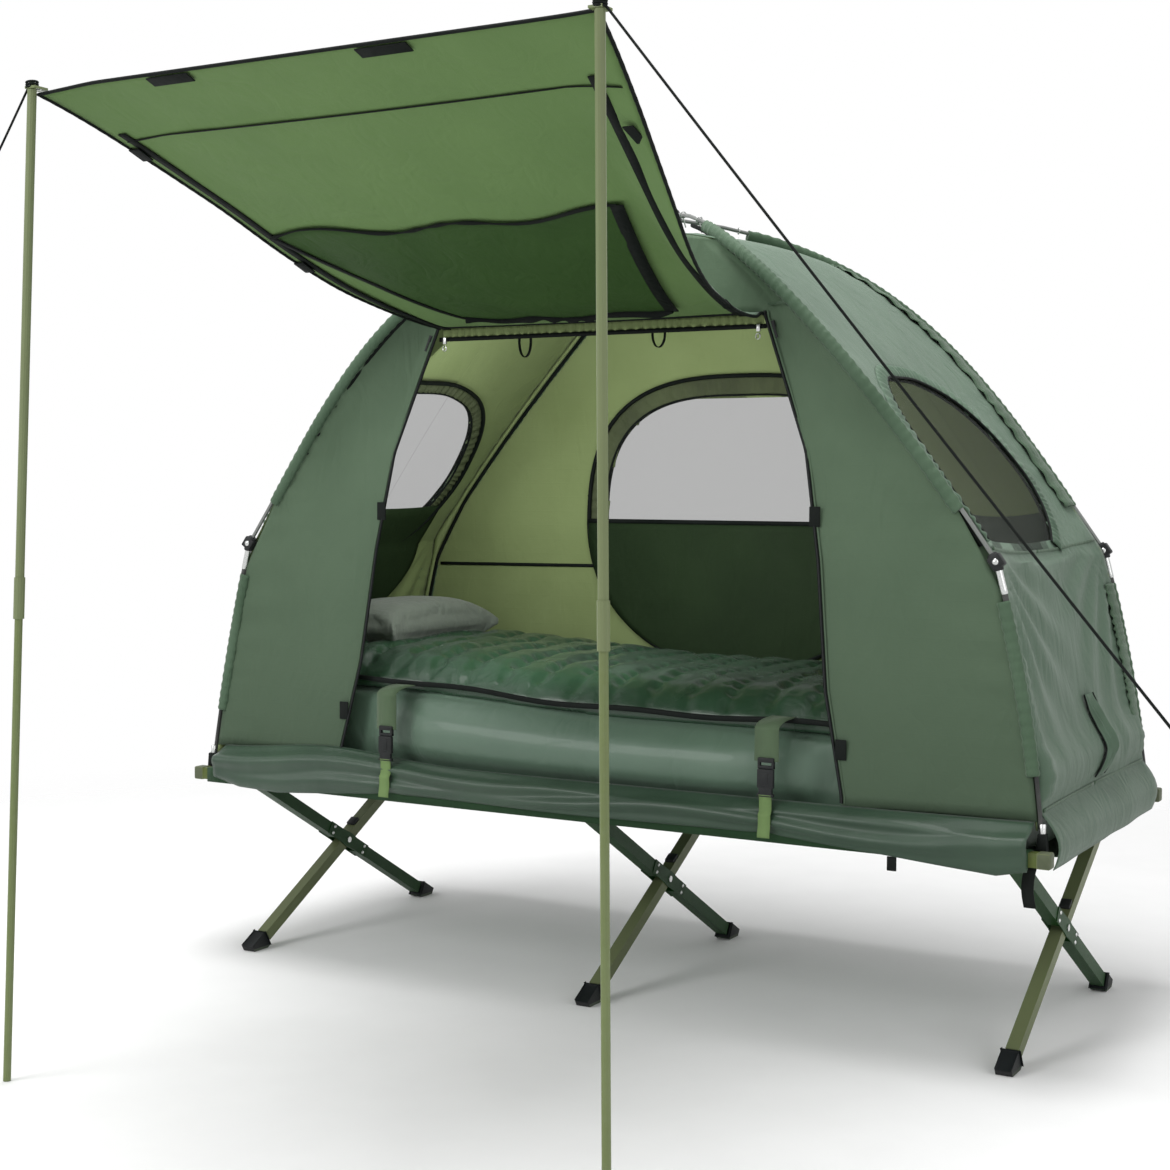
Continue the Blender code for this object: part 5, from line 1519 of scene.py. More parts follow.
@dataclass
class Walls:
    """Front wall round the door, rear wall with its window, and what is sewn on them."""

    foot_z: float = 0.4705
    window_half: float = 0.358
    window_height: float = 0.304
    window_z: float = 0.970
    cover_top_z: float = 0.972
    border: float = 0.042
    net_lap: float = 0.012
    cover_lift: float = -0.0125
    tape_half: float = 0.0032
    door_column: float = 0.5
    head_seam_z: float = 1.404
    edges: dict = field(default_factory=dict)

    def rows(self) -> list:
        """Heights of the walls' rows, with the door's corners and the arched top among them.

        Returns:
            The heights.
        """
        corner = LINES.wall_edge(1 + LINES.corner_share).z
        kinks = [self.foot_z] + [lerp(LINES.door_foot_z, LINES.door_top_z, s) for s,
                                 _ in LINES.door_shares[1:]]
        kinks += [corner, corner + LINES.roof_rise]
        rows = []
        for low, high in zip(kinks, kinks[1:]):
            count = max(int((high - low) / 0.02), 2)
            rows += spaced(low, high, count)[:-1]
        return rows + [kinks[-1]]

    def point(self, u: float, height: float, side_y: int) -> Vector:
        """Carry a grid point onto a wall; its columns follow the door's edge.

        Args:
            u: Place across, from -1 to 1.
            height: Row of the grid.
            side_y: -1 at the front, 1 at the rear.

        Returns:
            The point.
        """
        corner = LINES.wall_edge(1 + LINES.corner_share)
        edge = self.edge_at(min(height, corner.z))
        rise = max(height - corner.z, 0.0) / LINES.roof_rise
        inner = min(LINES.door_half(height), edge.x * 0.8)
        reach = abs(u)
        if reach <= self.door_column:
            x = inner * reach / self.door_column
        else:
            x = lerp(inner, edge.x, (reach - self.door_column) / (1 - self.door_column))
        peak = LINES.roof_edge(x) - 0.0015
        z = min(height, corner.z) + rise * max(peak - corner.z, 0.0)
        return Vector((math.copysign(x, u), LINES.wall_y(x, z, side_y, edge), z))

    def edge_at(self, height: float) -> Vector:
        """The wall's edge at a height, kept for the next time.

        Args:
            height: The height.

        Returns:
            The point.
        """
        key = round(height, 5)
        if key not in self.edges:
            self.edges[key] = LINES.wall_edge_at(height)
        return self.edges[key]

    def build(self) -> None:
        """Make both walls and their details."""
        self.front_wall()
        self.rear_wall()
        self.rear_window()
        self.door_zips()
        self.inner_seams()

    @staticmethod
    def front_relief(point: Vector, u: float, height: float) -> float:
        """Tension folds of the front panels, strongest from the elbows and the door's top corners.

        Args:
            point: A point of the cloth.
            u: Place across the wall.
            height: Height of the grid's row.

        Returns:
            How far the cloth is raised.
        """
        reach = abs(point.x)
        near_pole = smooth((abs(u) - 0.78) / 0.2)
        gather = 0.0022 * math.sin(point.z * 95.0 + 3.0 * math.sin(point.z * 11.0)) * near_pole
        sag = -0.006 * smooth((abs(u) - 0.5) / 0.25) * smooth((1.0 - abs(u)) / 0.2)
        pull = 0.0016 * math.sin((reach * 0.8 + point.z) * 26.0) * bump_at(point.z, 1.20, 0.16)
        seam = -0.0022 * bump_at(point.z, 1.405, 0.006) if height > LINES.door_top_z else 0.0
        return (gather + sag + pull + 0.0025 * crumple(point, 0.22)) * smooth((1.0 - abs(u)) / 0.03) + seam

    def front_wall(self) -> None:
        """The front panels beside and above the door in one cloth."""
        half = spaced(0, self.door_column, 20) + spaced(self.door_column, 1.0, 34)[1:]
        columns = [-place for place in reversed(half[1:])] + half
        low = LINES.door_top_z - 1e-4

        def keep(point: Vector, u: float, height: float) -> bool:
            """Leave out what the door closes."""
            return height > low or abs(u) > self.door_column

        cloth = Cloth("front_wall_cloth", lambda u, z: self.point(u, z, -1), columns, self.rows(),
                      FRONT_CLOTH,
                      LINING, keep=keep, relief=self.front_relief)
        piece = hidden(cloth.make("front_arch"), "front_wall")

    def rear_wall(self) -> None:
        """The rear wall with its window cut out."""
        columns = spaced(-1, 1, 96)

        def keep(point: Vector, u: float, height: float) -> bool:
            """Leave out the window."""
            across, up = point.x / self.window_half, (point.z - self.window_z) / self.window_height
            return not in_oval(across, up)

        def relief(point: Vector, u: float, height: float) -> float:
            """Soft folds and gathers at the poles."""
            gather = 0.002 * math.sin(point.z * 90.0) * smooth((abs(u) - 0.85) / 0.15)
            return (gather + 0.003 * crumple(point, 0.25)) * smooth((1.0 - abs(u)) / 0.03)

        cloth = Cloth("rear_wall_cloth", lambda u, z: self.point(u, z, 1), columns, self.rows(), FRONT_CLOTH,
                      LINING, keep=keep, relief=relief)
        piece = hidden(cloth.make("rear_arch"), "rear_wall")

    def rear_window(self) -> None:
        """Net, gathered border, binding and the cover over its lower half."""
        def spot(x: float, z: float, lift: float) -> Vector:
            """A point on the rear wall, raised outward."""
            return LINES.wall_spot(x, z, 1, lift)

        def inside(point: Vector, u: float, v: float) -> bool:
            """Keep the net within the border."""
            return in_oval(u, v)

        reach, tall = self.window_half + self.net_lap, self.window_height + self.net_lap
        net = Cloth("rear_net", lambda u, v: spot(u * reach, self.window_z + v * tall, 0.0),
                    spaced(-1, 1, 40),
                    spaced(-1, 1, 36), WINDOW_MESH, WINDOW_MESH, 0.0006, keep=inside).make("rear_arch")
        hidden(net, "rear_window_net")

        def rim(share: float) -> tuple:
            """The window's edge, the way out from it along the cloth, and the cloth's outer side.

            Args:
                share: Share of the way round the rim.

            Returns:
                The point, the way out and the outer side.
            """
            angle = 2 * math.pi * share
            a, b = oval(angle, self.window_half, self.window_height)
            wide = oval(angle, self.window_half + 0.01, self.window_height + 0.01)
            way = Vector((wide[0] - a, 0, wide[1] - b)).normalized()
            return spot(a, self.window_z + b, 0.0), way, Vector((0, 1, 0))

        window_trim("rear_window", rim, self.border, "rear_arch", 360, True)
        tall = self.window_height + self.border
        cover_foot = self.window_z - 0.96 * tall
        height = self.cover_top_z - cover_foot

        def cover(u: float, v: float) -> Vector:
            """A point of the cover hanging inside the window.

            Args:
                u: Place across, from -1 to 1.
                v: Place up the cover, from -1 to 1.

            Returns:
                The point.
            """
            share = (v + 1) / 2
            down = clamp((self.window_z - lerp(cover_foot, self.cover_top_z, share)) / tall)
            half = (self.window_half + self.border) * (1 - down ** LOWER_POWER) ** (1 / LOWER_POWER)
            lift = self.cover_lift - 0.004 * math.sin(math.pi * share)
            return spot(u * half, cover_foot + height * share, lift)

        piece = Cloth("rear_window_cover", cover, spaced(-1, 1, 30), spaced(-1, 1, 16), DARK_COVER,
                      DARK_COVER,
                      relief=lambda p, u, v: 0.0015 * crumple(p, 0.09)).make("rear_arch")
        piece = ribbon("rear_cover_zip", lambda s: cover(lerp(-1, 1, s), 1.0) + Vector((0, -0.002, 0)),
                       UPRIGHT, 0.005, 30, BLACK_TAPE, "rear_arch")

    def door_zips(self) -> None:
        """Zips with their tapes up both sides of the door and along its top, and the black tabs on them."""
        front = Vector((0, -1, 0))
        for side_name, side_x in SIDES:
            def path(share: float, side_x: int = side_x) -> Vector:
                """The zip's middle line from the door's foot to its top corner.

                Args:
                    share: Place along it, from 0 to 1.
                    side_x: -1 on the left, 1 on the right.

                Returns:
                    The point.
                """
                height = lerp(self.foot_z + 0.004, LINES.door_top_z + 0.006, share)
                spot = LINES.wall_spot(LINES.door_half(height), height, -1, 0.0022)
                return mirrored(spot, side_x)

            ribbon(side_name + "_door_zip_tape", path, ALONG_X, self.tape_half, 60, BLACK_TAPE,
                   "front_arch")
            teeth = [(path(k / 120) + front * 0.0012, 0.0015 + 0.0004 * (k % 2)) for k in range(121)]
            bar(side_name + "_door_zip_teeth", teeth, BLACK_MOULDED, "front_arch")
            piping = [(path(k / 80) + Vector((side_x * 0.0062, 0, 0)), 0.0018) for k in range(81)]
            bar(side_name + "_door_piping", piping, FRONT_CLOTH, "front_arch")
            for index, (height, aside) in enumerate(((1.000, 0.004), (0.572, 0.014))):
                x = side_x * (LINES.door_half(height) + aside)
                spot = LINES.wall_spot(abs(x), height, -1, 0.0050)
                bm = bmesh.new()
                block(bm, (x - 0.011, spot.y - 0.0015, height - 0.019),
                      (x + 0.011, spot.y + 0.0015, height + 0.019), 0.0012)
                solid_piece(f"{side_name}_door_tab_{index + 1}", bm, BLACK_TAPE, "front_arch")
        self.door_head()

    def door_head(self) -> None:
        """The pleated lining strip under the door's head and the zip below it."""
        def strip(u: float, s: float) -> Vector:
            """A point of the pleated strip.

            Args:
                u: Place across, from -1 to 1.
                s: Place along, from 0 to 1.

            Returns:
                The point.
            """
            x = u * (LINES.door_top_half - 0.004)
            pleat = 0.0022 * math.sin(x * 330.0 + 2.0 * math.sin(x * 40.0))
            return Vector((x, 0.0055 - LINES.door_top_y + pleat, lerp(1.3660, 1.3860, s)))

        piece = Cloth("door_head_strip", strip, spaced(-1, 1, 160), spaced(0, 1, 3), LINING,
                      LINING).make("front_arch")

        def line(share: float) -> Vector:
            """The zip's middle line under the strip."""
            return Vector((lerp(-1, 1, share) * (LINES.door_top_half + 0.002), -LINES.door_top_y + 0.004,
                           1.3620))

        ribbon("door_head_zip", line, UPRIGHT, 0.0045, 40, BLACK_TAPE, "front_arch")
        for side_name, side_x in SIDES:
            bm = bmesh.new()
            x = side_x * (LINES.door_top_half - 0.014)
            block(bm, (x - 0.004, -LINES.door_top_y - 0.002, 1.352),
                  (x + 0.004, -LINES.door_top_y + 0.003, 1.366),
                  0.001)
            ring(bm, Vector((x, -LINES.door_top_y - 0.001, 1.343)), Vector((0.3, 1, 0)), 0.0055, 0.0012, 16)
            solid_piece(side_name + "_head_zip_pull", bm, BRIGHT_STEEL, "front_arch")

            def seam(share: float, side_x: int = side_x) -> Vector:
                """The seam from the door's corner to the arch.

                Args:
                    share: Place along it, from 0 to 1.
                    side_x: -1 on the left, 1 on the right.

                Returns:
                    The point.
                """
                end = LINES.wall_edge_at(self.head_seam_z).x - 0.012
                x = lerp(LINES.door_top_half + 0.004, end, share)
                spot = LINES.wall_spot(x, self.head_seam_z, -1, 0.0016)
                return mirrored(spot, side_x)

            ribbon(side_name + "_front_seam", seam, UPRIGHT, 0.0016, 16, SLEEVE_CLOTH,
                   "front_arch", 0.0008)

    def inner_seams(self) -> None:
        """Bound seams on the inside of the rear wall, and the ties and loops that hang inside."""
        for name, start, end in (("rear_low_seam", (-0.842, 0.857), (-0.372, 0.862)),
                                 ("rear_low_seam_right", (0.372, 0.862), (0.842, 0.857)),
                                 ("rear_side_seam", (-0.372, 0.862), (-0.405, 1.035)),
                                 ("rear_top_seam", (-0.40, 1.452), (0.40, 1.452))):
            def path(share: float, start: tuple = start, end: tuple = end) -> Vector:
                """A straight line on the rear wall's inner face."""
                return LINES.wall_spot(lerp(start[0], end[0], share), lerp(start[1], end[1], share), 1,
                                       -0.003)

            run = (Vector((end[0], 0, end[1])) - Vector((start[0], 0, start[1]))).normalized()
            across = Vector((-run.z, 0, run.x))
            ribbon(name, path, across, 0.004, 16, BLACK_TAPE, "rear_arch")
        for side_name, side_x in SIDES:
            for arch_name, side_y in HALVES:
                stations = []
                for share in spaced(0.10, 1.86, 60):
                    spot = LINES.wall_edge(share) + LINES.inward(share) * 0.010
                    stations.append((Vector((spot.x * side_x, (spot.y - 0.009) * side_y, spot.z)), 0.0042))
                bar(f"{arch_name}_{side_name}_inner_binding", stations, BLACK_TAPE, arch_name + "_arch")
                self.gusset(f"{arch_name}_{side_name}_gusset", side_x, side_y, arch_name + "_arch")
        for name, x, drop in (("hanging_loop", -0.17, 0.065), ("tie_strap", 0.14, 0.055)):
            def path(share: float, x: float = x, drop: float = drop) -> Vector:
                """A loop of tape hanging behind the door's top.

                Args:
                    share: Place along it, from 0 to 1.
                    x: Where it hangs along the bed.
                    drop: How far it hangs down.

                Returns:
                    The point.
                """
                angle = lerp(-0.5, 1.5, share) * math.pi
                return Vector((x + 0.014 * math.cos(angle), -0.310, LINES.door_top_z - drop / 2
                               + drop / 2 * math.sin(angle + math.pi)))

            ribbon(name, path, ALONG_Y, 0.004, 30, BLACK_TAPE, "front_arch")

    @staticmethod
    def gusset(name: str, side_x: int, side_y: int, body: str) -> None:
        """The lining that passes inside the pole, from the wall's edge to the end wall's.

        Args:
            name: The piece's name, or its first part.
            side_x: -1 on the left, 1 on the right.
            side_y: -1 at the front, 1 at the rear.
            body: The body that it rides on.
        """
        def surface(share: float, s: float) -> Vector:
            """A point of the gusset.

            Args:
                share: Place along it, from 0 to 1.
                s: Place along, from 0 to 1.

            Returns:
                The point.
            """
            edge = LINES.wall_edge(share)
            start = Vector((edge.x * side_x, edge.y * side_y, edge.z))
            end = LINES.strip(share, side_y * 0.985, side_x)
            away = Vector((-side_x, -side_y, 0)).normalized() * 0.014 * math.sin(math.pi * s) ** 0.6
            return lerp(start, end, s) + away

        Cloth(name, surface, spaced(0.06, 1.70, 90), spaced(0, 1, 6), FRONT_CLOTH, LINING).make(body)


def window_trim(name: str, rim: Callable[[float], tuple], border: float, body: Optional[str], steps: int,
                closed: bool) -> list:
    """Make a window's gathered border on both faces and its black binding.

    Args:
        name: First part of the pieces' names.
        rim: Gives the edge, the way out from it along the cloth and the outer side, at a share of the rim.
        border: Width of the border.
        body: The body that it rides on.
        steps: Number of faces along it.
        closed: Whether the border runs all round.

    Returns:
        The new pieces.
    """
    pieces = []
    for face_name, side, finish in (("outer", 1, ROOF_CLOTH), ("inner", -1, BORDER_CLOTH)):
        def surface(share: float, v: float, side: int = side) -> Vector:
            """A point of the border: v is -1 at the window and 1 away from it.

            Args:
                share: Place along it, from 0 to 1.
                v: Place across the cloth.
                side: The side's sign or name.

            Returns:
                The point.
            """
            point, way, out = rim(share)
            gathers = math.sin(share * steps * 1.3 + 1.5 * math.sin(share * 41.0))
            ripple = (0.0026 * gathers + 0.003) * (1 - v ** 4)
            return point + way * lerp(-0.004, border, (v + 1) / 2) + out * side * (0.004 + ripple)

        cloth = Cloth(f"{name}_{face_name}_border", surface, spaced(0, 1, steps), spaced(-1, 1, 6), finish,
                      finish, 0.0008, closed=closed)
        pieces.append(cloth.make(body))
        lines = (("rim", -0.003, 0.0026),) + ((("edge", border, 0.0050),) if side < 0 else ())
        for edge_name, grow, radius in lines:
            line = []
            for share in spaced(0, 1, steps):
                point, way, out = rim(share)
                line.append((point + way * grow + out * side * (0.0045 if grow < 0 else 0.0095), radius))
            pieces.append(bar(f"{name}_{face_name}_{edge_name}", line, BLACK_TAPE, body))
    return pieces


def through(points: Sequence[tuple], share: float) -> tuple:
    """Read a smooth line through points in the plane.

    Args:
        points: Points as pairs, in order.
        share: Where to read, from 0 at the first point to 1 at the last.

    Returns:
        The pair there.
    """
    reach = clamp(share) * (len(points) - 1)
    index = min(int(reach), len(points) - 2)
    t = reach - index
    near = [Vector(points[min(max(index + k, 0), len(points) - 1)]) for k in (-1, 0, 1, 2)]
    start, end = (near[2] - near[0]) / 2, (near[3] - near[1]) / 2
    spot = (near[1] * (2 * t ** 3 - 3 * t ** 2 + 1) + start * (t ** 3 - 2 * t ** 2 + t)
            + near[2] * (3 * t ** 2 - 2 * t ** 3) + end * (t ** 3 - t ** 2))
    return spot.x, spot.y


@dataclass
class Roof:
    """The cloth that runs from one end of the bed over the tent to the other."""

    rim: tuple = ((0.36, 1.035), (0.50, 1.07), (0.595, 1.12), (0.62, 1.18), (0.525, 1.27), (0.32, 1.335),
                  (0.0, 1.37), (-0.30, 1.372), (-0.60, 1.355), (-0.88, 1.27), (-0.962, 1.15), (-0.965, 1.035))
    window_foot: float = 1.035
    cover_top: float = 1.10
    cover_foot: float = 0.70
    foot_share: float = 0.12
    flap_bottom: tuple = (0.960, 0.385)
    flap_half: float = 0.370
    end_border: float = 0.030
    vent_shares: tuple = ((0.0, 0.17), (0.35, 0.21), (0.7, 0.20), (1.0, 0.07))
    band: float = 0.135

    def build(self) -> None:
        """Make the cloth, the end windows, seams, bands and vents."""
        corner = 2 + LINES.corner_share

        def keep(point: Vector, place: float, v: float) -> bool:
            """Leave out the end windows."""
            return not self.in_window(corner - abs(place), v)

        for half_name, side_y in HALVES:
            rows = [side_y * place for place in JOIN_ROWS + spaced(0.03, 1, 25)]
            piece = Cloth("roof_" + half_name, self.surface, self.columns(), rows, ROOF_CLOTH, LINING,
                          keep=keep,
                          relief=self.relief).make(None)
            self.follow(piece, side_y)
            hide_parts("roof_panel")
        for side_name, side_x in SIDES:
            self.end_window(side_name, side_x)
            self.end_seam(side_name, side_x)
            self.vent(side_name, side_x)
            self.rear_band(side_name + "_rear_upper_band", side_x, (1.625, 0.42))
            self.rear_band(side_name + "_rear_lower_band", side_x, (2.47, 1.858))

    @staticmethod
    def follow(piece: bpy.types.Object, side_y: int) -> None:
        """Bake a piece's place into its mesh."""
        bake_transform(piece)

    def rear_band(self, name: str, side_x: int, places: tuple) -> None:
        """The gathered band of the rear sleeve that lies on the cloth beside the pole.

        Args:
            name: The piece's name, or its first part.
            side_x: -1 on the left, 1 on the right.
            places: Where it starts and ends along the roof.
        """
        start, end = places
        length = abs(end - start) * 0.52

        def surface(u: float, s: float) -> Vector:
            """A point of the band, raised off the cloth.

            Args:
                u: Place along or across the cloth.
                s: Place along, from 0 to 1.

            Returns:
                The point.
            """
            place, v = side_x * lerp(start, end, u), lerp(0.998, 1 - self.band, s)
            point = self.surface(place, v)
            out = (self.surface(place + 0.004, v) - point).cross(self.surface(place,
                                                                              v - 0.02) - point).normalized()
            if out.dot(point - Vector((0, 0, 0.8))) < 0:
                out = -out
            gathers = math.sin(length * u * 330.0 + 2.2 * math.sin(length * u * 57.0))
            puff = 0.0026 * gathers * (0.35 + 0.65 * s) + 0.0030 * math.sin(math.pi * s)
            return point + out * (0.0042 + puff)

        piece = Cloth(name, surface, spaced(0, 1, int(length / 0.004)), spaced(0, 1, 6), SLEEVE_CLOTH,
                      SLEEVE_CLOTH).make(None)
        self.follow(piece, 1)

    def surface(self, place: float, v: float) -> Vector:
        """A point of the roof, the end walls or, past the walls' feet, the end flaps.

        Args:
            place: Place along it.
            v: Place across the cloth.

        Returns:
            The point.
        """
        foot = 2 + LINES.corner_share - self.foot_share
        reach = abs(place)
        if reach <= foot:
            return LINES.roof(place, v)
        side_x = side_of(place)
        top = LINES.roof(math.copysign(foot, place), v)
        x, z = self.flap_bottom
        share = reach - foot
        bow = 0.020 * math.sin(math.pi * share)
        bottom = Vector((side_x * x, v * self.flap_half, z))
        return lerp(top, bottom, share) + Vector((side_x * bow, 0, 0))

    def columns(self) -> list:
        """Places along the roof, close together.

        Returns:
            The places.
        """
        foot = 2 + LINES.corner_share - self.foot_share
        half = spaced(0, 1, 14) + spaced(1, foot, 92)[1:] + spaced(foot, foot + 1, 8)[1:]
        return [-place for place in reversed(half[1:])] + half

    def relief(self, point: Vector, place: float, v: float) -> float:
        """Folds of the roof and the end walls.

        Args:
            point: A point of the cloth.
            place: Place along it.
            v: Place across or down the cloth.

        Returns:
            How far the cloth is raised.
        """
        reach = abs(place)
        share = 2 + LINES.corner_share - reach
        held = smooth((1 - abs(v)) / 0.06)
        ripple = math.sin(reach * 110.0 + 2.0 * math.sin(reach * 17.0))
        gather = 0.0026 * ripple * smooth((abs(v) - 0.72) / 0.25)
        soft = 0.003 * crumple(point, 0.20)
        if share > 1.0:
            return (gather + soft) * held
        if share < self.foot_share:
            return soft * held
        fold = 0.0
        for side_y, strength in ((-1, 0.0058), (1, 0.0045)):
            away = Vector((point.y - side_y * 0.372, 0.960 - point.z))
            turn = math.atan2(abs(away.x), max(away.y, 0.001))
            wave = math.sin(turn * 19.0 + 1.6 * noise.noise(point * 3.0 + Vector((side_y, 0, 0))))
            fold += strength * wave * bump_at(away.length, 0.24, 0.17)
        loose = 0.006 * crumple(point, 0.09, Vector((1, 1, 2.6))) * bump_at(share, 0.30, 0.22)
        hang = 0.020 * bump_at(share, self.foot_share + 0.12, 0.09)
        level = smooth((share - self.foot_share) / 0.06)
        return (gather * 0.7 + soft + (fold + loose + hang) * level) * held

    def in_window(self, share: float, v: float, grow: float = 0.0) -> bool:
        """Tell whether a place lies in an end window.

        Args:
            share: Place up the pole.
            v: Place from front to rear.
            grow: How much larger the window is taken.

        Returns:
            True inside the window.
        """
        if share < self.window_foot - grow:
            return False
        places = [through(self.rim, step / 80) for step in range(81)]
        widths = [abs(place[0]) for place in places if abs(place[1] - share) < 0.012 and place[0] * v >= 0]
        reach = max(widths) if widths else 0.0
        return abs(v) < reach + grow

    def end_window(self, side_name: str, side_x: int) -> None:
        """Net, border and binding of one end window, and the cover inside it.

        Args:
            side_name: The side's name.
            side_x: -1 on the left, 1 on the right.
        """
        def on(share: float, v: float, lift: float) -> Vector:
            """A point of the end wall, raised outward."""
            point = LINES.strip(share, v, 1) - LINES.inward(share) * lift
            return mirrored(point, side_x)

        def rim(place: float, low: float = 0.0) -> tuple:
            """The window's edge, the way out along the cloth and the outer side.

            Args:
                place: Share of the way round the rim.
                low: Where the half's rim starts.

            Returns:
                The point, the way out and the outer side.
            """
            place = low + place * (REAR_RIM if low == 0.0 else 1.0 - REAR_RIM)
            v, share = through(self.rim, place)
            point = on(share, v, 0.0)
            ahead = through(self.rim, min(place + 0.005, 1.0))
            behind = through(self.rim, max(place - 0.005, 0.0))
            run = on(ahead[1], ahead[0], 0.0) - on(behind[1], behind[0], 0.0)
            out = on(share, v, 0.01) - point
            way = run.cross(out).normalized()
            centre = on(1.18, 0.0, 0.0)
            way *= clamp((0.99 - abs(v)) * 12.0, 0.12, 1.0) * (1 if way.dot(point - centre) > 0 else -1)
            return point, way, out.normalized()

        def surface(u: float, s: float) -> Vector:
            """A point of the cover that hangs inside over the window's lower part.

            Args:
                u: Place along or across the cloth.
                s: Place along, from 0 to 1.

            Returns:
                The point.
            """
            half = (0.90 if u < 0 else 0.68) * (1 - 0.45 * (1 - s) ** 2.6)
            share = lerp(self.cover_foot, self.cover_top, s)
            return on(share, u * half, -0.011 - 0.006 * math.sin(math.pi * s))

        for half_name, side_y in HALVES:
            rows = [side_y * place for place in JOIN_ROWS + spaced(0.03, 0.985, 29)]
            net = Cloth(f"{side_name}_net_{half_name}", lambda s, v: on(s, v, 0.0),
                        spaced(self.window_foot - 0.01, 1.385, 34), rows, WINDOW_MESH, WINDOW_MESH, 0.0006,
                        keep=lambda p, s, v: self.in_window(s, v, 0.012)).make(None)
            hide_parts(side_name + "_window_net")
            cover = Cloth(f"{side_name}_cover_{half_name}", surface, [side_y * u for u in spaced(0, 1, 14)],
                          spaced(0, 1, 16), DARK_COVER, DARK_COVER).make(None)
            low = 0.0 if side_y > 0 else REAR_RIM
            trims = window_trim(f"{side_name}_window_{half_name}", lambda place, low=low: rim(place, low),
                                self.end_border, None, 160, False)
            for piece in [net, cover] + trims:
                self.follow(piece, side_y)

    def end_seam(self, side_name: str, side_x: int) -> None:
        """The seam across an end wall at the elbows, and a strip above its flap whose dark colour is painted
        shade for the crease there.

        Args:
            side_name: The side's name.
            side_x: -1 on the left, 1 on the right.
        """
        # Painted shade: the lower strip stands for the dark crease where the wall meets its flap.
        for name, height, lift in (("upper", self.window_foot - 0.012, 0.003), ("lower", 0.125, 0.002)):
            for half_name, side_y in HALVES:
                def path(place: float, side_y: int = side_y, height: float = height,
                         lift: float = lift) -> Vector:
                    """The strip's line from the middle to the pole."""
                    point = LINES.strip(height, side_y * place * 0.97, 1) - LINES.inward(height) * lift
                    return mirrored(point, side_x)

                self.follow(ribbon(f"{side_name}_{name}_seam_{half_name}", path, UPRIGHT,
                                   0.003, 20, SLEEVE_CLOTH, None), side_y)

    def vent(self, side_name: str, side_x: int) -> None:
        """The pleated vent low in an end wall, with a stitch along its rear edge and a black line along its
        front edge that is painted shadow of its opening.

        Args:
            side_name: The side's name.
            side_x: -1 on the left, 1 on the right.
        """
        def surface(u: float, s: float) -> Vector:
            """A point of the vent's cloth.

            Args:
                u: Place along or across the cloth.
                s: Place along, from 0 to 1.

            Returns:
                The point.
            """
            share = lerp(0.46, 0.15, s)
            v = along(self.vent_shares, s) + u * lerp(0.070, 0.085, s)
            rise = math.sin(math.pi * clamp(0.08 + s * 0.86))
            point = LINES.strip(share, v, 1)
            under = self.relief(mirrored(point, side_x), 2 + LINES.corner_share - share, v)
            lift = max(under, 0.0) + 0.005 + 0.010 * (1 - u ** 4) * rise + 0.0022 * math.cos(u * 19) * rise
            point -= LINES.inward(share) * lift
            return mirrored(point, side_x)

        self.follow(Cloth(side_name + "_vent", surface, spaced(-1, 1, 30), spaced(0, 1, 24), ROOF_CLOTH,
                          ROOF_CLOTH, relief=lambda p, u, s: 0.0022 * crumple(p, 0.03)).make(None), 1)
        # Painted shadow: the front line stands for the shadow of the vent's opening; the rear line is a
        # stitch.
        for edge_name, u in (("front", -1.02), ("rear", 0.96)):
            stitch_and_shadow_points = [(surface(u, k / 40), 0.0016) for k in range(41)]
            self.follow(bar(f"{side_name}_vent_{edge_name}_stitch", stitch_and_shadow_points, BLACK_TAPE, None), 1)


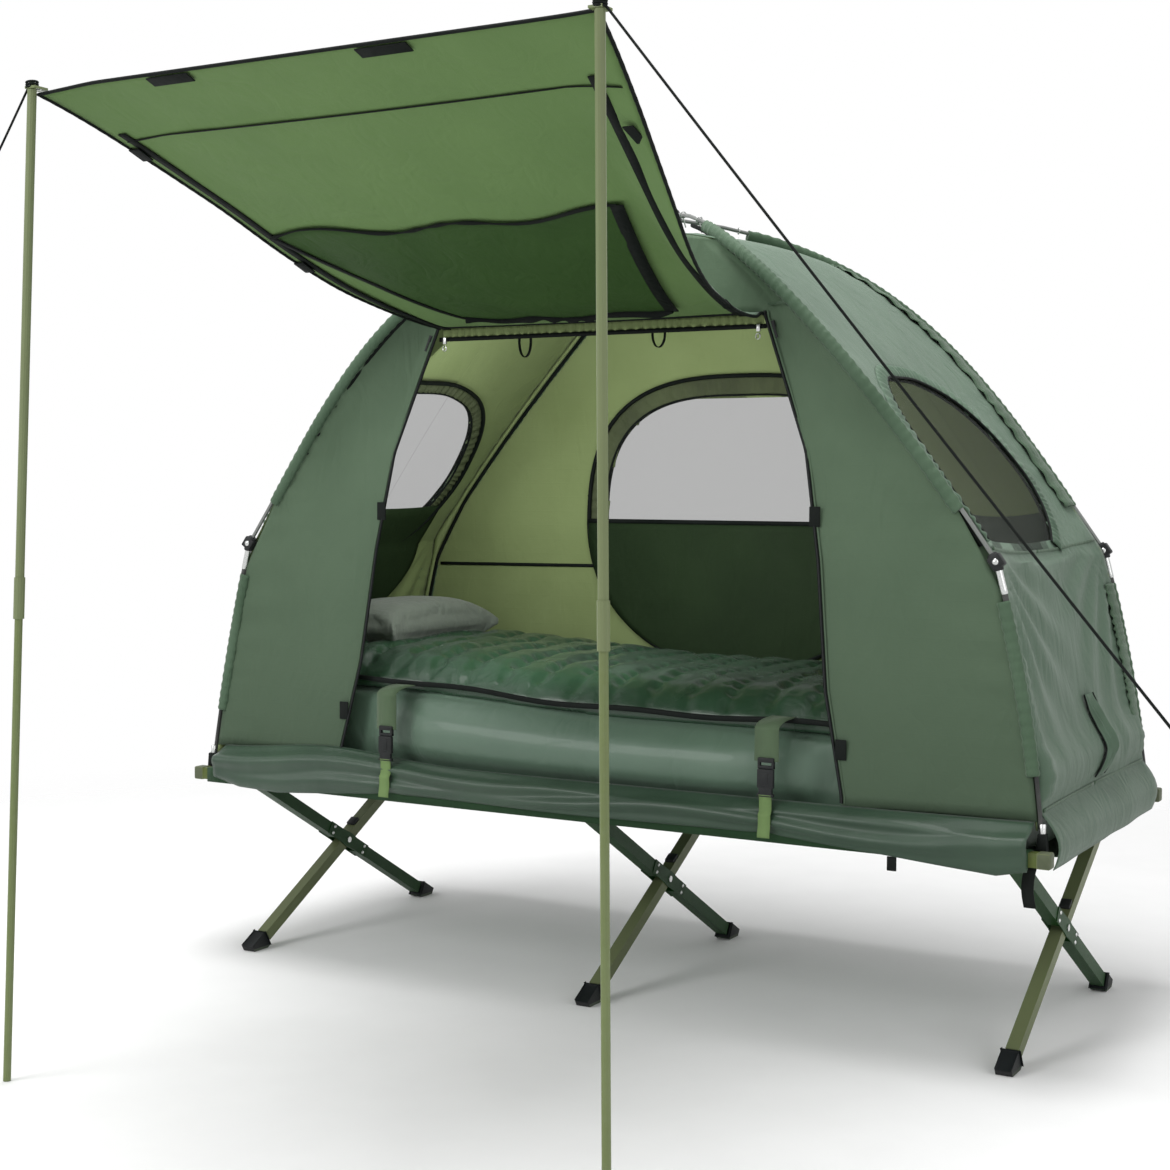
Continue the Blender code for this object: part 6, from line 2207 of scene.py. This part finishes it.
@dataclass
class BedCloth:
    """Sling, skirts and the tabs on them."""

    half_length: float = 0.930
    left_end: float = 0.908
    hem: tuple = ((0.0, 0.020), (0.04, 0.004), (0.10, 0.001), (0.27, 0.025), (0.5, 0.021), (0.73, 0.024),
                  (0.86, 0.009), (0.97, -0.008), (1.0, 0.004))
    top_z: float = 0.4696
    bottom_z: float = 0.385
    out_y: float = 0.437
    rail_y: float = 0.410
    rail_half: float = 0.0125
    sag: float = 0.060
    shares: tuple = ((0.0, 0.0), (0.28, 0.90), (0.70, 1.0), (1.0, 0.86))
    foot_edge: Vector = field(default_factory=lambda: LINES.wall_edge_at(LINES.wall_foot_z))

    def build(self) -> None:
        """Make the sling and both skirts."""
        self.sling()
        for name, side_y in HALVES:
            self.skirt(name, side_y, name + "_arch")
        bm = bmesh.new()
        block(bm, (0.676, -self.out_y + 0.002, 0.366), (0.694, -self.out_y + 0.005, 0.392), 0.001)
        solid_piece("front_skirt_tab", bm, BLACK_TAPE, "front_arch")
        ribbon("hanging_strap",
               lambda s: Vector((0.925 - 0.006 * math.sin(3 * s), -0.385, 0.392 - 0.075 * s)),
               ALONG_X, 0.011, 8, BLACK_TAPE, "front_frame")

    def sling_height(self, y: float) -> float:
        """Height of the sling's middle surface."""
        share = min(abs(y) / (self.rail_y - self.rail_half), 1.0)
        return 0.4228 - self.sag * (1 - share * share)

    def sling(self) -> None:
        """The sling between the rails, laced round them."""
        inner, outer = self.rail_y - self.rail_half, self.rail_y + self.rail_half + 0.0013

        def surface(u: float, v: float) -> Vector:
            """A point of the sling.

            Args:
                u: Place along or across the cloth.
                v: Place across the cloth.

            Returns:
                The point.
            """
            side, reach = side_of(v), abs(v)
            x = u * self.half_length
            if reach <= 0.88:
                y = inner * v / 0.88
                return Vector((x, y, self.sling_height(y)))
            down = (reach - 0.88) / 0.12
            if down <= 0.5:
                return Vector((x, side * lerp(inner, outer, down * 2), self.sling_height(inner)))
            return Vector((x, side * outer, lerp(self.sling_height(inner), 0.392, down * 2 - 1)))

        rows = [-1.0, -0.94] + spaced(-0.88, 0.88, 30) + [0.94, 1.0]
        cloth = Cloth("bed_sling_cloth", surface, spaced(-1, 1, 60), rows, SLING_CLOTH, SLING_CLOTH, 0.002,
                      relief=lambda p, u, v: 0.0015 * crumple(p, 0.12) * smooth((0.88 - abs(v)) / 0.2),
                      inside=Vector((0, 0, 3.0)))
        piece = hidden(cloth.make("canopy"), "bed_sling")
        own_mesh(piece)

    def skirt_point(self, u: float, v: float, side_y: int) -> Vector:
        """A point of a skirt: it leaves the wall's foot, rounds outward and hangs past the rail.

        Args:
            u: Place across, from -1 to 1.
            v: Place down the skirt, from 0 to 1.
            side_y: -1 at the front, 1 at the rear.

        Returns:
            The point.
        """
        reach = along(self.shares, v)
        x = lerp(-self.left_end, self.half_length, (u + 1) / 2)
        top = abs(LINES.wall_y(x, LINES.wall_foot_z, side_y, self.foot_edge))
        wave = 0.0035 * math.cos(u * 9) * v
        low = self.bottom_z + along(self.hem, (u + 1) / 2)
        high = self.top_z + 0.024 * bump_at(x, -0.60, 0.20)
        return Vector((x, side_y * (lerp(top, self.out_y, reach) + wave), lerp(high, low, v)))

    def skirt(self, name: str, side_y: int, body: str) -> None:
        """One skirt with its long glossy folds.

        Args:
            name: The piece's name, or its first part.
            side_y: -1 at the front, 1 at the rear.
            body: The body that it rides on.
        """
        def relief(point: Vector, u: float, v: float) -> float:
            """Lengthwise folds that come and go, and pulls at the straps.

            Args:
                point: A point of the cloth.
                u: Place across the cloth.
                v: Place across or down the cloth.

            Returns:
                How far the cloth is raised.
            """
            fold = math.sin(v * 11.0 + 4.0 * noise.noise(Vector((point.x * 2.4, 0, 0))) + point.x * 3.0)
            dimple = -0.006 * (bump_at(abs(point.x), 0.435, 0.022)) * smooth(v * 2)
            wrinkle = 0.0020 * crumple(point, 0.05, Vector((5.0, 1, 1)))
            return (0.0045 * fold * math.sin(math.pi * clamp(v, 0.05,
                                                             1.0)) + wrinkle) * smooth(v / 0.15) + dimple

        cloth = Cloth(name + "_skirt_cloth", lambda u, v: self.skirt_point(u, v, side_y), spaced(-1, 1, 200),
                      spaced(0, 1, 20), SKIRT_CLOTH, SLING_CLOTH, relief=relief, inside=Vector((0, 0, 0.43)))
        piece = hidden(cloth.make(body), name + "_skirt")


@dataclass
class Bedding:
    """Mattress, sleeping bag and pillow."""

    half_length: float = 0.880
    half_width: float = 0.362
    top_z: float = 0.600
    roll: float = 0.020
    crown: float = 0.006
    bulge: float = 0.052
    cells: int = 20
    channels: int = 19
    bag_half: float = 0.352
    bag_thickness: float = 0.066
    side_shares: tuple = ((0.0, 0.0), (0.32, 0.35), (0.46, 0.90), (0.66, 1.0), (0.86, 0.78), (1.0, 0.12))

    def build(self) -> None:
        """Make all three and let them close up with the bed."""
        mattress = self.padded("mattress_roll", (60, 26, 12), self.mattress_point, BED_SATIN, 0.010, 0.010)
        bag = self.padded("sleeping_bag_quilt", (114, 40, 6), self.bag_point, QUILTING, 0.010, 0.009)
        pillow = self.padded("pillow_case", (24, 30, 6), self.pillow_point, PILLOW_CLOTH, 0.006, 0.014)
        self.quilt(bag)
        for piece, node, fill in ((mattress, "mattress", 0.8), (bag, "sleeping_bag", 0.45),
                                  (pillow, "pillow", 0.6)):
            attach(piece, "canopy")
            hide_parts(node)
            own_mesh(piece)
        self.bag_zip()

    def top(self, x: float, y: float) -> float:
        """Height of the mattress's upper face.

        Args:
            x: Place along the bed.
            y: Distance from the bed's middle.

        Returns:
            The value.
        """
        across = min(abs(y) / self.half_width, 1.0)
        length = min(abs(x) / self.half_length, 1.0)
        tilt = 0.030 * smooth((0.12 - x) / 0.70)
        return self.top_z + tilt + self.crown * (1 - across ** 2) - self.roll * (across ** 8 + length ** 16)

    def mattress_point(self, a: float, b: float, c: float) -> Vector:
        """Carry a point of the unit box onto the mattress.

        Args:
            a: Place along X, from -1 to 1.
            b: Place along Y, from -1 to 1.
            c: Place along Z, from -1 to 1.

        Returns:
            The point.
        """
        share = (c + 1) / 2
        x = a * (self.half_length - self.roll * (1 - math.sin(math.pi * share)) / 2)
        fade = clamp((0.540 - abs(x)) / 0.090)
        pinch = 1 - 0.30 * bump_at(abs(x), 0.435, 0.050)
        bulge = self.bulge * along(self.side_shares, share) * fade * pinch if b < 0 else 0.0
        y = b * self.half_width - bulge * max(-b, 0.0) ** 6
        share_y = min(abs(b * self.half_width) / 0.3975, 1.0)
        bottom = 0.4228 - 0.060 * (1 - share_y * share_y) + 0.0016
        return Vector((x, y, lerp(bottom, self.top(x, b * self.half_width), share)))

    def bag_point(self, a: float, b: float, c: float) -> Vector:
        """Carry a point of the unit box onto the sleeping bag, before its channels are sewn.

        Args:
            a: Place along X, from -1 to 1.
            b: Place along Y, from -1 to 1.
            c: Place along Z, from -1 to 1.

        Returns:
            The point.
        """
        cell = (2 * self.half_length - self.roll) / self.cells
        x = a * cell * self.channels / 2
        y = clamp(b, -1.0, 1.0) * self.bag_half
        across = min(abs(y) / self.bag_half, 1.0)
        rise = lerp(self.bag_thickness - 0.006, 0.024, across ** 6)
        bottom = self.top(x, y) + 0.0012
        return Vector((x, y, lerp(bottom, bottom + rise, (c + 1) / 2)))

    def pillow_point(self, a: float, b: float, c: float) -> Vector:
        """Carry a point of the unit box onto the pillow.

        Args:
            a: Place along X, from -1 to 1.
            b: Place along Y, from -1 to 1.
            c: Place along Z, from -1 to 1.

        Returns:
            The point.
        """
        x = -0.690 + a * 0.128 * (1 - 0.08 * (1 - b * b))
        y = b * 0.225 * (1 - 0.06 * (1 - a * a))
        full = (1 - a ** 4) * (1 - b ** 4)
        thick = lerp(0.016, 0.076, full)
        base = self.top(x, y) + self.bag_thickness + 0.0009
        return Vector((x, y, base + (1 - full) * 0.018 + thick * (c + 1) / 2))

    def padded(self, name: str, cells: tuple, shape: Callable, finish: Finish, voxel: float,
               limit: float) -> bpy.types.Object:
        """Make a filled piece.

        Args:
            name: The piece's name.
            cells: Faces of the starting box along X, Y and Z.
            shape: Carries a point of the unit box onto the piece.
            finish: Its finish.
            voxel: Size of the cloth's mesh for the filling.
            limit: How far the filling may push the cloth.

        Returns:
            The new object, with its filling applied.
        """
        bm = bmesh.new()
        bmesh.ops.create_cube(bm, size=2.0)
        for axis, count in enumerate(cells):
            square = [0, 0, 0]
            square[axis] = 1
            for step in range(1, count):
                spot = [0.0, 0.0, 0.0]
                spot[axis] = 2 * step / count - 1
                bmesh.ops.bisect_plane(bm, geom=bm.verts[:] + bm.edges[:] + bm.faces[:], plane_co=spot,
                                       plane_no=square)
        for vert in bm.verts:
            vert.co = shape(*vert.co)
        bmesh.ops.recalc_face_normals(bm, faces=bm.faces)
        unwrap_flat(bm)
        piece = make_piece(name, bm, (finish,), None, 180.0)
        self.fill(piece, voxel, limit)
        return piece

    def fill(self, piece: bpy.types.Object, voxel: float, limit: float) -> None:
        """Blow the cloth up a little, as its filling does, and keep it near where it was.

        Args:
            piece: The piece.
            voxel: Size of the cloth's mesh.
            limit: How far the filling may push the cloth.
        """
        scene = bpy.context.scene
        remesh = piece.modifiers.new("remesh", "REMESH")
        remesh.mode = "VOXEL"
        remesh.voxel_size = voxel
        apply_modifiers(piece)
        before = [vert.co.copy() for vert in piece.data.vertices]
        cloth = piece.modifiers.new("filling", "CLOTH")
        cloth.settings.use_pressure = True
        cloth.settings.uniform_pressure_force = 4.0
        cloth.settings.effector_weights.gravity = 0.0
        cloth.settings.quality = 4
        for step in range(1, 17):
            scene.frame_set(step)
        apply_modifiers(piece)
        scene.frame_set(1)
        for vert, start in zip(piece.data.vertices, before):
            move = vert.co - start
            if move.length > limit:
                vert.co = start + move.normalized() * limit
        soften = piece.modifiers.new("soften", "SUBSURF")
        soften.levels = soften.render_levels = 1
        apply_modifiers(piece)
        mesh_uv(piece)
        piece.data.shade_smooth()

    def quilt(self, bag: bpy.types.Object) -> None:
        """Sew the bag's channels across it, with short puckers along every seam.

        Args:
            bag: The sleeping bag.
        """
        cell = (2 * self.half_length - self.roll) / self.cells
        for vert in bag.data.vertices:
            point = vert.co - ORIGIN
            height = point.z - self.top(point.x, point.y)
            upper = smooth(height / 0.02)
            across = clamp(abs(point.y) / self.bag_half)
            seam = math.cos(math.pi * point.x / cell) ** 2
            puff = 1 - (1 - seam) ** 3
            pucker = math.sin(point.y * 130.0 + 5.0 * noise.noise(point * 9.0)) * bump_at(seam, 0.0, 0.35)
            lump = crumple(point, 0.07, Vector((1, 1.6, 1)))
            vert.co.z += upper * (1 - across ** 6) * (0.013 * (puff - 0.75) + 0.0042 * pucker + 0.007 * lump)
        bag.data.update()

    def bag_zip(self) -> None:
        """The black zip along the bag's front edge."""
        reach = 0.8265
        stations = []
        for x in spaced(-reach, reach, 90):
            height = self.top(x, self.bag_half) + 0.027 + 0.003 * math.sin(x * 17.0)
            stations.append((Vector((x, -self.bag_half - 0.0035, height)), (0.0055, 0.0045)))
        piece = bar("sleeping_bag_zip", stations, BLACK_TAPE, "canopy")
        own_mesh(piece)


def apply_modifiers(piece: bpy.types.Object) -> None:
    """Put the result of a piece's modifiers into its mesh.

    Args:
        piece: The piece.
    """
    view = bpy.context.evaluated_depsgraph_get()
    done = bpy.data.meshes.new_from_object(piece.evaluated_get(view))
    old = piece.data
    piece.modifiers.clear()
    piece.data = done
    bpy.data.meshes.remove(old)


def mesh_uv(piece: bpy.types.Object) -> None:
    """Give a remeshed piece its place on the cloth again.

    Args:
        piece: The piece.
    """
    bm = bmesh.new()
    bm.from_mesh(piece.data)
    bm.normal_update()
    unwrap_flat(bm)
    bm.to_mesh(piece.data)
    bm.free()


@dataclass
class Straps:
    """Mattress straps with their side-release buckles, and the zip sliders."""

    x: float = 0.435
    half: float = 0.0125
    tab_y: float = 0.428
    tab_top: float = 0.6195
    male_foot: float = 0.5303
    male_top: float = 0.5483
    female_foot: float = 0.478
    female_y: float = 0.431
    buckle_half: float = 0.0165

    def build(self, bed: BedCloth) -> None:
        """Make both straps and dress the sliders.

        Args:
            bed: The skirts and the sling.
        """
        for side_name, side_x in SIDES:
            self.strap(side_name, side_x * self.x)
            self.buckle(side_name, side_x * self.x, bed)
            repaint(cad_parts[side_name + "_zip_slider"], BLACK_MOULDED)

    def strap(self, side_name: str, x: float) -> None:
        """The tab that comes over the mattress, and the buckle's upper half.

        Args:
            side_name: The side's name.
            x: Where it stands along the bed.
        """
        raised = 0.012 if x < 0 else 0.0

        def path(share: float) -> Vector:
            """From under the bag, over the mattress's edge and down to the buckle.

            Args:
                share: Place along it, from 0 to 1.

            Returns:
                The point.
            """
            if share < 0.45:
                s = share / 0.45
                y = lerp(-0.345, -self.tab_y + 0.002, s)
                return Vector((x, y, self.tab_top - 0.010 * s ** 4 + raised))
            s = (share - 0.45) / 0.55
            return Vector((x, -self.tab_y - 0.0005 * s,
                           lerp(self.tab_top - 0.011 + raised, self.male_top - 0.004, s)))

        tab = ribbon(side_name + "_strap_tab", path, ALONG_X, 0.0245, 24, TAB_TAPE,
                     "front_arch", 0.0016, Vector((x, 0, 0.5)))
        hidden(tab, side_name + "_mattress_strap")
        bm = bmesh.new()
        low, high = self.male_foot, self.male_top
        block(bm, (x - self.buckle_half, -self.tab_y - 0.0055, high - 0.006),
              (x + self.buckle_half, -self.tab_y + 0.0035, high + 0.003), 0.0015)
        block(bm, (x - self.buckle_half, -self.tab_y - 0.0055, low),
              (x + self.buckle_half, -self.tab_y + 0.0035,
              low + 0.006), 0.0015)
        for side in (-1, 1):
            edge = x + side * (self.buckle_half - 0.0025)
            block(bm, (edge - 0.0025, -self.tab_y - 0.005, low),
                  (edge + 0.0025, -self.tab_y + 0.003, high + 0.002),
                  0.001)
        solid_piece(side_name + "_buckle_upper", bm, BLACK_MOULDED, "front_arch")

    def buckle(self, side_name: str, x: float, bed: BedCloth) -> None:
        """The buckle's lower half with its side windows, and the webbing below it.

        Args:
            side_name: The side's name.
            x: Where it stands along the bed.
            bed: The skirts and the sling.
        """
        body = side_name + "_buckle_release"
        low, high, y = self.female_foot, self.male_foot - 0.0003, -self.female_y
        bm = bmesh.new()
        block(bm, (x - self.buckle_half, y - 0.0048, low + 0.016), (x + self.buckle_half, y + 0.0045, high),
              0.002)
        block(bm, (x - self.buckle_half + 0.003, y - 0.0042, low + 0.004),
              (x + self.buckle_half - 0.003, y + 0.004,
              low + 0.018), 0.0015)
        block(bm, (x - self.buckle_half, y - 0.0045, low), (x + self.buckle_half, y + 0.004, low + 0.006),
              0.0015)
        block(bm, (x - 0.006, y - 0.0056, low + 0.022), (x + 0.006, y - 0.004, high - 0.006), 0.0008)
        hidden(solid_piece(side_name + "_buckle_lower", bm, BLACK_MOULDED, body), side_name + "_buckle")

        def path(share: float) -> Vector:
            """From the buckle down the face of the skirt, to a loose end.

            Args:
                share: Place along it, from 0 to 1.

            Returns:
                The point.
            """
            z = lerp(low + 0.004, 0.402, share)
            v = clamp((bed.top_z - z) / (bed.top_z - bed.bottom_z))
            skirt = bed.skirt_point(x / bed.half_length, v, -1)
            lift = 0.0042 + 0.003 * math.sin(share * 7.0) * share
            return Vector((x, min(lerp(y, skirt.y, smooth(share * 3)) - lift, y - 0.001), z))

        web = ribbon(side_name + "_strap_webbing", path, ALONG_X, self.half, 24, OLIVE_TAPE,
                     body, 0.0016, Vector((x, 0, 0.43)))


@dataclass
class Awning:
    """The door panel held out on its poles, with its hems, zips, tabs and window."""

    top_y: float = 0.322
    top_z: float = 1.385
    top_half: float = 0.372
    outer_y: float = 1.270
    outer_z: float = 1.7245
    outer_half: float = 0.538
    sag: float = 0.050
    clearance: float = 0.0011
    seam_share: float = 0.835
    strip_start: float = 0.78
    droops: tuple = ((0.0, 0.0), (0.05, 0.020), (0.2, 0.060), (0.4, 0.100), (0.5, 0.098), (0.6, 0.070),
                     (0.8, 0.020), (0.92, 0.0), (1.0, 0.0))
    left_droops: tuple = ((0.0, 0.0), (0.3, 0.020), (0.45, 0.018), (0.6, 0.008), (1.0, 0.009))
    right_zip_line: float = 0.89
    left_zip_line: float = 0.95

    def build(self) -> None:
        """Make the panel, its details and its poles' dress."""
        under = Vector((0, -0.8, 0.2))
        cloth = Cloth("awning_panel", self.point, spaced(-1, 1, 60), spaced(0, 1, 64), ROOF_CLOTH,
                      AWNING_UNDER,
                      relief=self.relief, inside=under)
        panel = hidden(cloth.make("awning"), "door_awning")
        pieces = self.edges() + self.tabs() + [self.seam(), self.window_cover()]
        for side_name, side_x in SIDES:
            for part in ("_pole_lower", "_pole_upper"):
                repaint(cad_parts[side_name + part], POLE_PAINT)
            self.corner(side_name, side_x)

    def point(self, u: float, share: float) -> Vector:
        """A point of the panel: share runs from the door's top to the outer edge.

        Args:
            u: Place across, from -1 to 1.
            share: Place along it, from 0 to 1.

        Returns:
            The point.
        """
        slope = Vector((self.outer_y - self.top_y, self.outer_z - self.top_z)).normalized() * self.clearance
        y = lerp(self.top_y + slope.x, self.outer_y, share)
        z = lerp(self.top_z + slope.y, self.outer_z, share)
        corner = (share * abs(u)) ** 14
        half = lerp(self.top_half, self.outer_half, share) + 0.0085 * corner
        y += 0.007 * corner
        sag = self.sag * 27 / 4 * share * (1 - share) ** 2
        table = self.droops if u > 0 else self.left_droops
        near = clamp((abs(u) - self.strip_start) / (1 - self.strip_start))
        around = sum(along(table, clamp(share + step)) for step in (-0.04, -0.02, 0.0, 0.02, 0.04)) / 5
        droop = around * near ** 1.35 * smooth(share / 0.05)
        return Vector((u * half, -y, z - sag * lerp(1.0, 0.45, u * u) - droop))

    @staticmethod
    def relief(point: Vector, u: float, share: float) -> float:
        """Tension folds from the corners and slack towards the door.

        Args:
            point: A point of the cloth.
            u: Place across the cloth.
            share: Place along it, from 0 to 1.

        Returns:
            How far the cloth is raised.
        """
        held = smooth((1 - abs(u)) / 0.08) * smooth(share / 0.04) * smooth((1 - share) / 0.04)
        slack = 0.004 * crumple(point, 0.30) * (1 - share)
        pull = 0.0012 * math.sin((point.x * 1.3 - point.y) * 30.0) * bump_at(abs(u), 1.0, 0.5) * share
        seam = -0.0015 * bump_at(share, Awning.seam_share, 0.006)
        return (slack + pull) * held + seam

    def below(self, u: float, share: float, drop: float) -> Vector:
        """A point just under the panel."""
        return self.point(u, share) + Vector((0, 0, -drop))

    def edges(self) -> list:
        """Black zip tapes up both sides and a bound hem along the outer edge and the door's top.

        Returns:
            The pieces.
        """
        pieces = []
        for side_name, side_x in SIDES:
            across = Vector((side_x, 0, 0))
            line = self.right_zip_line if side_x > 0 else self.left_zip_line
            piece = ribbon(f"{side_name}_awning_tape",
                           lambda s, line=line,
                           side_x=side_x: self.below(side_x * line, lerp(0.0, 0.86, s), 0.003),
                           across, 0.0085, 60, BLACK_TAPE, "awning", 0.0016, UNDER)
            pieces.append(piece)
            stations = [(self.below(side_x, k / 90, 0.001), 0.0030 + 0.0004 * (k % 2)) for k in range(91)]
            pieces.append(bar(f"{side_name}_awning_edge", stations, BLACK_TAPE, "awning"))
        for name, share, radius in (("outer_hem", 0.999, 0.0032), ("inner_hem", 0.012, 0.0028)):
            stations = [(self.below(u, share, 0.001), radius) for u in spaced(-0.995, 0.995, 50)]
            pieces.append(bar("awning_" + name, stations, BLACK_TAPE, "awning"))
        return pieces

    def tabs(self) -> list:
        """Black grip tabs on the outer hem and along the side zips.

        Returns:
            The pieces.
        """
        pieces = []
        spots = (("outer_left", -0.50, 0.985, 0.044, 0.012), ("outer_right", 0.30, 0.985, 0.048, 0.012),
                 ("left_far", -0.985, 0.80, 0.012, 0.020), ("left_near", -0.985, 0.40, 0.012, 0.020),
                 ("right_far", 0.950, 0.74, 0.010, 0.026), ("right_near", 0.985, 0.26, 0.010, 0.018))
        for name, u, share, half_x, half_y in spots:
            bm = bmesh.new()
            centre = self.below(u, share, 0.0055)
            tilt = math.atan2(self.outer_z - self.top_z, self.outer_y - self.top_y)
            block(bm, (-half_x, -half_y, -0.0012), (half_x, half_y, 0.0012), 0.001)
            bm.transform(Matrix.Translation(centre) @ Matrix.Rotation(-tilt, 4, "X"))
            pieces.append(solid_piece("awning_tab_" + name, bm, BLACK_TAPE, "awning"))
        return pieces

    def seam(self) -> bpy.types.Object:
        """The bound seam across the panel near its outer edge.

        Returns:
            The piece.
        """
        return ribbon("awning_cross_seam",
                      lambda s: self.below(lerp(-0.97, 0.97, s), self.seam_share, 0.0026),
                      ALONG_Y, 0.0035, 50, BLACK_TAPE, "awning", 0.001,
                      UNDER)

    def window_cover(self) -> bpy.types.Object:
        """The dark cover over the panel's window, slack along its outer edge.

        Returns:
            The piece.
        """
        def surface(u: float, v: float) -> Vector:
            """A point of the cover.

            Args:
                u: Place along or across the cloth.
                v: Place across the cloth.

            Returns:
                The point.
            """
            left = lerp(-0.60, -0.93, clamp(v) ** 0.8)
            right = lerp(0.58, 0.71, clamp(v))
            across = lerp(left, right, (u + 1) / 2)
            wave = 0.010 * math.sin(u * 8.0 + 0.6) * (2 * v - 1)
            share = lerp(0.105, 0.520, v) + wave
            drop = 0.006 + 0.012 * math.sin(math.pi * clamp(v)) * (1 - u * u)
            return self.below(across, share, drop)

        piece = Cloth("awning_window_cover", surface, spaced(-1, 1, 44), spaced(0, 1, 18), AWNING_COVER,
                      AWNING_COVER, 0.001, inside=UNDER,
                      relief=lambda p, u, v: 0.002 * crumple(p, 0.08)).make("awning")
        for name, v, wide in (("outer", 1.0, 0.0028), ("inner", 0.0, 0.0075)):
            stations = []
            for u in spaced(-1, 1, 70):
                radius = wide * (1 + 0.35 * math.sin(u * 21.0 + 4 * math.sin(u * 5.0)))
                stations.append((surface(u, v) + Vector((0, 0, -0.002)), (radius, radius * 0.6)))
            bar("awning_cover_zip_" + name, stations, BLACK_TAPE, "awning")
        for name, u, half in (("right", 1.0, 0.013), ("left", -1.0, 0.006)):
            ribbon(f"awning_cover_strap_{name}", lambda s, u=u: surface(u, s) + Vector((0, 0, -0.003)),
                   ALONG_X, half, 24, BLACK_TAPE, "awning", 0.0016, UNDER)
        return piece

    def corner(self, side_name: str, side_x: int) -> None:
        """A bright eyelet at the panel's corner.

        Args:
            side_name: The side's name.
            side_x: -1 on the left, 1 on the right.
        """
        bm = bmesh.new()
        ring(bm, Vector((side_x * 0.548, -1.276, 1.7235)), Vector((0, 0, 1)), 0.006, 0.0018, 16)
        solid_piece(side_name + "_corner_eyelet", bm, BRIGHT_STEEL, side_name + "_pole")


def main() -> None:
    """Build the studio, then the tent cot from the ropes to the bedding."""
    logging.basicConfig(level=logging.INFO)
    Studio().build()
    GuyRopes().build()
    BedFrame().build()
    TentPoles().build()
    Walls().build()
    Roof().build()
    bed = BedCloth()
    bed.build()
    Bedding().build()
    Straps().build(bed)
    Awning().build()


if __name__ == "__main__":
    main()
